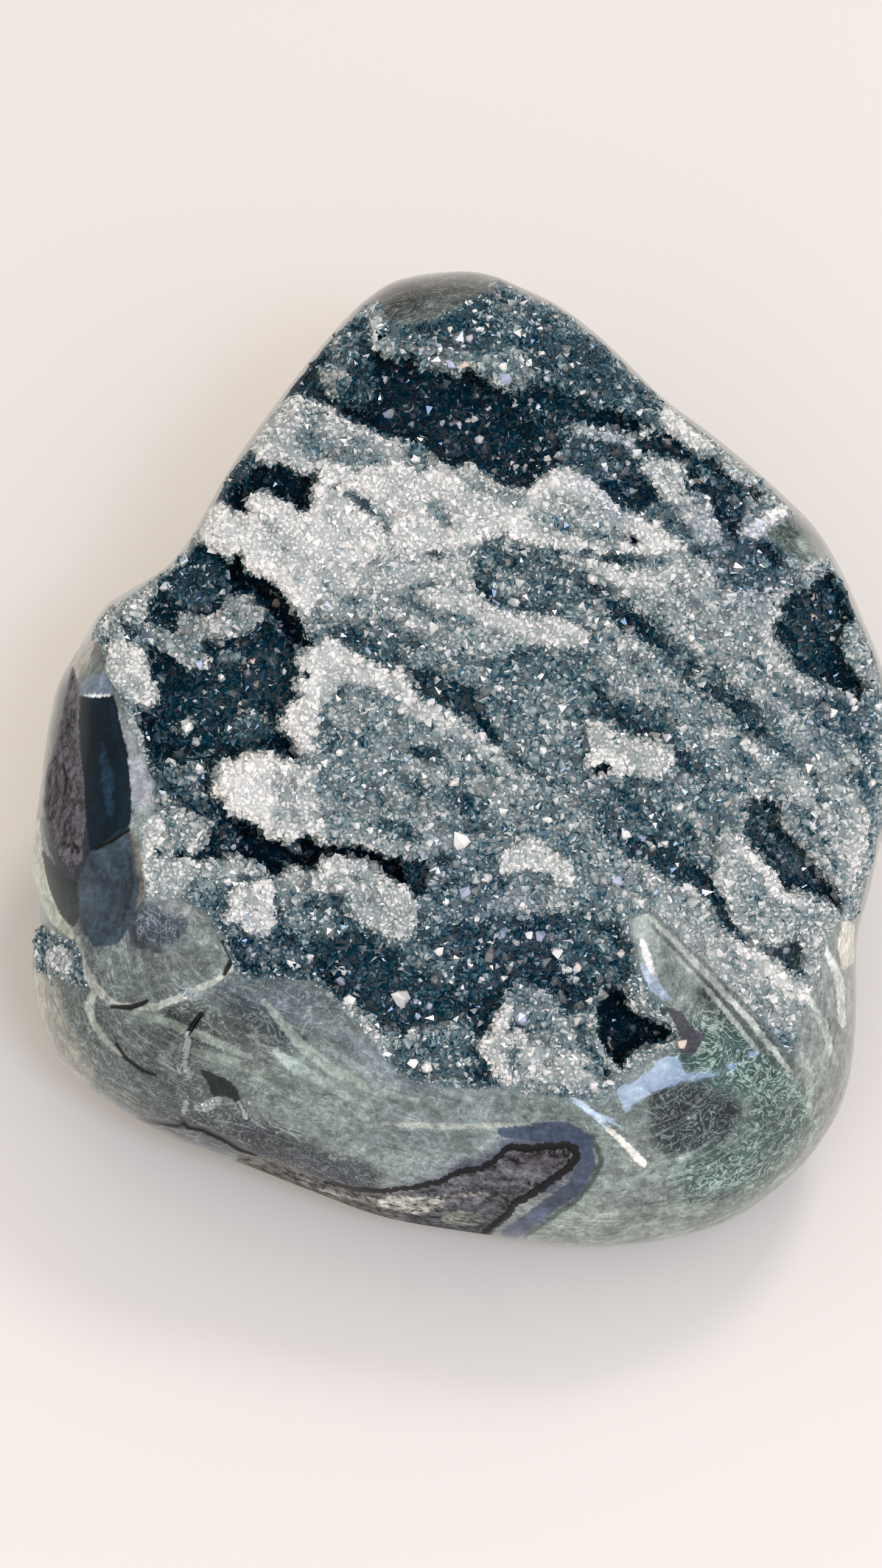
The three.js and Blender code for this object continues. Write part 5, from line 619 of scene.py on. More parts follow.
# Colours of the polished skin, each over those before it: sRGB colour, share, softness in mm, and its
# outline or its middle line with half widths.
SKIN = {
    # The lower left is darker partly by its own colour, partly by painted shade on a flank turned from the
    # light.
    "lower left": ("#474e4d", 0.9, 10, line(-46, -30, 3, -36, -40, 4)),
    "upper left ground": ("#606867", 0.9, 8, line(-40, -20, 3, -36, -26, 3)),
    "lower middle": ("#788382", 0.9, 7, line(-13, -45, 3, -5, -46, 4, 6, -43, 2)),
    "lower right": ("#7b847f", 0.9, 8, line(16, -55, 3, 30, -54, 3, 44, -47, 3)),
    "right shoulder": ("#7a807b", 0.95, 6, line(50, -30, 2, 49, -38, 3, 46, -44, 2)),
    "left rim": ("#a19f92", 0.9, 3, line(-52, -26, 0.5, -51, -32, 0.8, -47.6, -38, 0.5)),
    "slate left shade": ("#27313a", 0.9, 3, line(-25, -30.4, 1, -21.6, -32, 1.2)),
    "shoulder frost": ("#868d89", 0.9, 3, line(50.6, -22, 1, 49.6, -28, 2, 48, -33, 1.4)),
    "shoulder streak": ("#d3d6d2", 0.85, 0.9, line(49.4, -20.6, 0.1, 51.4, -25, 0.35, 52, -31, 0.2)),
    "shoulder second streak": ("#c3c7c2", 0.6, 0.9, line(47.6, -27.6, 0.1, 49.6, -31.4, 0.3, 51, -36, 0.1)),
    "shoulder third streak": ("#b0b6af", 0.45, 0.9, line(46.4, -33.4, 0.1, 47.8, -38, 0.25, 47.6, -43, 0.1)),
    "shoulder chip": ("#d9d6c8", 0.95, 0.6, area(
        52.1, -17.4, 53.3, -18.4, 53.1, -23, 52.1, -23.8, 51.5, -21)),
    "cap": ("#484d4a", 0.95, 5, line(-5, 62, 2, 2, 64, 3, 10, 63, 1)),
    "cap streak": ("#343938", 0.8, 1.6, line(-6, 62, 0.3, -1, 63.6, 0.6, 4, 64.4, 0.3)),
    "cap left": ("#232726", 0.8, 3, line(-9, 61, 0.6, -5, 63, 0.6)),
    "cap blush": ("#4d434d", 0.8, 2.4, line(-11, 60, 0.4, -9, 62, 0.8)),
    "east corner": ("#3c4b48", 0.95, 3, line(44.6, 33, 1.4, 48, 31, 1.6)),
    "east corner fleck": ("#8b9189", 0.8, 1.6, line(46.4, 31.4, 0.5, 48.6, 29.4, 0.8)),
    "rim upper": ("#4c5048", 0.8, 1.6, line(14, 62, 0.4, 26, 52, 0.4, 36, 44, 0.4, 44, 37, 0.4)),
    "rim right": ("#6c7376", 0.8, 2, line(56, 16, 0.4, 58, 5, 0.4, 56, -6, 0.8, 54.6, -13, 0.8)),
    "rim upper left": ("#57534f", 0.9, 1.2, line(-31, 33, 0.2, -24.6, 44, 0.2, -17.4, 53, 0.2)),
    "tongue": ("#7f8886", 0.95, 1, area(
        24.3, -17.6, 26, -16.6, 28, -17.2, 32, -21, 38, -27, 42.2, -32.6, 44, -37, 44.6, -41.5, 43.6, -41.5,
        41.6, -36.8, 38.6, -32.6, 35, -29.6, 32, -28.4, 30.4, -28.6, 28.6, -27.2, 26, -24.6)),
    "tongue shade": ("#2f3737", 0.9, 3, line(35, -27.4, 0.4, 38.4, -31.4, 1.4, 41, -35, 1.2)),
    "tongue top": ("#a5aca5", 0.8, 2, line(25.4, -18, 0.6, 26.6, -19.6, 0.8)),
    "tongue edge": ("#dcdcd6", 0.9, 0.6, line(26, -20.4, 0.1, 26.8, -22.6, 0.3, 27.4, -24.6, 0.1)),
    "purple patch": ("#3b3941", 0.95, 0.8, area(
        29, -29, 31, -29.6, 32, -31.4, 34, -32.6, 33.4, -33.6, 32.6, -34.8, 31, -34.6, 31.2, -32.6,
        30, -30.8)),
    # A painted reflection of light on the tongue's edge, in bluish white.
    "blue painted reflection": ("#a3b1c4", 0.9, 0.9, line(26.2, -23.6, 0.2, 27.4, -25.8, 0.5, 29, -27.6, 0.3)),
    "tongue line": ("#b4b9b2", 0.8, 0.4, line(
        26.6, -16.8, 0.05, 33.4, -23.6, 0.18, 40, -30.6, 0.18, 45, -37, 0.08)),
    "tongue groove": ("#4a524f", 0.6, 0.4, line(
        27.4, -18.4, 0.05, 33, -24.4, 0.14, 39.4, -31.4, 0.14, 43.6, -37, 0.06)),
    "tongue second line": ("#9fa5a1", 0.8, 0.4, line(29, -20.6, 0.08, 35, -27, 0.2, 41, -34.6, 0.1)),
    "green ground": ("#2c4743", 0.95, 3, line(33, -33, 1.4, 38, -36, 2.6, 41, -35, 1)),
    "slate patch": ("#18242e", 0.95, 1.4, area(
        26.8, -39.6, 30, -38.2, 34, -37.8, 37.6, -39.6, 39.4, -42.2, 38, -45.2, 35, -47.5, 30, -48.1,
        27.1, -46.2, 27.1, -42.2)),
    "green veil": ("#2f4a45", 0.85, 4, line(33, -36, 1, 42, -38, 1.2, 44, -43, 2, 40, -49, 2, 33, -51, 1)),
    "seam shade": ("#2a3231", 0.9, 3, line(-34, -30, 0.6, -28, -32, 1)),
    "first sage": ("#8f9a8e", 0.6, 0.9, line(
        -43, -28.4, 0.1, -35.2, -30.9, 0.3, -30.2, -32.9, 0.4, -24.6, -35.4, 0.1)),
    "second sage": ("#848d82", 0.55, 0.9, line(-32, -34.6, 0.2, -27, -36, 0.5, -22.4, -37.6, 0.2)),
    "third sage": ("#9aa89d", 0.6, 0.9, line(
        -23, -28, 0.1, -21, -30.4, 0.3, -18.4, -33.5, 0.5, -14.2, -36.9, 0.5, -8.6, -39.7, 0.3,
        -3, -41, 0.1)),
    "fourth sage": ("#9caaa1", 0.55, 0.9, line(
        -21.4, -34.6, 0.2, -18.6, -36.8, 0.7, -15.8, -38.2, 0.5, -12, -40.6, 0.3)),
    "sixth sage": ("#8c969b", 0.55, 0.9, line(-13, -31, 0.1, -10, -34, 0.3, -6, -37.4, 0.1)),
    "fifth sage": ("#8c969b", 0.55, 0.9, line(-15.4, -34, 0.1, -10, -37, 0.3, -8, -39.4, 0.1)),
    "sage field": ("#717c75", 0.6, 4, line(-20, -41, 0.8, -17.4, -44, 2, -15, -46.4, 0.8)),
    "grey under": ("#4b5050", 0.7, 3, line(-27, -32, 0.4, -25, -34, 0.8, -23, -34.6, 0.4)),
    "slate shore": ("#4c565e", 0.8, 3, line(-27, -27, 0.8, -20, -27.4, 1, -15, -28.6, 0.6)),
    "lilac shore": ("#5f6773", 0.75, 2.4, line(
        -24, -27.6, 0.6, -13, -32.8, 0.8, -4, -39, 0.8, 8, -41.6, 0.5)),
    "light line": ("#a3aaa0", 0.85, 0.5, line(-7.6, -43.9, 0.03, 0.4, -44.3, 0.16, 12, -44.1, 0.03)),
    "navy patch": ("#18222b", 0.9, 1.4, line(-22.2, -30.6, 0.5, -20, -32.4, 0.9, -18, -33.4, 0.6)),
    "slate left": ("#1d262e", 0.8, 2, line(-26.6, -28.4, 0.8, -23.6, -29.6, 0.8)),
    "purple bump": ("#343b4a", 0.85, 1.6, area(
        -40.2, -17.4, -39.2, -15.8, -36.2, -15.1, -33.7, -15.8, -32.7, -17.8, -33.9, -20, -36.4, -21.6,
        -38.8, -20.8, -40, -19.4)),
    "bump foot": ("#363a40", 0.8, 0.9, line(
        -38.6, -15.4, 0.1, -40.2, -17.4, 0.3, -39.6, -20.6, 0.3, -36.6, -21.6, 0.1)),
    "frost": ("#989c9a", 0.8, 2.6, line(-38, -13.4, 0.6, -35, -15.4, 0.8, -31, -17, 0.3)),
    "dark leaf": ("#141e20", 0.95, 0.6, area(
        -31, -37, -29, -37.8, -27.2, -38.8, -26.3, -40, -26.1, -41.2, -27.7, -40.2, -29.2, -40.3,
        -29.8, -39.3, -30.2, -38.2)),
    "dark leaf tail": ("#1c2426", 0.8, 0.5, line(-26.2, -41, 0.15, -25.6, -42.2, 0.1, -25, -43.4, 0.1)),
    "purple foot": ("#32343d", 0.9, 3, area(
        -33.6, -44.4, -30, -43.4, -26, -44, -22, -45.4, -18, -47.6, -13, -49.6, -9, -51, -9.4, -52.8,
        -14, -52, -20, -50, -26, -47.6, -31, -45.6)),
    "foot shadow": ("#3f3d45", 0.8, 1.2, line(
        -30.6, -45.2, 0.3, -27, -46.8, 0.5, -22, -48.8, 0.3, -16.4, -50.6, 0.3)),
    "matrix strip": ("#66655f", 0.95, 0.8, area(
        -26, -48, -22.6, -48.6, -19.4, -49.8, -16.4, -50.8, -13, -52.2, -9.4, -53, -4.6, -53.2, -0.6, -53,
        -2, -56, -8, -56.8, -17, -53.6, -27, -49.6)),
    "strip light": ("#a3a29b", 0.9, 0.5, line(-16, -52.4, 0.1, -8, -54.2, 0.5, -3, -54.8, 0.6)),
    "band above": ("#3a475c", 0.95, 0.9, line(8, -45, 0.4, 12, -45, 1, 16, -45, 1.1, 18.8, -46.4, 0.9)),
    "band beside": ("#434d60", 0.95, 0.6, line(
        18.9, -47.6, 0.6, 18.8, -49.4, 0.9, 17.4, -52.2, 0.9, 14.4, -54.3, 0.8, 11.6, -56.4, 0.8,
        8.8, -58.3, 0.8)),
    "band line": ("#3a4841", 0.85, 0.4, line(
        19.6, -45.6, 0.08, 20.8, -48.7, 0.14, 19.9, -50.8, 0.14, 17.8, -53.6, 0.14, 14.4, -56, 0.12,
        10.9, -58.5, 0.08)),
    "inclusion": ("#55555a", 0.95, 0.5, area(
        -4, -53, -1, -52.2, 0.4, -51.5, 2.5, -50.2, 5.3, -49.7, 7.4, -48.4, 8.7, -46.9, 10.9, -47.1,
        13.7, -46.9, 16.4, -46.7, 17.5, -47.4, 16.4, -49.7, 15.1, -50.7, 13, -52.2, 10.9, -53.5, 9.5, -54.3,
        8.7, -55.7, 6.2, -58.4, 0, -58, -5, -57)),
    "inclusion base": ("#7a7b72", 0.7, 0.9, line(1, -56, 0.9, 4.6, -56.4, 0.8)),
    "inclusion tip": ("#514b4b", 0.8, 0.9, line(10, -48.6, 0.7, 13, -49, 1.1, 15.6, -48.4, 0.7)),
    "inclusion vein": ("#a19c92", 0.8, 0.4, line(-0.3, -53.4, 0.1, 4, -53, 0.14, 8.6, -53.2, 0.06)),
    "inclusion pale": ("#a3a29a", 0.9, 0.8, line(-6.4, -54, 0.8, -3, -54.6, 1.1, 0, -54, 0.6)),
    "navy corner": ("#1a3a5c", 0.95, 1.4, line(15.4, -45, 0.4, 18, -46, 0.9, 19, -48.4, 0.5)),
    "left strip": ("#94959c", 0.95, 2, line(-42, 9, 0.4, -40, 3, 1.4, -38.6, -2, 1.6)),
    "west ground": ("#202326", 0.97, 2, line(
        -48.6, 13, 0.8, -50, 4, 1, -50.4, -5, 1, -47.6, -12, 1.4, -45.9, -6, 1, -45.9, 4, 1,
        -46.4, 11, 0.6)),
    "blue band": ("#021722", 1, 0.6, area(
        -46.5, 11.4, -44.4, 11.2, -42.5, 11.4, -42.2, 10.3, -41.6, 7.3, -40.8, 4.4, -40.4, 0.4, -40.2, -3.6,
        -40.6, -5.8, -42.6, -7.2, -45.2, -8.6, -45.6, -6.5, -45.8, -3.6, -46, 0.4, -46.5, 4.4, -46.7, 8.3)),
    "blue glow": ("#03283f", 0.95, 0.9, line(-43.8, 5, 0.2, -43.2, 1, 0.8, -42.8, -3.6, 0.4)),
    "blue grey foot": ("#36434e", 0.95, 0.8, area(
        -40.3, -6.2, -39.2, -9.5, -38.8, -12.9, -39.2, -15.4, -40.4, -18.4, -42, -20.6, -44.8, -20.8,
        -46.3, -19, -46.7, -16.4, -47.1, -13.5, -46, -10.5, -45.2, -8.8, -42.6, -7.4)),
    "foot line": ("#171e26", 0.9, 0.5, line(
        -40.4, -9, 0.1, -39.9, -13, 0.2, -40.6, -16, 0.25, -41.6, -18.4, 0.15)),
    "above band": ("#514d50", 0.95, 0.8, line(-47.2, 16.4, 0.5, -45.6, 17.6, 0.9, -44.6, 18.8, 0.3)),
    "band brown": ("#4a4348", 0.95, 1.4, line(-44.4, 18.6, 0.4, -43.8, 15.8, 0.5)),
    "band edge": ("#6a6254", 0.85, 0.8, line(
        -40.1, -6.4, 0.1, -39.1, -10, 0.22, -38.7, -13, 0.22, -39.4, -16.4, 0.1)),
    # A painted reflection: grey-blue light on a flat face of the left band, with a white painted highlight
    # at its foot.
    "painted reflection facet": ("#7d8b9b", 0.95, 0.6, area(-46.5, 11.4, -45.7, 13.6, -43, 14.4, -42.6, 11.4)),
    "facet line": ("#dfe2e0", 0.95, 0.3, line(-46.1, 11.5, 0.12, -44.6, 11.4, 0.2, -42.8, 11.5, 0.12)),
    "olive wedge": ("#a5a596", 0.95, 0.6, area(
        -45.3, 20.2, -44.8, 18, -45.8, 15.6, -47.1, 13.9, -47.5, 15.6, -46.7, 18)),
    "matrix": ("#545258", 1, 0.5, area(
        -47.3, 6.7, -46.5, 1.6, -46.2, -4.5, -46.5, -9.3, -47.6, -11.4, -49.4, -9.8, -50.6, -6, -51.3, -2.9,
        -50.9, 1.6, -49.6, 5.8, -48.6, 11, -47.6, 15, -47, 12)),
    "matrix dark": ("#232932", 0.9, 0.5, line(
        -51.2, -4.6, 0.2, -50.2, -8.4, 0.3, -48.8, -11, 0.4, -47.4, -12, 0.35, -46, -10, 0.3,
        -45.9, -6, 0.2)),
    "green black": ("#101f22", 0.95, 0.8, area(
        -51.6, -8.8, -50.2, -10.4, -48.6, -12.2, -47.2, -12.8, -46.8, -15, -46.8, -17, -47.6, -18.2,
        -49, -17.2, -50.4, -14.2)),
    "pale lip": ("#a9b0a0", 0.95, 0.7, line(
        -52.4, -5, 0.3, -52.4, -9, 0.7, -51.8, -13, 0.8, -49.8, -17.4, 0.6, -47.8, -19.6, 0.3)),
    "olive rim": ("#8d8a78", 0.85, 1, line(-49, 15, 0.2, -50.8, 8, 0.3, -52, -1, 0.3, -52.6, -6, 0.2)),
    "step line": ("#a7ada3", 0.85, 0.4, line(
        -46.2, -24.4, 0.1, -44.6, -26.9, 0.2, -45.7, -28.5, 0.25, -44.9, -31, 0.2, -43.9, -32.6, 0.15,
        -42.1, -34.4, 0.1, -40.8, -35, 0.05)),
    "seam line": ("#a9ada4", 0.9, 0.5, line(
        -47, -20, 0.1, -46.2, -23.6, 0.25, -44.6, -26.4, 0.3, -42.2, -28.7, 0.25, -37.3, -28.9, 0.25,
        -33.6, -27.6, 0.25, -29.4, -25.6, 0.2, -26.6, -23.4, 0.1)),
    # Painted highlights: light caught along the raised crease low on the right.
    "crease painted highlight": ("#a9b7c4", 0.95, 0.5, line(16.6, -40, 0.05, 19, -42.1, 0.15, 21.6, -44.4, 0.15)),
    "crease white painted highlight": ("#e0dcd0", 0.95, 0.5, line(21.4, -44.4, 0.08, 24, -46.8, 0.24, 26.2, -49.1, 0.2)),
}

# Cracks and grooves of the skin: depth, points with half widths.
CRACKS = [
    (0.5, line(-42.6, -28.8, 0.1, -40.2, -28.9, 0.2, -38.6, -28.4, 0.15, -38, -28, 0.05)),
    (0.5, line(-31, -29.7, 0.12, -32.1, -31.3, 0.25, -32.8, -32.4, 0.15)),
    (0.6, line(
        -41, -42.8, 0.05, -39.3, -43.5, 0.15, -36.5, -43.8, 0.15, -34, -44.1, 0.2, -33.2, -43.6, 0.3,
        -32.6, -44.3, 0.2, -30.9, -44.6, 0.2, -28, -45.9, 0.25, -25.9, -47.2, 0.2, -24, -47.9, 0.05)),
    (0.4, line(-44.7, -8.4, 0.08, -42.8, -7.4, 0.15, -41.6, -6.6, 0.15, -40.4, -5.9, 0.08)),
    (0.3, line(-42, -33.6, 0.05, -40.6, -35.6, 0.12, -38.6, -37, 0.12, -37, -37.6, 0.05)),
    (0.3, line(42.2, -53.4, 0.08, 45.6, -50.6, 0.2, 48.4, -47.4, 0.12)),
    (0.4, line(-28.2, -20.4, 0.1, -27, -22.6, 0.2, -28, -24.6, 0.1)),
    (0.2, line(-48.9, 2.6, 0.02, -48.4, 0.6, 0.06, -48.7, -1.4, 0.02)),
]

# The black line round the inclusion at the foot of the stone.
BLACK_LINE = line(
    -14.9, -51.5, 0.05, -11, -52.4, 0.12, -7.9, -52.7, 0.16, -3.8, -52.2, 0.16, -0.3, -51.5, 0.2,
    2.5, -50.1, 0.22, 5.3, -49.7, 0.2, 7.4, -48.3, 0.24, 8.7, -46.9, 0.28, 10.9, -47.1, 0.3,
    13.7, -46.9, 0.3, 16.4, -46.7, 0.3, 17.4, -47.2, 0.34, 17.5, -48.2, 0.34, 16.4, -49.7, 0.34,
    15.1, -50.7, 0.34, 13, -52.2, 0.32, 10.9, -53.5, 0.3, 9.5, -54.3, 0.3, 8.7, -55.7, 0.26, 7, -56.9, 0.26,
    5.6, -57.9, 0.2)

# Where the moss veins are greenest.
GREEN_VEINS = line(32, -31, 0.5, 37, -35, 2, 42, -38, 2, 44, -43, 2.4, 40, -49, 2, 33, -51, 1)

# Raised forms of the skin: height, softness, middle line with half widths.
SWELLS = [
    (0.8, 6, line(-37.6, -18.2, 1, -34, -18.4, 0.6)),
    (0.5, 1.6, line(16.6, -39.9, 0.1, 21.4, -44.6, 0.2, 26, -48.9, 0.1)),
    (0.7, 5, line(27, -20, 0.6, 34, -27, 1, 42, -34, 0.6)),
    (0.35, 2, line(-44, -33, 0.5, -42, -38, 2)),
]

# Flat chips low on the right of the skin, all turned as the stone is at FACET_CENTRE.
FACET_CENTRE = (27.5, -38.6)
FACETS = [
    area(
        22.8, -38.4, 24.6, -37, 26.2, -35.6, 28, -35, 29.7, -34.2, 31.2, -34.4, 32, -38.2, 30.4, -39.3,
        28.3, -39.9, 27.1, -40.9, 25.6, -42.1, 23.8, -43.3, 22.8, -42.4, 23.2, -40.8),
    area(16.8, -40.4, 20, -41.9, 24, -44.2, 23.6, -45.2, 19.4, -43.2, 16.8, -41.4),
]

# Crystals that stand out, painted bright as glints, with place and radius: white ones as painted highlights,
# bluish ones as painted reflections of the window, cream ones partly beige quartz and partly painted glints.
PAINTED_WHITE_GLINTS = [
    (2.7, -7.6, 1.4), (-5.2, -27.5, 1.5), (6, -12.1, 0.8), (13.6, -4.8, 0.8), (23.8, -6.6, 0.9),
    (32, -13.6, 0.8), (36, -21.7, 0.8), (43, -27.8, 0.8), (9.5, 23.3, 0.9), (25.2, 42.5, 0.8),
    (-12, -28.3, 0.9), (8, 54, 0.7), (1.2, 58.7, 0.6), (6.2, 60.4, 0.5), (-7.6, 52.4, 0.8), (4.4, 47.1, 0.6),
    (5, 44.5, 0.8), (13.8, 42.1, 0.7), (12.6, 48.7, 0.7), (-3.2, 41.7, 0.7), (-0.6, 41.6, 0.6),
    (-33.8, 16.2, 0.6), (-27.3, 19.4, 0.6), (-32.8, 7.4, 0.9), (19.4, -28.2, 0.6), (6.2, -20.6, 0.5),
    (5.2, -25.4, 0.6), (-4, -32.2, 0.6), (-3.6, -36.2, 0.9), (-1.8, -36.6, 0.9), (-7, -35, 0.6),
    (19.6, -39, 0.7), (14, -4.8, 0.6), (15.7, -4.2, 0.6), (44.8, -21.6, 0.7), (-25.2, -8.2, 0.5),
    (-14.6, -16.6, 0.7), (9.6, -0.4, 0.6), (32.4, 18.8, 0.7), (-10.8, 6.8, 0.6), (-13, 4, 0.6),
    (-9, -6, 0.6), (-1.4, 10.4, 0.6), (37, 12.6, 0.5), (15, -21.6, 0.8), (-0.4, -21.8, 0.7), (3.6, -23, 0.6),
    (11.4, -19.6, 0.7), (18.6, -22, 0.6), (-17, -22.4, 0.6), (-12.6, -24.4, 0.5),
]
PAINTED_BLUE_GLINTS = [
    (8, -19.3, 1), (25.8, -6.8, 0.7), (25.7, -8.9, 0.6), (7.3, 23.2, 0.7), (-9.5, 17.1, 0.7),
    (1.2, 54.2, 0.8), (8, 52.2, 1), (12.3, 53.4, 0.6), (13.8, 52.4, 0.5), (-0.2, 56.5, 0.6),
    (-7.2, 47.7, 0.7), (-31.3, 15.4, 0.7), (-37.4, 22.8, 0.5), (10.4, -30.2, 1), (12.9, -19.6, 0.9),
    (3, -14.3, 0.9), (-3.3, -28.2, 0.6), (-1.5, -28.8, 0.6), (-3, -30.2, 0.6), (22.7, -12.6, 0.9),
    (51.4, 20.4, 0.6), (51, 15.8, 0.6), (7.6, -19.8, 0.7),
]
CREAM_QUARTZ_AND_PAINTED_GLINTS = [
    (9.8, 49.3, 0.8), (33, 39.4, 0.8), (3.2, 54.4, 0.7), (13, 55.6, 0.6), (-35.6, 23, 0.5),
    (-34.8, 21.8, 0.5), (23.4, -22, 0.8), (31.2, -33.6, 0.8), (17.4, -30.6, 0.6), (48, 24, 0.6),
    (48.2, 21.6, 0.6),
]


# Numbers

LATTICE = 256
LATTICE_SHIFT = (100.3, 100.7)
CENTRES = 128
CENTRES_SHIFT = 40.0
FAR = 9.0


def smooth(t):
    """A soft step from 0 to 1."""
    t = np.clip(t, 0.0, 1.0)
    return t * t * (3 - 2 * t)


def lerp(x, y, t):
    return x + (y - x) * t


def cloud(a, b, size, seed):
    """Smooth noise from -1 to 1 with hills of the given size in millimetres."""
    lattice = np.random.default_rng(seed).uniform(-1, 1, (LATTICE, LATTICE))
    x, y = np.asarray(a) / size + LATTICE_SHIFT[0], np.asarray(b) / size + LATTICE_SHIFT[1]
    i, j = np.floor(x).astype(int), np.floor(y).astype(int)
    s, t = smooth(x - i), smooth(y - j)
    i0, i1, j0, j1 = i % LATTICE, (i + 1) % LATTICE, j % LATTICE, (j + 1) % LATTICE
    near = lerp(lattice[j0, i0], lattice[j0, i1], s)
    far = lerp(lattice[j1, i0], lattice[j1, i1], s)
    return lerp(near, far, t)


def clusters(a, b, pitch, seed):
    """Distance in pitches to the nearest of a field of scattered centres."""
    offset = np.random.default_rng(seed).uniform(0.05, 0.95, (CENTRES, CENTRES, 2))
    x, y = np.asarray(a) / pitch + CENTRES_SHIFT, np.asarray(b) / pitch + CENTRES_SHIFT
    i, j = np.floor(x).astype(int), np.floor(y).astype(int)
    best = np.full(x.shape, FAR)
    for di in (-1, 0, 1):
        for dj in (-1, 0, 1):
            ci, cj = (i + di) % CENTRES, (j + dj) % CENTRES
            gap = np.hypot(i + di + offset[cj, ci, 0] - x, j + dj + offset[cj, ci, 1] - y)
            best = np.minimum(best, gap)
    return best


def segment_distance(a, b, start, end):
    """Distance to a straight segment, and how far along it the nearest point lies."""
    da, db = end[0] - start[0], end[1] - start[1]
    t = np.clip(((a - start[0]) * da + (b - start[1]) * db) / (da * da + db * db), 0, 1)
    return np.hypot(a - start[0] - t * da, b - start[1] - t * db), t


def outline_gap(a, b, outline):
    """Distance to a closed outline, below zero inside it."""
    inside = np.zeros(np.shape(a), bool)
    least = np.full(np.shape(a), 1e9)
    for start, end in zip(outline, outline[1:] + outline[:1]):
        least = np.minimum(least, segment_distance(a, b, start, end)[0])
        if start[1] != end[1]:
            cross = (end[0] - start[0]) * (b - start[1]) / (end[1] - start[1]) + start[0]
            inside ^= ((start[1] > b) != (end[1] > b)) & (a < cross)
    return np.where(inside, -least, least)


def chain_gap(a, b, chain):
    """Distance to a chain of points that carry their own half widths, below zero inside it."""
    if len(chain) == 1:
        return np.hypot(a - chain[0][0], b - chain[0][1]) - chain[0][2]
    least = np.full(np.shape(a), 1e9)
    for start, end in zip(chain, chain[1:]):
        gap, t = segment_distance(a, b, start, end)
        least = np.minimum(least, gap - lerp(start[2], end[2], t))
    return least


def form_gap(a, b, points):
    return outline_gap(a, b, points) if len(points[0]) == 2 else chain_gap(a, b, points)


def unit(vectors):
    return vectors / np.linalg.norm(vectors, axis=-1, keepdims=True)


def colour(code):
    """An sRGB hex colour as linear values."""
    parts = [int(code[i:i + 2], 16) / 255 for i in (1, 3, 5)]
    return (*[c / 12.92 if c <= 0.04045 else ((c + 0.055) / 1.055) ** 2.4 for c in parts], 1.0)


# Form of the stone

RIM_STEPS = 14


def rim_curve():
    """Direction and distance of the outline from the hub, on a closed Catmull-Rom curve."""
    points = np.array(OUTLINE, float)
    t = np.linspace(0, 1, RIM_STEPS, endpoint=False)[:, None]
    p0, p1 = np.roll(points, 1, 0)[:, None], points[:, None]
    p2, p3 = np.roll(points, -1, 0)[:, None], np.roll(points, -2, 0)[:, None]
    m1, m2 = (p2 - p0) / 2, (p3 - p1) / 2
    curve = ((2 * p1 - 2 * p2 + m1 + m2) * t ** 3 + (3 * p2 - 3 * p1 - 2 * m1 - m2) * t ** 2
             + m1 * t + p1).reshape(-1, 2) - (HUB_A, HUB_B)
    angle = np.arctan2(curve[:, 1], curve[:, 0])
    order = np.argsort(angle)
    return angle[order], np.hypot(curve[:, 0], curve[:, 1])[order]


RIM_ANGLE, RIM_RADIUS = rim_curve()


def rim_radius(angle):
    return np.interp(angle, RIM_ANGLE, RIM_RADIUS, period=2 * math.pi)


def from_hub(a, b):
    """Direction and distance from the hub."""
    return np.arctan2(b - HUB_B, a - HUB_A), np.hypot(a - HUB_A, b - HUB_B)


def shoulder(angle):
    degrees = np.degrees(angle) % 360
    table = np.array(SHOULDER, float)
    row = np.clip(np.searchsorted(table[:, 0], degrees, "right"), 1, len(table) - 1)
    t = smooth((degrees - table[row - 1, 0]) / (table[row, 0] - table[row - 1, 0]))
    return lerp(table[row - 1, 1], table[row, 1], t), lerp(table[row - 1, 2], table[row, 2], t)


def plateau(a, b):
    return -FACE_TILT * b - FACE_DOME * (a * a + b * b)


def front(a, b, inset=0.0):
    """Height of the stone's face, no nearer to its rim than the inset."""
    angle, distance = from_hub(a, b)
    width, drop = shoulder(angle)
    depth = np.maximum(inset, rim_radius(angle) - distance)
    t = np.clip(1 - depth / width, 0, 1)
    return plateau(a, b) - drop * (1 - np.sqrt(1 - t * t))


def world(a, b, w):
    """Sight frame in millimetres to the part's frame in metres, as the eye sees it.

    The stone rests on the floor and stays within the model's box.
    """
    spread = 1 - w / EYE_DISTANCE
    place = np.stack([
        a * spread - SHIFT_X,
        b * spread * RISE - w * LEAN - SHIFT_Y,
        b * spread * LEAN + w * RISE + REST_DEPTH,
    ], axis=-1) * MM
    return np.clip(place, (*cad_low[:2], 0.0), cad_high)


# Form and colour of the druse, worked out once on a fine grid

STEP = 0.25
GRID_LEFT, GRID_RIGHT, GRID_FOOT, GRID_HEAD = -58, 62, -64, 70
GRID_A, GRID_B = np.meshgrid(
    np.arange(GRID_LEFT, GRID_RIGHT, STEP), np.arange(GRID_FOOT, GRID_HEAD, STEP))


def sample(name, a, b):
    """One of the druse's fields at any places, between the points of the grid."""
    field = DRUSE[name]
    x = np.clip((np.asarray(a) - GRID_LEFT) / STEP, 0, field.shape[1] - 1.001)
    y = np.clip((np.asarray(b) - GRID_FOOT) / STEP, 0, field.shape[0] - 1.001)
    i, j = x.astype(int), y.astype(int)
    s, t = x - i, y - j
    return lerp(lerp(field[j, i], field[j, i + 1], s), lerp(field[j + 1, i], field[j + 1, i + 1], s), t)


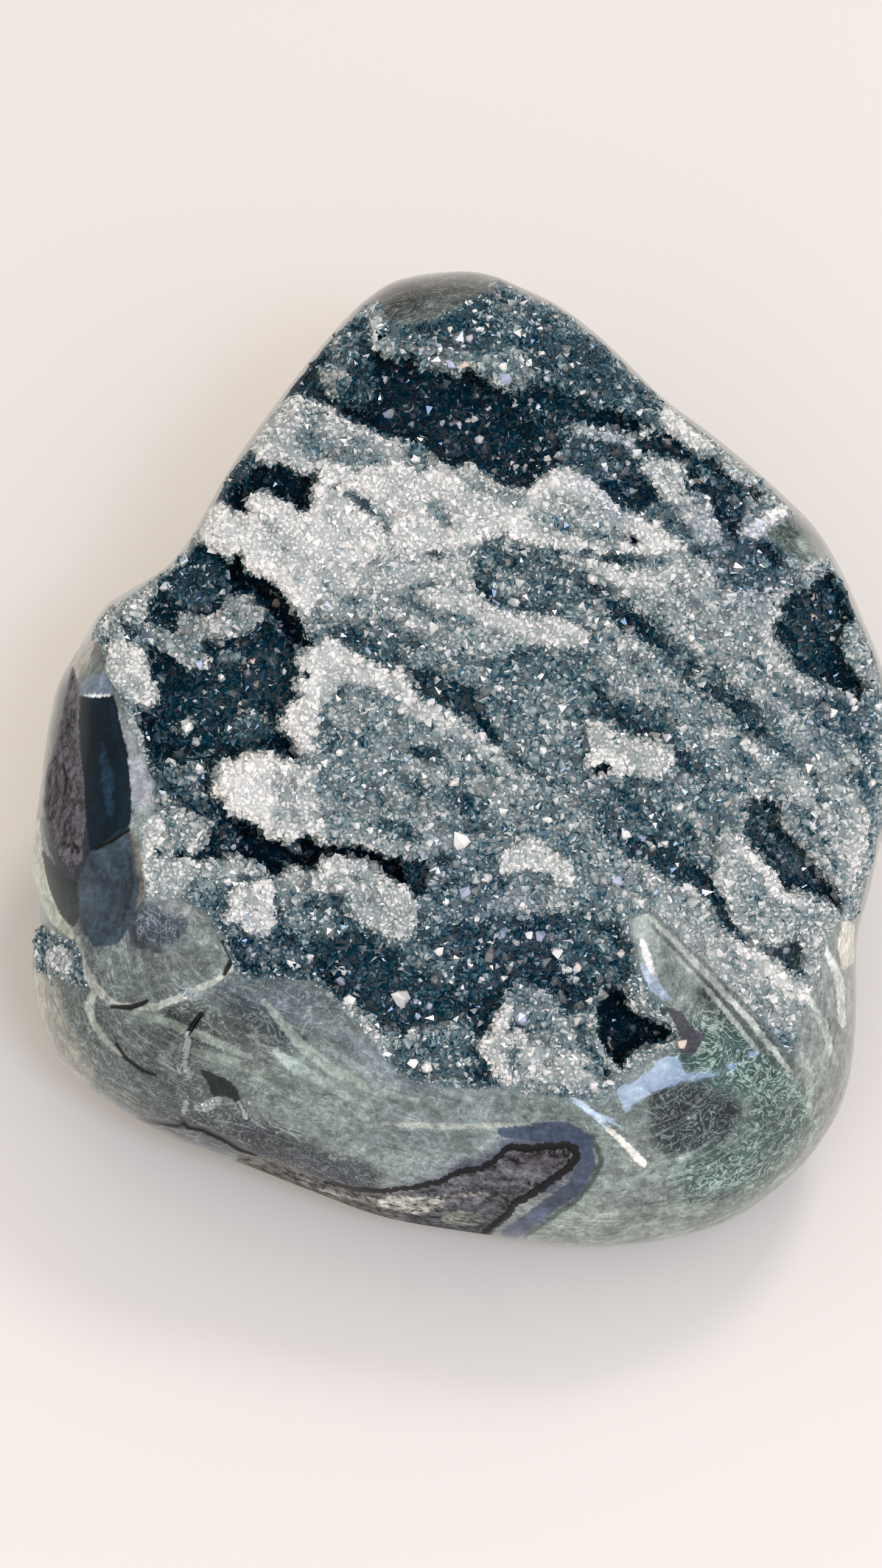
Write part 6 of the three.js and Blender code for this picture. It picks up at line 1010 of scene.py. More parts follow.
def blurred(field, reach):
    """Mean over a square of the given half width in millimetres, twice."""
    n = int(round(reach / STEP))
    for axis in (0, 1, 0, 1):
        padded = np.concatenate([
            np.repeat(field.take([0], axis), n + 1, axis), field,
            np.repeat(field.take([-1], axis), n, axis)], axis)
        total = np.cumsum(padded, axis)
        high = total.take(range(2 * n + 1, total.shape[axis]), axis)
        low = total.take(range(0, total.shape[axis] - 2 * n - 1), axis)
        field = (high - low) / (2 * n + 1)
    return field


def tint_field(a, b, entries):
    tint = np.zeros(a.shape)
    for share, soft, chain in entries:
        tint = np.maximum(tint, share * smooth(1 - chain_gap(a, b, chain) / soft))
    return tint


def druse_edge(a, b, ragged):
    """Distance to the skin, below zero in the druse, its vug and its seams, with a ragged edge.

    Where the druse runs up to the rim it leaves only a thin lip of skin.
    """
    edge, depth = outline_gap(a, b, BORDER), -outline_gap(a, b, OUTLINE)
    edge = lerp(edge, np.minimum(edge, RIM_WIDTH - depth), smooth((2.8 - edge - depth) / 0.8))
    edge = np.minimum(edge, outline_gap(a, b, VUG)) + 0.3 * ragged
    for chain in SPOTS:
        edge = np.minimum(edge, chain_gap(a, b, chain) + 0.25 * ragged)
    return edge


def druse_fields():
    """Edge, height, tone and tint of the druse over the grid."""
    a, b = GRID_A, GRID_B
    ragged = 0.55 * cloud(a, b, 2.6, 11) + 0.5 * cloud(a, b, 1.2, 12) + 0.4 * cloud(a, b, 0.6, 13)
    edge = druse_edge(a, b, ragged)

    # Ripples across the slope, and finer streaks along them
    bent_a, bent_b = a + 1.4 * cloud(a, b, 9, 14), b + 1.4 * cloud(a, b, 9, 15)
    across = bent_a * math.cos(RIPPLE_DIRECTION) + bent_b * math.sin(RIPPLE_DIRECTION)
    along = bent_a * math.sin(RIPPLE_DIRECTION) - bent_b * math.cos(RIPPLE_DIRECTION)
    band = 0.5 * np.sin(2 * math.pi * across / RIPPLE_LENGTH)
    streak = cloud(along / 5, across / 1.7, 1.0, 16) + 0.7 * cloud(along / 2.4, across / 0.9, 1.0, 17)

    level, tone = RIPPLE_HEIGHT * band, BASE_TONE + 0.03 * band
    for form_level, form_tone, wall, points in FORMS.values():
        gap = form_gap(a, b, points) + ragged * min(1, 0.12 + wall / 4)
        level = lerp(level, form_level + 0.3 * RIPPLE_HEIGHT * band, smooth(0.5 - gap / wall))
        tone = lerp(tone, form_tone, smooth(0.5 - gap / max(0.3, TONE_SOFTNESS * wall * wall)))

    # Botryoidal lumps of 3 mm and 1.6 mm, and grit
    lumps = (1.5 * (0.45 - clusters(a, b, 3.2, 21) ** 2) + 0.7 * (0.4 - clusters(a, b, 1.6, 22) ** 2)
             + 0.3 * cloud(a, b, 0.9, 23))
    floor = front(a, b, EDGE_INSET) + DRUSE_LEVEL + level + lumps + 0.3 * streak
    height = lerp(front(a, b), floor, smooth(-edge / EDGE_SLOPE))

    # Crests lighter than hollows, partly milky quartz and partly painted light and shade; dark valleys vary
    # less
    crest = np.clip(height - blurred(height, 1.2), -1.5, 1.5)
    speck = 0.03 * cloud(a, b, 1.2, 32) + 0.06 * cloud(a, b, 2.6, 33) + 0.04 * cloud(a, b, 7, 31)
    shine = smooth(tone / 0.3)
    return {
        "edge": edge,
        "height": height,
        "tone": np.clip(tone + (0.1 * crest + 0.05 * streak + speck) * (0.25 + 0.75 * shine), 0, 1),
        "tint": tint_field(a, b, WARM) - tint_field(a, b, SLATE),
    }


DRUSE = druse_fields()


def slopes(a, b, reach=0.35):
    """Slope of the druse along a and b."""
    return ((sample("height", a + reach, b) - sample("height", a - reach, b)) / (2 * reach),
            (sample("height", a, b + reach) - sample("height", a, b - reach)) / (2 * reach))


# The stone

def quarter_arc(width, drop):
    """Length of a quarter of an ellipse."""
    return math.pi / 4 * (3 * (width + drop) - np.sqrt((3 * width + drop) * (width + 3 * drop)))


def skin_point(direction):
    """From a unit direction to the sight frame: the front where it points to the eye, the back behind."""
    angle = np.arctan2(direction[:, 1], direction[:, 0])
    latitude = np.arcsin(np.clip(direction[:, 2], -1, 1)) / (math.pi / 2)
    radius = rim_radius(angle)
    width, drop = shoulder(angle)
    arc = quarter_arc(width, drop) / 2
    run = np.maximum(latitude, 0) * (arc + radius - width)
    tau = math.pi / 2 * np.clip(run / arc, 0, 1)
    depth = np.where(run < arc, width * (1 - np.cos(tau)), width + run - arc)
    share = np.cos(math.pi / 2 * np.maximum(-latitude, 0))
    plan = np.where(latitude >= 0, radius - depth, radius * share)
    a, b = HUB_A + plan * np.cos(angle), HUB_B + plan * np.sin(angle)
    ahead = plateau(a, b) - drop * (1 - np.sin(tau))
    rim_a, rim_b = HUB_A + radius * np.cos(angle), HUB_B + radius * np.sin(angle)
    rim = plateau(rim_a, rim_b) - drop
    middle = lerp(BACK_CENTRE - BACK_LEAN * b, rim, share ** 2)
    bulge = BACK_BULGE * np.sqrt(np.maximum(0, 1 - share ** 2)) ** BACK_ROUND
    return a, b, np.where(latitude >= 0, ahead, middle - bulge), latitude >= 0


def vertex_array(bm):
    bm.verts.ensure_lookup_table()
    return np.array([v.co for v in bm.verts])


def refine(bm, wanted):
    """Splits the front's edges whose ends are both wanted, and puts the new points on the unit ball."""
    a, b, _, ahead = skin_point(vertex_array(bm))
    keep = ahead & wanted(a, b)
    edges = [e for e in bm.edges if keep[e.verts[0].index] and keep[e.verts[1].index]]
    bmesh.ops.subdivide_edges(bm, edges=edges, cuts=1, use_grid_fill=True)
    bmesh.ops.triangulate(bm, faces=[f for f in bm.faces if len(f.verts) > 3])
    for v in bm.verts:
        v.co.normalize()
    bm.verts.index_update()


def crack_gap(a, b):
    return np.minimum.reduce([chain_gap(a, b, chain) for _, chain in CRACKS])


def facet_gap(a, b):
    return np.minimum.reduce([outline_gap(a, b, outline) for outline in FACETS])


def mark_gap(a, b, name):
    return form_gap(a, b, SKIN[name][-1])


def facet_relief(a, b):
    """What takes the skin to its flat chips, which lie level with the stone at their own middles."""
    centre_a, centre_b = FACET_CENTRE
    reach = 0.5
    slope_a = (front(centre_a + reach, centre_b) - front(centre_a - reach, centre_b)) / (2 * reach)
    slope_b = (front(centre_a, centre_b + reach) - front(centre_a, centre_b - reach)) / (2 * reach)
    relief = np.zeros(len(a))
    for outline in FACETS:
        middle_a, middle_b = np.mean(outline, axis=0)
        plane = front(middle_a, middle_b) + slope_a * (a - middle_a) + slope_b * (b - middle_b)
        relief += (plane - front(a, b)) * smooth(0.5 - outline_gap(a, b, outline) / 0.8)
    return relief


def skin_relief(a, b, edge):
    """Low swells, flat chips, cracks and a slight unevenness of the polished skin."""
    relief = 0.22 * cloud(a, b, 13, 51) + 0.06 * cloud(a, b, 4, 52)
    for height, soft, chain in SWELLS:
        relief = relief + height * smooth(1 - chain_gap(a, b, chain) / soft)
    relief = relief * smooth(facet_gap(a, b) / 1.5) + facet_relief(a, b)
    for depth, chain in CRACKS:
        relief = relief - depth * smooth(0.6 - chain_gap(a, b, chain) / 0.5)
    return relief * smooth((edge + 0.3) / 0.6)


def soft_paint(a, b, behind):
    """Linear colour of the polished skin under its marks; it fades out behind the rim."""
    paint = np.tile(np.array(colour(SKIN_GROUND)[:3]), (len(a), 1))
    ragged = 0.6 * cloud(a, b, 2.4, 61) + 0.4 * cloud(a, b, 1.1, 62) + 0.2 * cloud(a, b, 0.5, 63)
    for code, share, soft, points in SKIN.values():
        if soft >= CRISP:
            gap = form_gap(a, b, points) + ragged * min(0.5, 0.12 + 0.3 * soft) + behind
            cover = share * smooth(0.5 - gap / soft) if soft < 3 else share * smooth(1 - gap / soft)
            paint = lerp(paint, np.array(colour(code)[:3]), cover[:, None])
    return paint


def crisp_marks(a, b, behind):
    """Distance to the nearest crisp mark, below zero in it, and that mark's colour with its share."""
    nearest = np.full(len(a), FAR)
    paint = np.zeros((len(a), 4))
    for code, share, soft, points in SKIN.values():
        if soft < CRISP:
            gap = form_gap(a, b, points) + behind
            taken = (gap < 0) | (gap < nearest)
            nearest = np.where(taken, gap, nearest)
            paint[taken] = (*colour(code)[:3], share)
    return nearest, paint


def skin_dullness(a, b, behind):
    """Where the skin is raw matrix and takes no polish."""
    dull = np.zeros(len(a))
    for name in ("matrix", "matrix strip", "inclusion"):
        dull = np.maximum(dull, smooth(0.5 - (mark_gap(a, b, name) + behind) / 0.8))
    return dull


def add_attribute(mesh, name, values, kind="FLOAT", domain="POINT"):
    layer = mesh.attributes.new(name, kind, domain)
    key = {"FLOAT": "value", "FLOAT_VECTOR": "vector", "FLOAT_COLOR": "color"}[kind]
    layer.data.foreach_set(key, np.asarray(values, np.float32).ravel())


def skin_or_steep(a, b):
    """The polished skin, and the druse's steep walls."""
    slope = np.hypot(*slopes(a, b))
    edge = sample("edge", a, b)
    return (edge > -1.0) | ((edge < 0) & (slope > STEEP_SLOPE))


def sharp_detail(a, b):
    """Cracks, the black line, and the edges of chips and crisp marks."""
    return ((crack_gap(a, b) < 0.6) | (chain_gap(a, b, BLACK_LINE) < 0.5)
            | (np.abs(facet_gap(a, b)) < 0.6) | (np.abs(crisp_marks(a, b, 0)[0]) < 0.5))


def stone_mesh():
    """A ball drawn out to the stone, finer in front, with what its finish reads as attributes."""
    bm = bmesh.new()
    bmesh.ops.create_icosphere(bm, subdivisions=6, radius=1.0)
    for wanted in (lambda a, b: True, skin_or_steep, sharp_detail):
        refine(bm, wanted)
    a, b, w, ahead = skin_point(vertex_array(bm))
    angle, distance = from_hub(a, b)
    drop = shoulder(angle)[1]
    depth = rim_radius(angle) - distance
    edge = np.where(ahead, sample("edge", a, b), FAR)
    behind = np.where(ahead, 0.0, np.clip(plateau(a, b) - drop - w, 0, None) * 0.5)
    w = w + np.where(ahead, skin_relief(a, b, edge) * smooth(depth / 2), 0)
    w = lerp(w, sample("height", a, b), smooth((0.3 - edge) / 0.6))
    for v, co in zip(bm.verts, world(a, b, w)):
        v.co = co
    bmesh.ops.recalc_face_normals(bm, faces=bm.faces)
    mesh = bpy.data.meshes.new("polished_stone")
    bm.to_mesh(mesh)
    bm.free()
    mesh.shade_smooth()

    gap, marks = crisp_marks(a, b, behind)
    halo = smooth(1 - (mark_gap(a, b, "inclusion") + behind) / HALO_WIDTH)
    halo = halo * (b > HALO_FOOT) * (a < HALO_RIGHT)
    off_slate = smooth(mark_gap(a, b, "slate patch") / 1.5)
    green = smooth(1 - chain_gap(a, b, GREEN_VEINS) / 4.5) * (behind < 2) * off_slate
    for name, values in (
            ("edge", edge), ("tone", sample("tone", a, b)), ("tint", sample("tint", a, b)),
            ("line", chain_gap(a, b, BLACK_LINE) + behind), ("halo", halo),
            ("crack", crack_gap(a, b) + behind), ("green", green), ("dull", skin_dullness(a, b, behind)),
            ("mark", gap)):
        add_attribute(mesh, name, values)
    flow = np.stack([50 * np.cos(angle), 50 * np.sin(angle), np.where(ahead, depth, -behind)], -1)
    add_attribute(mesh, "flow", flow, "FLOAT_VECTOR")
    paint = np.concatenate([soft_paint(a, b, behind), np.ones((len(a), 1))], 1)
    add_attribute(mesh, "paint", paint, "FLOAT_COLOR")
    add_attribute(mesh, "mark_paint", marks, "FLOAT_COLOR")
    return mesh


# The crystals

FLASH_PLACE = np.array([0, 0, 0.05])


def halfway_to(place):
    """Direction halfway between a lamp and the eye, in the sight frame."""
    lamp = unit(np.array(place) - FLASH_PLACE)
    local = np.array([lamp[0], lamp[1] * RISE + lamp[2] * LEAN, lamp[2] * RISE - lamp[1] * LEAN])
    return unit(local + np.array([0, 0, 1.0]))


# Two crystals flash in the key light for each one in the window's
FLASHES = np.array([halfway_to(LAMPS[name][0]) for name in ("key", "key", "window")])
FLASH_HEIGHT = 1.15
FLASH_ANGLE = math.atan2(FLASH_HEIGHT, math.cos(math.pi / 6))

dice = np.random.default_rng(41)


def crystal_feet(pitch):
    """Scattered feet for crystals on a jittered honeycomb, denser where the druse is steep.

    They come in columns from left to right, each from its foot to its head.
    """
    rows = np.arange(DRUSE_FOOT, DRUSE_HEAD, pitch * math.sqrt(3) / 2)
    cells = np.arange(DRUSE_LEFT, DRUSE_RIGHT, pitch)
    jitter = 0.3 * pitch
    a, b = np.meshgrid(cells, rows)
    a[1::2] += pitch / 2
    layers = []
    for extra in range(3):
        feet_a = a.ravel() + dice.uniform(-jitter, jitter, a.size) * (1 + extra)
        feet_b = b.ravel() + dice.uniform(-jitter, jitter, a.size) * (1 + extra)
        slope_a, slope_b = slopes(feet_a, feet_b)
        stretch = np.sqrt(1 + slope_a ** 2 + slope_b ** 2)
        keep = (sample("edge", feet_a, feet_b) < -0.05) & (dice.uniform(0, 1, a.size) + extra < stretch)
        layers.append(np.stack([feet_a[keep], feet_b[keep]], -1))
    feet = np.concatenate(layers)
    return feet[np.lexsort((feet[:, 1], feet[:, 0] // DRUSE_COLUMN))].T


def crystal_axes(a, b, lean):
    slope_a, slope_b = slopes(a, b)
    axis = unit(np.stack([-0.7 * slope_a, -0.7 * slope_b, np.ones(len(a))], -1))
    axis = axis + dice.normal(0, lean, (len(a), 3))
    axis[:, 2] = np.maximum(axis[:, 2], 0.12)
    return unit(axis)


def flashing_axes(axis, share):
    """Turns a share of the crystals so that a face of each throws a lamp's light to the eye."""
    count = len(axis)
    turned = dice.uniform(0, 1, count) < share
    halfway = unit(FLASHES[dice.integers(0, len(FLASHES), count)] + dice.normal(0, 0.05, (count, 3)))
    away = unit(np.cross(halfway, dice.normal(0, 1, (count, 3))))
    along, across = halfway * math.cos(FLASH_ANGLE), away * math.sin(FLASH_ANGLE)
    tilted, other = along + across, along - across
    upward = tilted[:, 2:] > 0.15
    axes = np.where(turned[:, None], np.where(upward, tilted, other), axis)
    return axes, np.where(turned[:, None], np.where(upward, -away, away), np.nan)


def face_tones(tone, faces, shade):
    """Tone at each corner of each face: painted shade at the foot, painted light at the tip, a few painted
    glints.
    """
    count = len(tone)
    own = tone - 0.03 + dice.normal(0, 1, count) * (0.04 + 0.28 * tone * (1 - tone))
    face = dice.uniform(-0.17, 0.17, (count, len(faces))) * (0.35 + 0.65 * smooth(tone / 0.3))[:, None]
    glints = dice.uniform(0, 1, (count, len(faces))) < PAINTED_GLINT_SHARE
    face = np.where(glints, np.maximum(face, dice.uniform(0.25, 0.75, face.shape)), face)
    columns = [np.repeat(own[:, None] + face[:, i:i + 1], len(corners), 1) + np.array(shade)[list(corners)]
               for i, corners in enumerate(faces)]
    return np.clip(np.concatenate(columns, 1), 0, 1)


def mesh_from(name, place, faces, count):
    """One mesh of many alike solids, from their points and the faces of one."""
    size = len(place) // count
    corners = np.concatenate(faces)
    loops = (corners[None] + size * np.arange(count)[:, None]).ravel()
    totals = np.tile([len(f) for f in faces], count)
    starts = np.concatenate([[0], np.cumsum(totals)[:-1]])
    mesh = bpy.data.meshes.new(name)
    mesh.vertices.add(len(place))
    mesh.vertices.foreach_set("co", place.ravel().astype(np.float32))
    mesh.loops.add(len(loops))
    mesh.loops.foreach_set("vertex_index", loops.astype(np.int32))
    mesh.polygons.add(len(totals))
    mesh.polygons.foreach_set("loop_start", starts.astype(np.int32))
    mesh.update(calc_edges=True)
    mesh.validate()
    mesh.shade_flat()
    return mesh


def crystal_mesh(name, a, b, radius, tone, tint, lean, sink, flash, prism):
    """Quartz points on their feet in one mesh: six-sided, closed, with flat faces.

    Without a prism a crystal is a double pyramid half sunk in the bed, with one it stands on six sides.
    """
    count = len(a)
    axis, facing = flashing_axes(crystal_axes(a, b, lean), flash)
    turned = ~np.isnan(facing[:, 0])
    even = turned[:, None]
    helper = np.where(np.abs(axis[:, :1]) < 0.8, [[1.0, 0, 0]], [[0, 1.0, 0]])
    side = unit(np.cross(axis, helper))
    toward = facing - axis * np.sum(facing * axis, 1, keepdims=True)
    side = np.where(np.isnan(toward), side, unit(np.where(np.isnan(toward), 1.0, toward)))
    other = np.cross(axis, side)

    # Corners at uneven turns and distances, save on the crystals that flash
    spin = np.where(turned, math.pi / 6, dice.uniform(0, math.pi / 3, count))
    turn = spin[:, None] + np.arange(6) * math.pi / 3
    turn = turn + np.where(even, 0.0, 0.2 * (-1.0) ** np.arange(6) + dice.uniform(-0.2, 0.2, (count, 6)))
    uneven = radius[:, None] * np.where(even, 1.0, dice.uniform(0.65, 1.3, (count, 6)))
    ring = (side[:, None] * (uneven * np.cos(turn))[..., None]
            + other[:, None] * (uneven * np.sin(turn))[..., None])
    foot = np.stack([a, b, sample("height", a, b)], -1)
    shift = np.where(even, 0.0, dice.normal(0, 0.38, (count, 2))) * radius[:, None]
    point = radius * np.where(turned, FLASH_HEIGHT, dice.uniform(0.6, 1.25, count))
    reach = axis * point[:, None]
    sway = side * shift[:, :1] + other * shift[:, 1:]

    after = [(i + 1) % 6 for i in range(6)]
    # The shade lists give each corner painted shade at the foot, where the crystals crowd, and painted light
    # at the tip
    if prism:
        stem = radius * dice.uniform(0.1, 0.8, count)
        bottom = foot - axis * (sink * radius)[:, None]
        top = foot + axis * stem[:, None]
        tip = top + reach + sway
        points = np.concatenate([bottom[:, None] + ring, top[:, None] + ring, tip[:, None]], 1)
        faces = [(i, after[i], after[i] + 6, i + 6) for i in range(6)]
        faces += [(i + 6, after[i] + 6, 12) for i in range(6)] + [(5, 4, 3, 2, 1, 0)]
        shade = [-0.2] * 6 + [0.0] * 6 + [0.06]
    else:
        middle = foot + axis * ((0.15 - sink) * radius)[:, None]
        tip = middle + reach + sway
        root = middle - axis * (0.9 * radius)[:, None]
        points = np.concatenate([middle[:, None] + ring, tip[:, None], root[:, None]], 1)
        faces = [(i, after[i], 6) for i in range(6)] + [(after[i], i, 7) for i in range(6)]
        shade = [-0.18] * 6 + [0.08, -0.2]
    place = world(points[..., 0], points[..., 1], points[..., 2]).reshape(-1, 3)
    mesh = mesh_from(name, place, faces, count)
    add_attribute(mesh, "tone", face_tones(tone, faces, shade), domain="CORNER")
    add_attribute(mesh, "tint", np.repeat(tint + dice.normal(0, 0.15, count), points.shape[1]))
    return mesh


def show(mesh, material):
    piece = bpy.data.objects.new(mesh.name, mesh)
    bpy.context.collection.objects.link(piece)
    mesh.materials.append(material)
    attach(piece, "root")
    return piece


def grow(name, material, habit, feet, radius, tone, tint):
    """Shows a set of crystals as one piece of the druse."""
    piece = show(crystal_mesh(name, *feet, radius, tone, tint, **habit), material)
    return piece


def radii(usual, spread, least, most, count):
    """Random radii about the usual one."""
    return np.clip(dice.lognormal(math.log(usual), spread, count), least, most)


def scattered(feet, share, lightest, fade, inset):
    """Which feet bear larger points: fewer towards the lightest tone, and none near the skin."""
    rarity = smooth((lightest - sample("tone", *feet)) / fade)
    return (dice.uniform(0, 1, feet.shape[1]) < share * rarity) & (sample("edge", *feet) < -inset)


# Finishes

ATTRIBUTE = "ShaderNodeAttribute"
MAPPING = "ShaderNodeMapping"
MIX = "ShaderNodeMix"
MATH = "ShaderNodeMath"
RANGE = "ShaderNodeMapRange"
NOISE = "ShaderNodeTexNoise"
VECTOR_MATH = "ShaderNodeVectorMath"


def add_node(tree, kind, inputs=(), output=0, **settings):
    """Adds a node with its settings; each input takes a value or another node's output."""
    node = tree.nodes.new(kind)
    for key, value in settings.items():
        setattr(node, key, value)
    for key, value in dict(inputs).items():
        if isinstance(value, bpy.types.NodeSocket):
            tree.links.new(value, node.inputs[key])
        else:
            node.inputs[key].default_value = value
    return node.outputs[output]


def new_material(name, **values):
    """A material whose shader has the given values on its own sockets."""
    material = bpy.data.materials.new(name)
    material.use_nodes = True
    shader = material.node_tree.nodes["Principled BSDF"]
    for key, value in values.items():
        shader.inputs[key.replace("_", " ")].default_value = value
    return material, material.node_tree, shader


def colour_by_tone(tree, shader, steps):
    """Colours quartz by its tone, and makes it browner or bluer by its tint."""
    tint = add_node(tree, ATTRIBUTE, output="Fac", attribute_name="tint")
    tone = add_node(tree, ATTRIBUTE, output="Fac", attribute_name="tone")
    base = add_node(tree, "ShaderNodeValToRGB", {"Fac": tone})
    ramp = base.node.color_ramp
    while len(ramp.elements) < len(steps):
        ramp.elements.new(0.5)
    for element, (position, code) in zip(ramp.elements, steps):
        element.position = position
        element.color = colour(code)
    for reach, code in ((1.0, "#e3cabd"), (-1.0, "#c2cdea")):
        share = add_node(
            tree, RANGE, {"Value": tint, "From Min": 0.1 * reach, "From Max": reach},
            interpolation_type="SMOOTHSTEP")
        base = add_node(
            tree, MIX, {0: share, 6: base, 7: colour(code)}, 2, data_type="RGBA", blend_type="MULTIPLY")
    tree.links.new(base, shader.inputs["Base Color"])


def milky_quartz():
    """Druse quartz in small glassy points: dark teal in the hollows, milky on the shelves."""
    material, tree, shader = new_material(
        "milky_quartz_druse", Roughness=0.13, IOR=1.544, Specular_IOR_Level=0.4)
    colour_by_tone(tree, shader, [
        (0.0, "#002838"), (0.1, "#0c4052"), (0.2, "#3c616d"), (0.3, "#667f84"), (0.42, "#8c9999"),
        (0.55, "#b0b5b1"), (0.7, "#d0d0cc"), (0.85, "#e9e6e1"), (1.0, "#fcf9f3")])
    return material


def clear_quartz():
    """Larger rock crystal points: see-through, with sharp glints on their faces."""
    return new_material(
        "clear_rock_crystal", Base_Color=colour("#eef3f4"), Roughness=0.02, IOR=1.544,
        Transmission_Weight=0.9, Coat_Weight=1.0, Coat_Roughness=0.02)[0]


def bed_material():
    """Chalcedony under the crystals, dull, seen only between them."""
    material, tree, shader = new_material("druse_bed_chalcedony", Roughness=0.6, IOR=1.53)
    colour_by_tone(tree, shader, [
        (0.0, "#041922"), (0.2, "#1f353c"), (0.42, "#56666a"), (0.7, "#959d9c"), (1.0, "#c9ccc9")])
    return material


def polished_chalcedony():
    """Tumbled grey-green moss chalcedony: glassy skin over mottles, flow bands, marks and green veins.

    A noise scale is one over the size of its grains in millimetres. Real grains are finer than the last
    one here, which is as fine as shows.
    """
    material, tree, shader = new_material("polished_moss_chalcedony", IOR=1.53, Specular_IOR_Level=0.2)
    values = {name: add_node(tree, ATTRIBUTE, output="Fac", attribute_name=name)
              for name in ("line", "halo", "crack", "green", "dull", "mark")}
    paint, mark_paint = [add_node(tree, ATTRIBUTE, output="Color", attribute_name=name)
                         for name in ("paint", "mark_paint")]
    mark_share = add_node(tree, ATTRIBUTE, output="Alpha", attribute_name="mark_paint")
    round_rim = add_node(tree, ATTRIBUTE, output="Vector", attribute_name="flow")
    place = add_node(tree, MAPPING, {
        "Vector": add_node(tree, "ShaderNodeTexCoord", output="Object"),
        "Rotation": (EYE_ELEVATION - math.pi / 2, 0, 0), "Scale": (1000, 1000, 1000)})

    # Moss: a net of pale green threads with a mesh of 2.8 mm, and swirls between them
    net = add_node(tree, NOISE, {
        "Vector": place, "Scale": 0.36, "Detail": 5.0, "Roughness": 0.55, "Distortion": 1.8})
    off_line = add_node(tree, MATH, {0: net, 1: 0.5}, operation="SUBTRACT")
    off_line = add_node(tree, MATH, {0: off_line}, operation="ABSOLUTE")
    vein_share = add_node(tree, MATH, {0: values["green"], 1: 0.7, 2: 0.12}, operation="MULTIPLY_ADD")
    vein = add_node(tree, RANGE, {
        "Value": off_line, "From Min": 0.045, "From Max": 0.008, "To Max": vein_share})
    swirl = add_node(tree, MATH, {0: net, 1: 40.0}, operation="MULTIPLY")
    swirl = add_node(tree, MATH, {0: swirl}, operation="SINE")
    swirl = add_node(tree, RANGE, {
        "Value": swirl, "From Min": 0.55, "From Max": 1.0, "To Max": 0.28}, interpolation_type="SMOOTHSTEP")

    # Pale flecks of 0.8 mm
    flecks = add_node(tree, NOISE, {"Vector": place, "Scale": 1.3, "Detail": 2.0, "Distortion": 0.8})
    flecks = add_node(tree, RANGE, {"Value": flecks, "From Min": 0.64, "From Max": 0.76, "To Max": 0.5})
    layers = [(vein, colour("#93a89d")), (swirl, colour("#a4aba6")), (values["halo"], colour("#4a4a5e")),
              (flecks, colour("#b9beb6"))]

    # Pale and dark threads of 0.6 mm, 3 to 7 mm long, that run round the rim
    for scale, low, high, share, code in (((0.14, 0.14, 1.5), 0.56, 0.68, 0.3, "#a9b3aa"),
                                          ((0.4, 0.4, 1.6), 0.62, 0.7, 0.55, "#2b3332")):
        threads = add_node(tree, MAPPING, {"Vector": round_rim, "Scale": scale})
        threads = add_node(tree, NOISE, {"Vector": threads, "Scale": 1.0, "Detail": 3.0, "Distortion": 1.2})
        threads = add_node(tree, RANGE, {
            "Value": threads, "From Min": low, "From Max": high, "To Max": share})
        layers.append((threads, colour(code)))

    # The skin's own marks, with edges that fray by parts of a millimetre
    fray = add_node(tree, NOISE, {"Vector": place, "Scale": 1.6, "Detail": 3.0})
    frayed_mark = add_node(tree, MATH, {0: fray, 1: 0.7, 2: values["mark"]}, operation="MULTIPLY_ADD")
    cover = add_node(tree, RANGE, {
        "Value": frayed_mark, "From Min": 0.7, "From Max": 0.45, "To Max": mark_share})
    layers.append((cover, mark_paint))
    base = paint
    for share, over in layers:
        base = add_node(tree, MIX, {0: share, 6: base, 7: over}, 2, data_type="RGBA")

    # Mottles along the flow, and grain of 6, 1.8 and 0.5 mm
    flow = add_node(tree, MAPPING, {"Vector": round_rim, "Scale": (0.16, 0.16, 0.9)})
    for vector, size, detail, dark, light in (
            (flow, 1.8, 3.0, 0.88, 1.14), (place, 6.0, 3.0, 0.78, 1.24), (place, 1.8, 6.0, 0.74, 1.3),
            (place, 0.5, 2.0, 0.84, 1.18)):
        grain = add_node(tree, NOISE, {
            "Vector": vector, "Scale": 1 / size, "Detail": detail, "Roughness": 0.62, "Distortion": 0.9})
        grain = add_node(tree, RANGE, {
            "Value": grain, "From Min": 0.38, "From Max": 0.62, "To Min": dark, "To Max": light})
        base = add_node(tree, VECTOR_MATH, {0: base, "Scale": grain}, operation="SCALE")

    # Pits of 1.4 mm and less in the raw matrix, darker in colour partly as its own mottle and partly as
    # painted shade in the pits, then the black line and the cracks over it all
    pits = add_node(tree, NOISE, {
        "Vector": place, "Scale": 0.7, "Detail": 7.0, "Roughness": 0.72, "Distortion": 0.5})
    pitted = add_node(tree, RANGE, {
        "Value": pits, "From Min": 0.4, "From Max": 0.6, "To Min": 0.1, "To Max": 1.9})
    pitted = add_node(tree, VECTOR_MATH, {0: base, "Scale": pitted}, operation="SCALE")
    layers = [(values["dull"], pitted)]
    frayed_line = add_node(tree, MATH, {0: fray, 1: 0.9, 2: values["line"]}, operation="MULTIPLY_ADD")
    for value, far, near, share, code in (
            (frayed_line, 0.72, 0.56, 0.98, "#050507"), (values["crack"], 0.3, 0.06, 0.96, "#060809")):
        cover = add_node(tree, RANGE, {"Value": value, "From Min": far, "From Max": near, "To Max": share})
        layers.append((cover, colour(code)))
    for share, over in layers:
        base = add_node(tree, MIX, {0: share, 6: base, 7: over}, 2, data_type="RGBA")
    tree.links.new(base, shader.inputs["Base Color"])

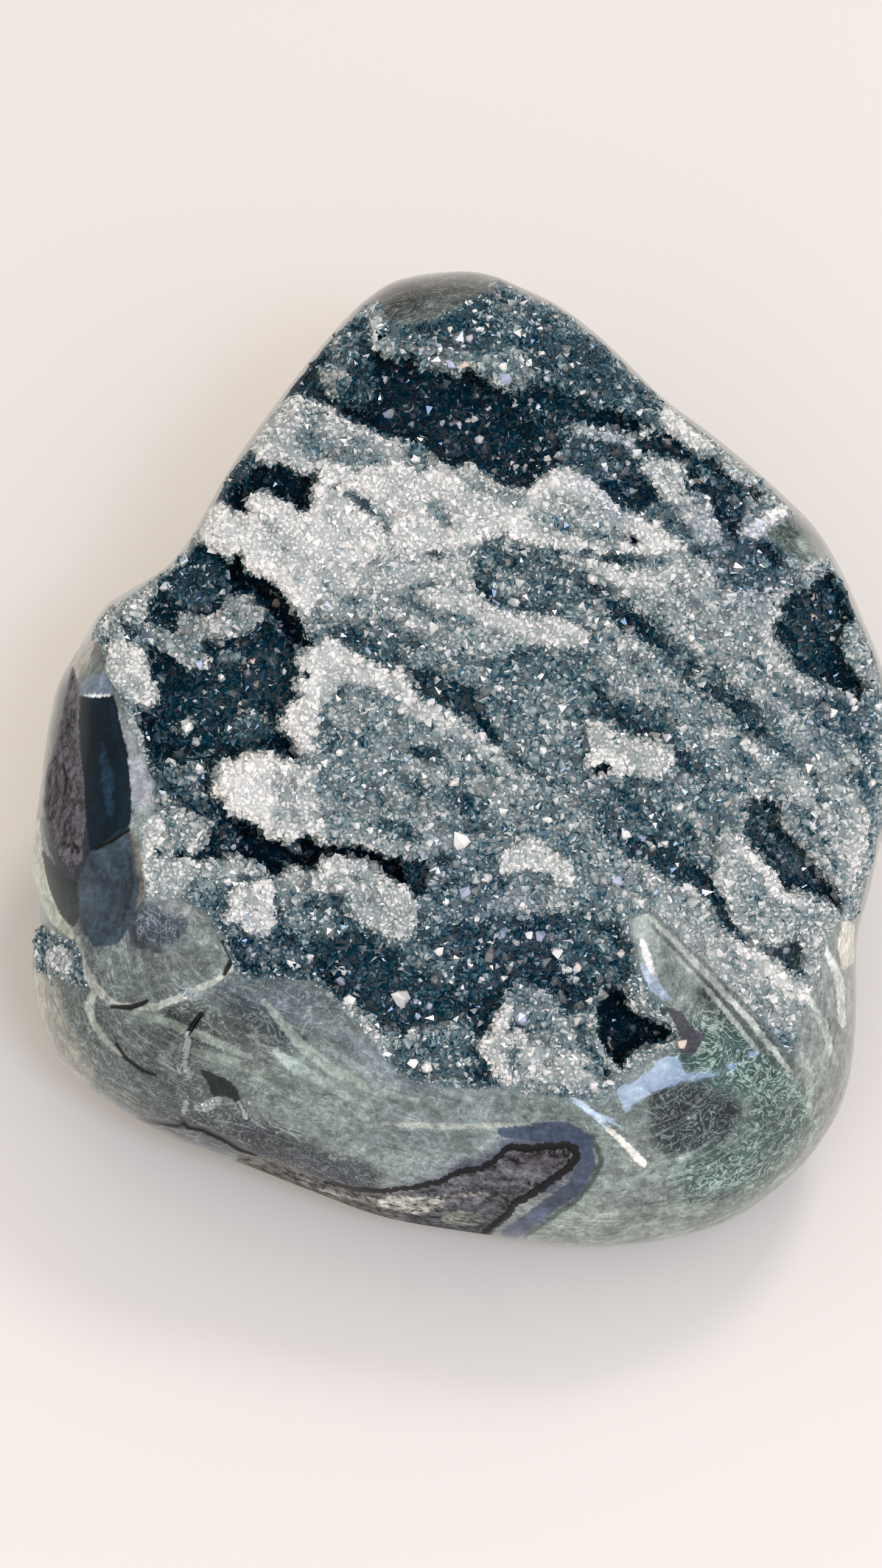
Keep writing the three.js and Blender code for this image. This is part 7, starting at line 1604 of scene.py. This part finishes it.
    # Glassy where it is polished, rough and pitted where it is matrix
    rough = add_node(tree, RANGE, {"Value": values["dull"], "To Min": 0.12, "To Max": 0.65})
    tree.links.new(rough, shader.inputs["Roughness"])
    waves = add_node(tree, NOISE, {"Vector": place, "Scale": 0.6, "Detail": 4.0})
    polish = add_node(tree, "ShaderNodeBump", {"Height": waves, "Strength": 0.1, "Distance": 0.0003})
    rock = add_node(tree, "ShaderNodeBump", {
        "Height": pits, "Strength": values["dull"], "Distance": 0.0006, "Normal": polish})
    tree.links.new(rock, shader.inputs["Normal"])
    return material


# Setting

def camera():
    data = bpy.data.cameras.new("camera")
    data.sensor_width = EYE_SENSOR
    data.lens = EYE_LENS
    data.clip_end = 20.0
    eye = bpy.data.objects.new("camera", data)
    bpy.context.collection.objects.link(eye)
    sight = Vector((0, -LEAN, RISE))
    eye.location = Vector((-SHIFT_X, -SHIFT_Y, REST_DEPTH)) * MM + sight * EYE_DISTANCE * MM
    eye.rotation_euler = sight.to_track_quat("Z", "Y").to_euler()
    bpy.context.scene.camera = eye


def board():
    """A plain floor of matt painted board."""
    bm = bmesh.new()
    bmesh.ops.create_grid(bm, x_segments=2, y_segments=2, size=FLOOR_HALF_WIDTH)
    mesh = bpy.data.meshes.new("floor")
    bm.to_mesh(mesh)
    bm.free()
    floor = bpy.data.objects.new("floor", mesh)
    bpy.context.collection.objects.link(floor)
    mesh.materials.append(new_material("pale_board", Base_Color=colour(FLOOR_COLOUR), Roughness=0.8)[0])


def studio():
    """Soft light from the room and from the lamps, which all point at the stone."""
    room = bpy.data.worlds.new("studio")
    room.use_nodes = True
    background = room.node_tree.nodes["Background"]
    background.inputs["Color"].default_value = colour(ROOM_COLOUR)
    background.inputs["Strength"].default_value = ROOM_LIGHT
    bpy.context.scene.world = room
    bpy.context.scene.view_settings.view_transform = "Standard"
    for name, (place, size, power, code) in LAMPS.items():
        data = bpy.data.lights.new(name, "AREA")
        data.shape = "RECTANGLE"
        data.size, data.size_y = size
        data.energy = power
        data.color = colour(code)[:3]
        lamp = bpy.data.objects.new(name, data)
        lamp.location = place
        lamp.rotation_euler = (Vector(place) - Vector(LAMPS_AIM)).to_track_quat("Z", "Y").to_euler()
        bpy.context.collection.objects.link(lamp)


camera()
board()
studio()

# The stone, with its second finish on the bed under the crystals
stone = show(stone_mesh(), polished_chalcedony())
stone.data.materials.append(bed_material())
skin_edge = np.empty(len(stone.data.vertices), np.float32)
stone.data.attributes["edge"].data.foreach_get("value", skin_edge)
for polygon in stone.data.polygons:
    polygon.material_index = int(sum(skin_edge[i] for i in polygon.vertices) < 0)
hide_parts("agate")

# The small crystals, in pieces from left to right
druse = milky_quartz()
feet = crystal_feet(CRYSTAL_PITCH)
tone = sample("tone", *feet)
tint = sample("tint", *feet)
edge = sample("edge", *feet)
bounds = np.linspace(0, len(tone), DRUSE_PIECES + 1).astype(int)
for number, (start, end) in enumerate(zip(bounds, bounds[1:]), 1):
    part = slice(start, end)
    radius = radii(SMALL_RADIUS, 0.3, 0.2, 0.9, end - start)
    radius = radius * lerp(0.6, 1, smooth(-edge[part] / 0.8)) * lerp(1.0, 0.88, tone[part])
    name = f"druse_quartz_{number}"
    piece = grow(name, druse, SMALL_HABIT, feet[:, part], radius, tone[part], tint[part])
    if number == 1:
        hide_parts("druzy_crust")

# Bright points, painted light as glints: a few scattered ones away from the white shelves, and those that
# stand out
chosen = scattered(feet, BRIGHT_SHARE, 0.75, 0.5, 0.8)
count = chosen.sum()
known = np.array(PAINTED_WHITE_GLINTS + PAINTED_BLUE_GLINTS + CREAM_QUARTZ_AND_PAINTED_GLINTS)
glint_tints = np.repeat([0.0, -1.0, 0.7], [len(PAINTED_WHITE_GLINTS), len(PAINTED_BLUE_GLINTS), len(CREAM_QUARTZ_AND_PAINTED_GLINTS)])
radius = radii(BRIGHT_RADIUS, 0.35, 0.22, 0.9, count)
painted_glint_tones = dice.uniform(0.6, 0.95, count)
bright_tints = dice.normal(-0.1, 0.3, count)
grow("glint_painted_quartz_points", druse, BRIGHT_HABIT,
     np.concatenate([feet[:, chosen], known[:, :2].T], 1),
     np.concatenate([radius, 0.85 * known[:, 2]]),
     np.concatenate([painted_glint_tones, np.full(len(known), 0.93)]),
     np.concatenate([bright_tints, glint_tints]))

# Clear points
chosen = scattered(feet, CLEAR_SHARE, 0.85, 0.4, 0.7)
radius = radii(CLEAR_RADIUS, 0.25, 0.35, 1.0, chosen.sum())
grow("clear_quartz_points", clear_quartz(), CLEAR_HABIT,
     feet[:, chosen], radius, tone[chosen], tint[chosen])
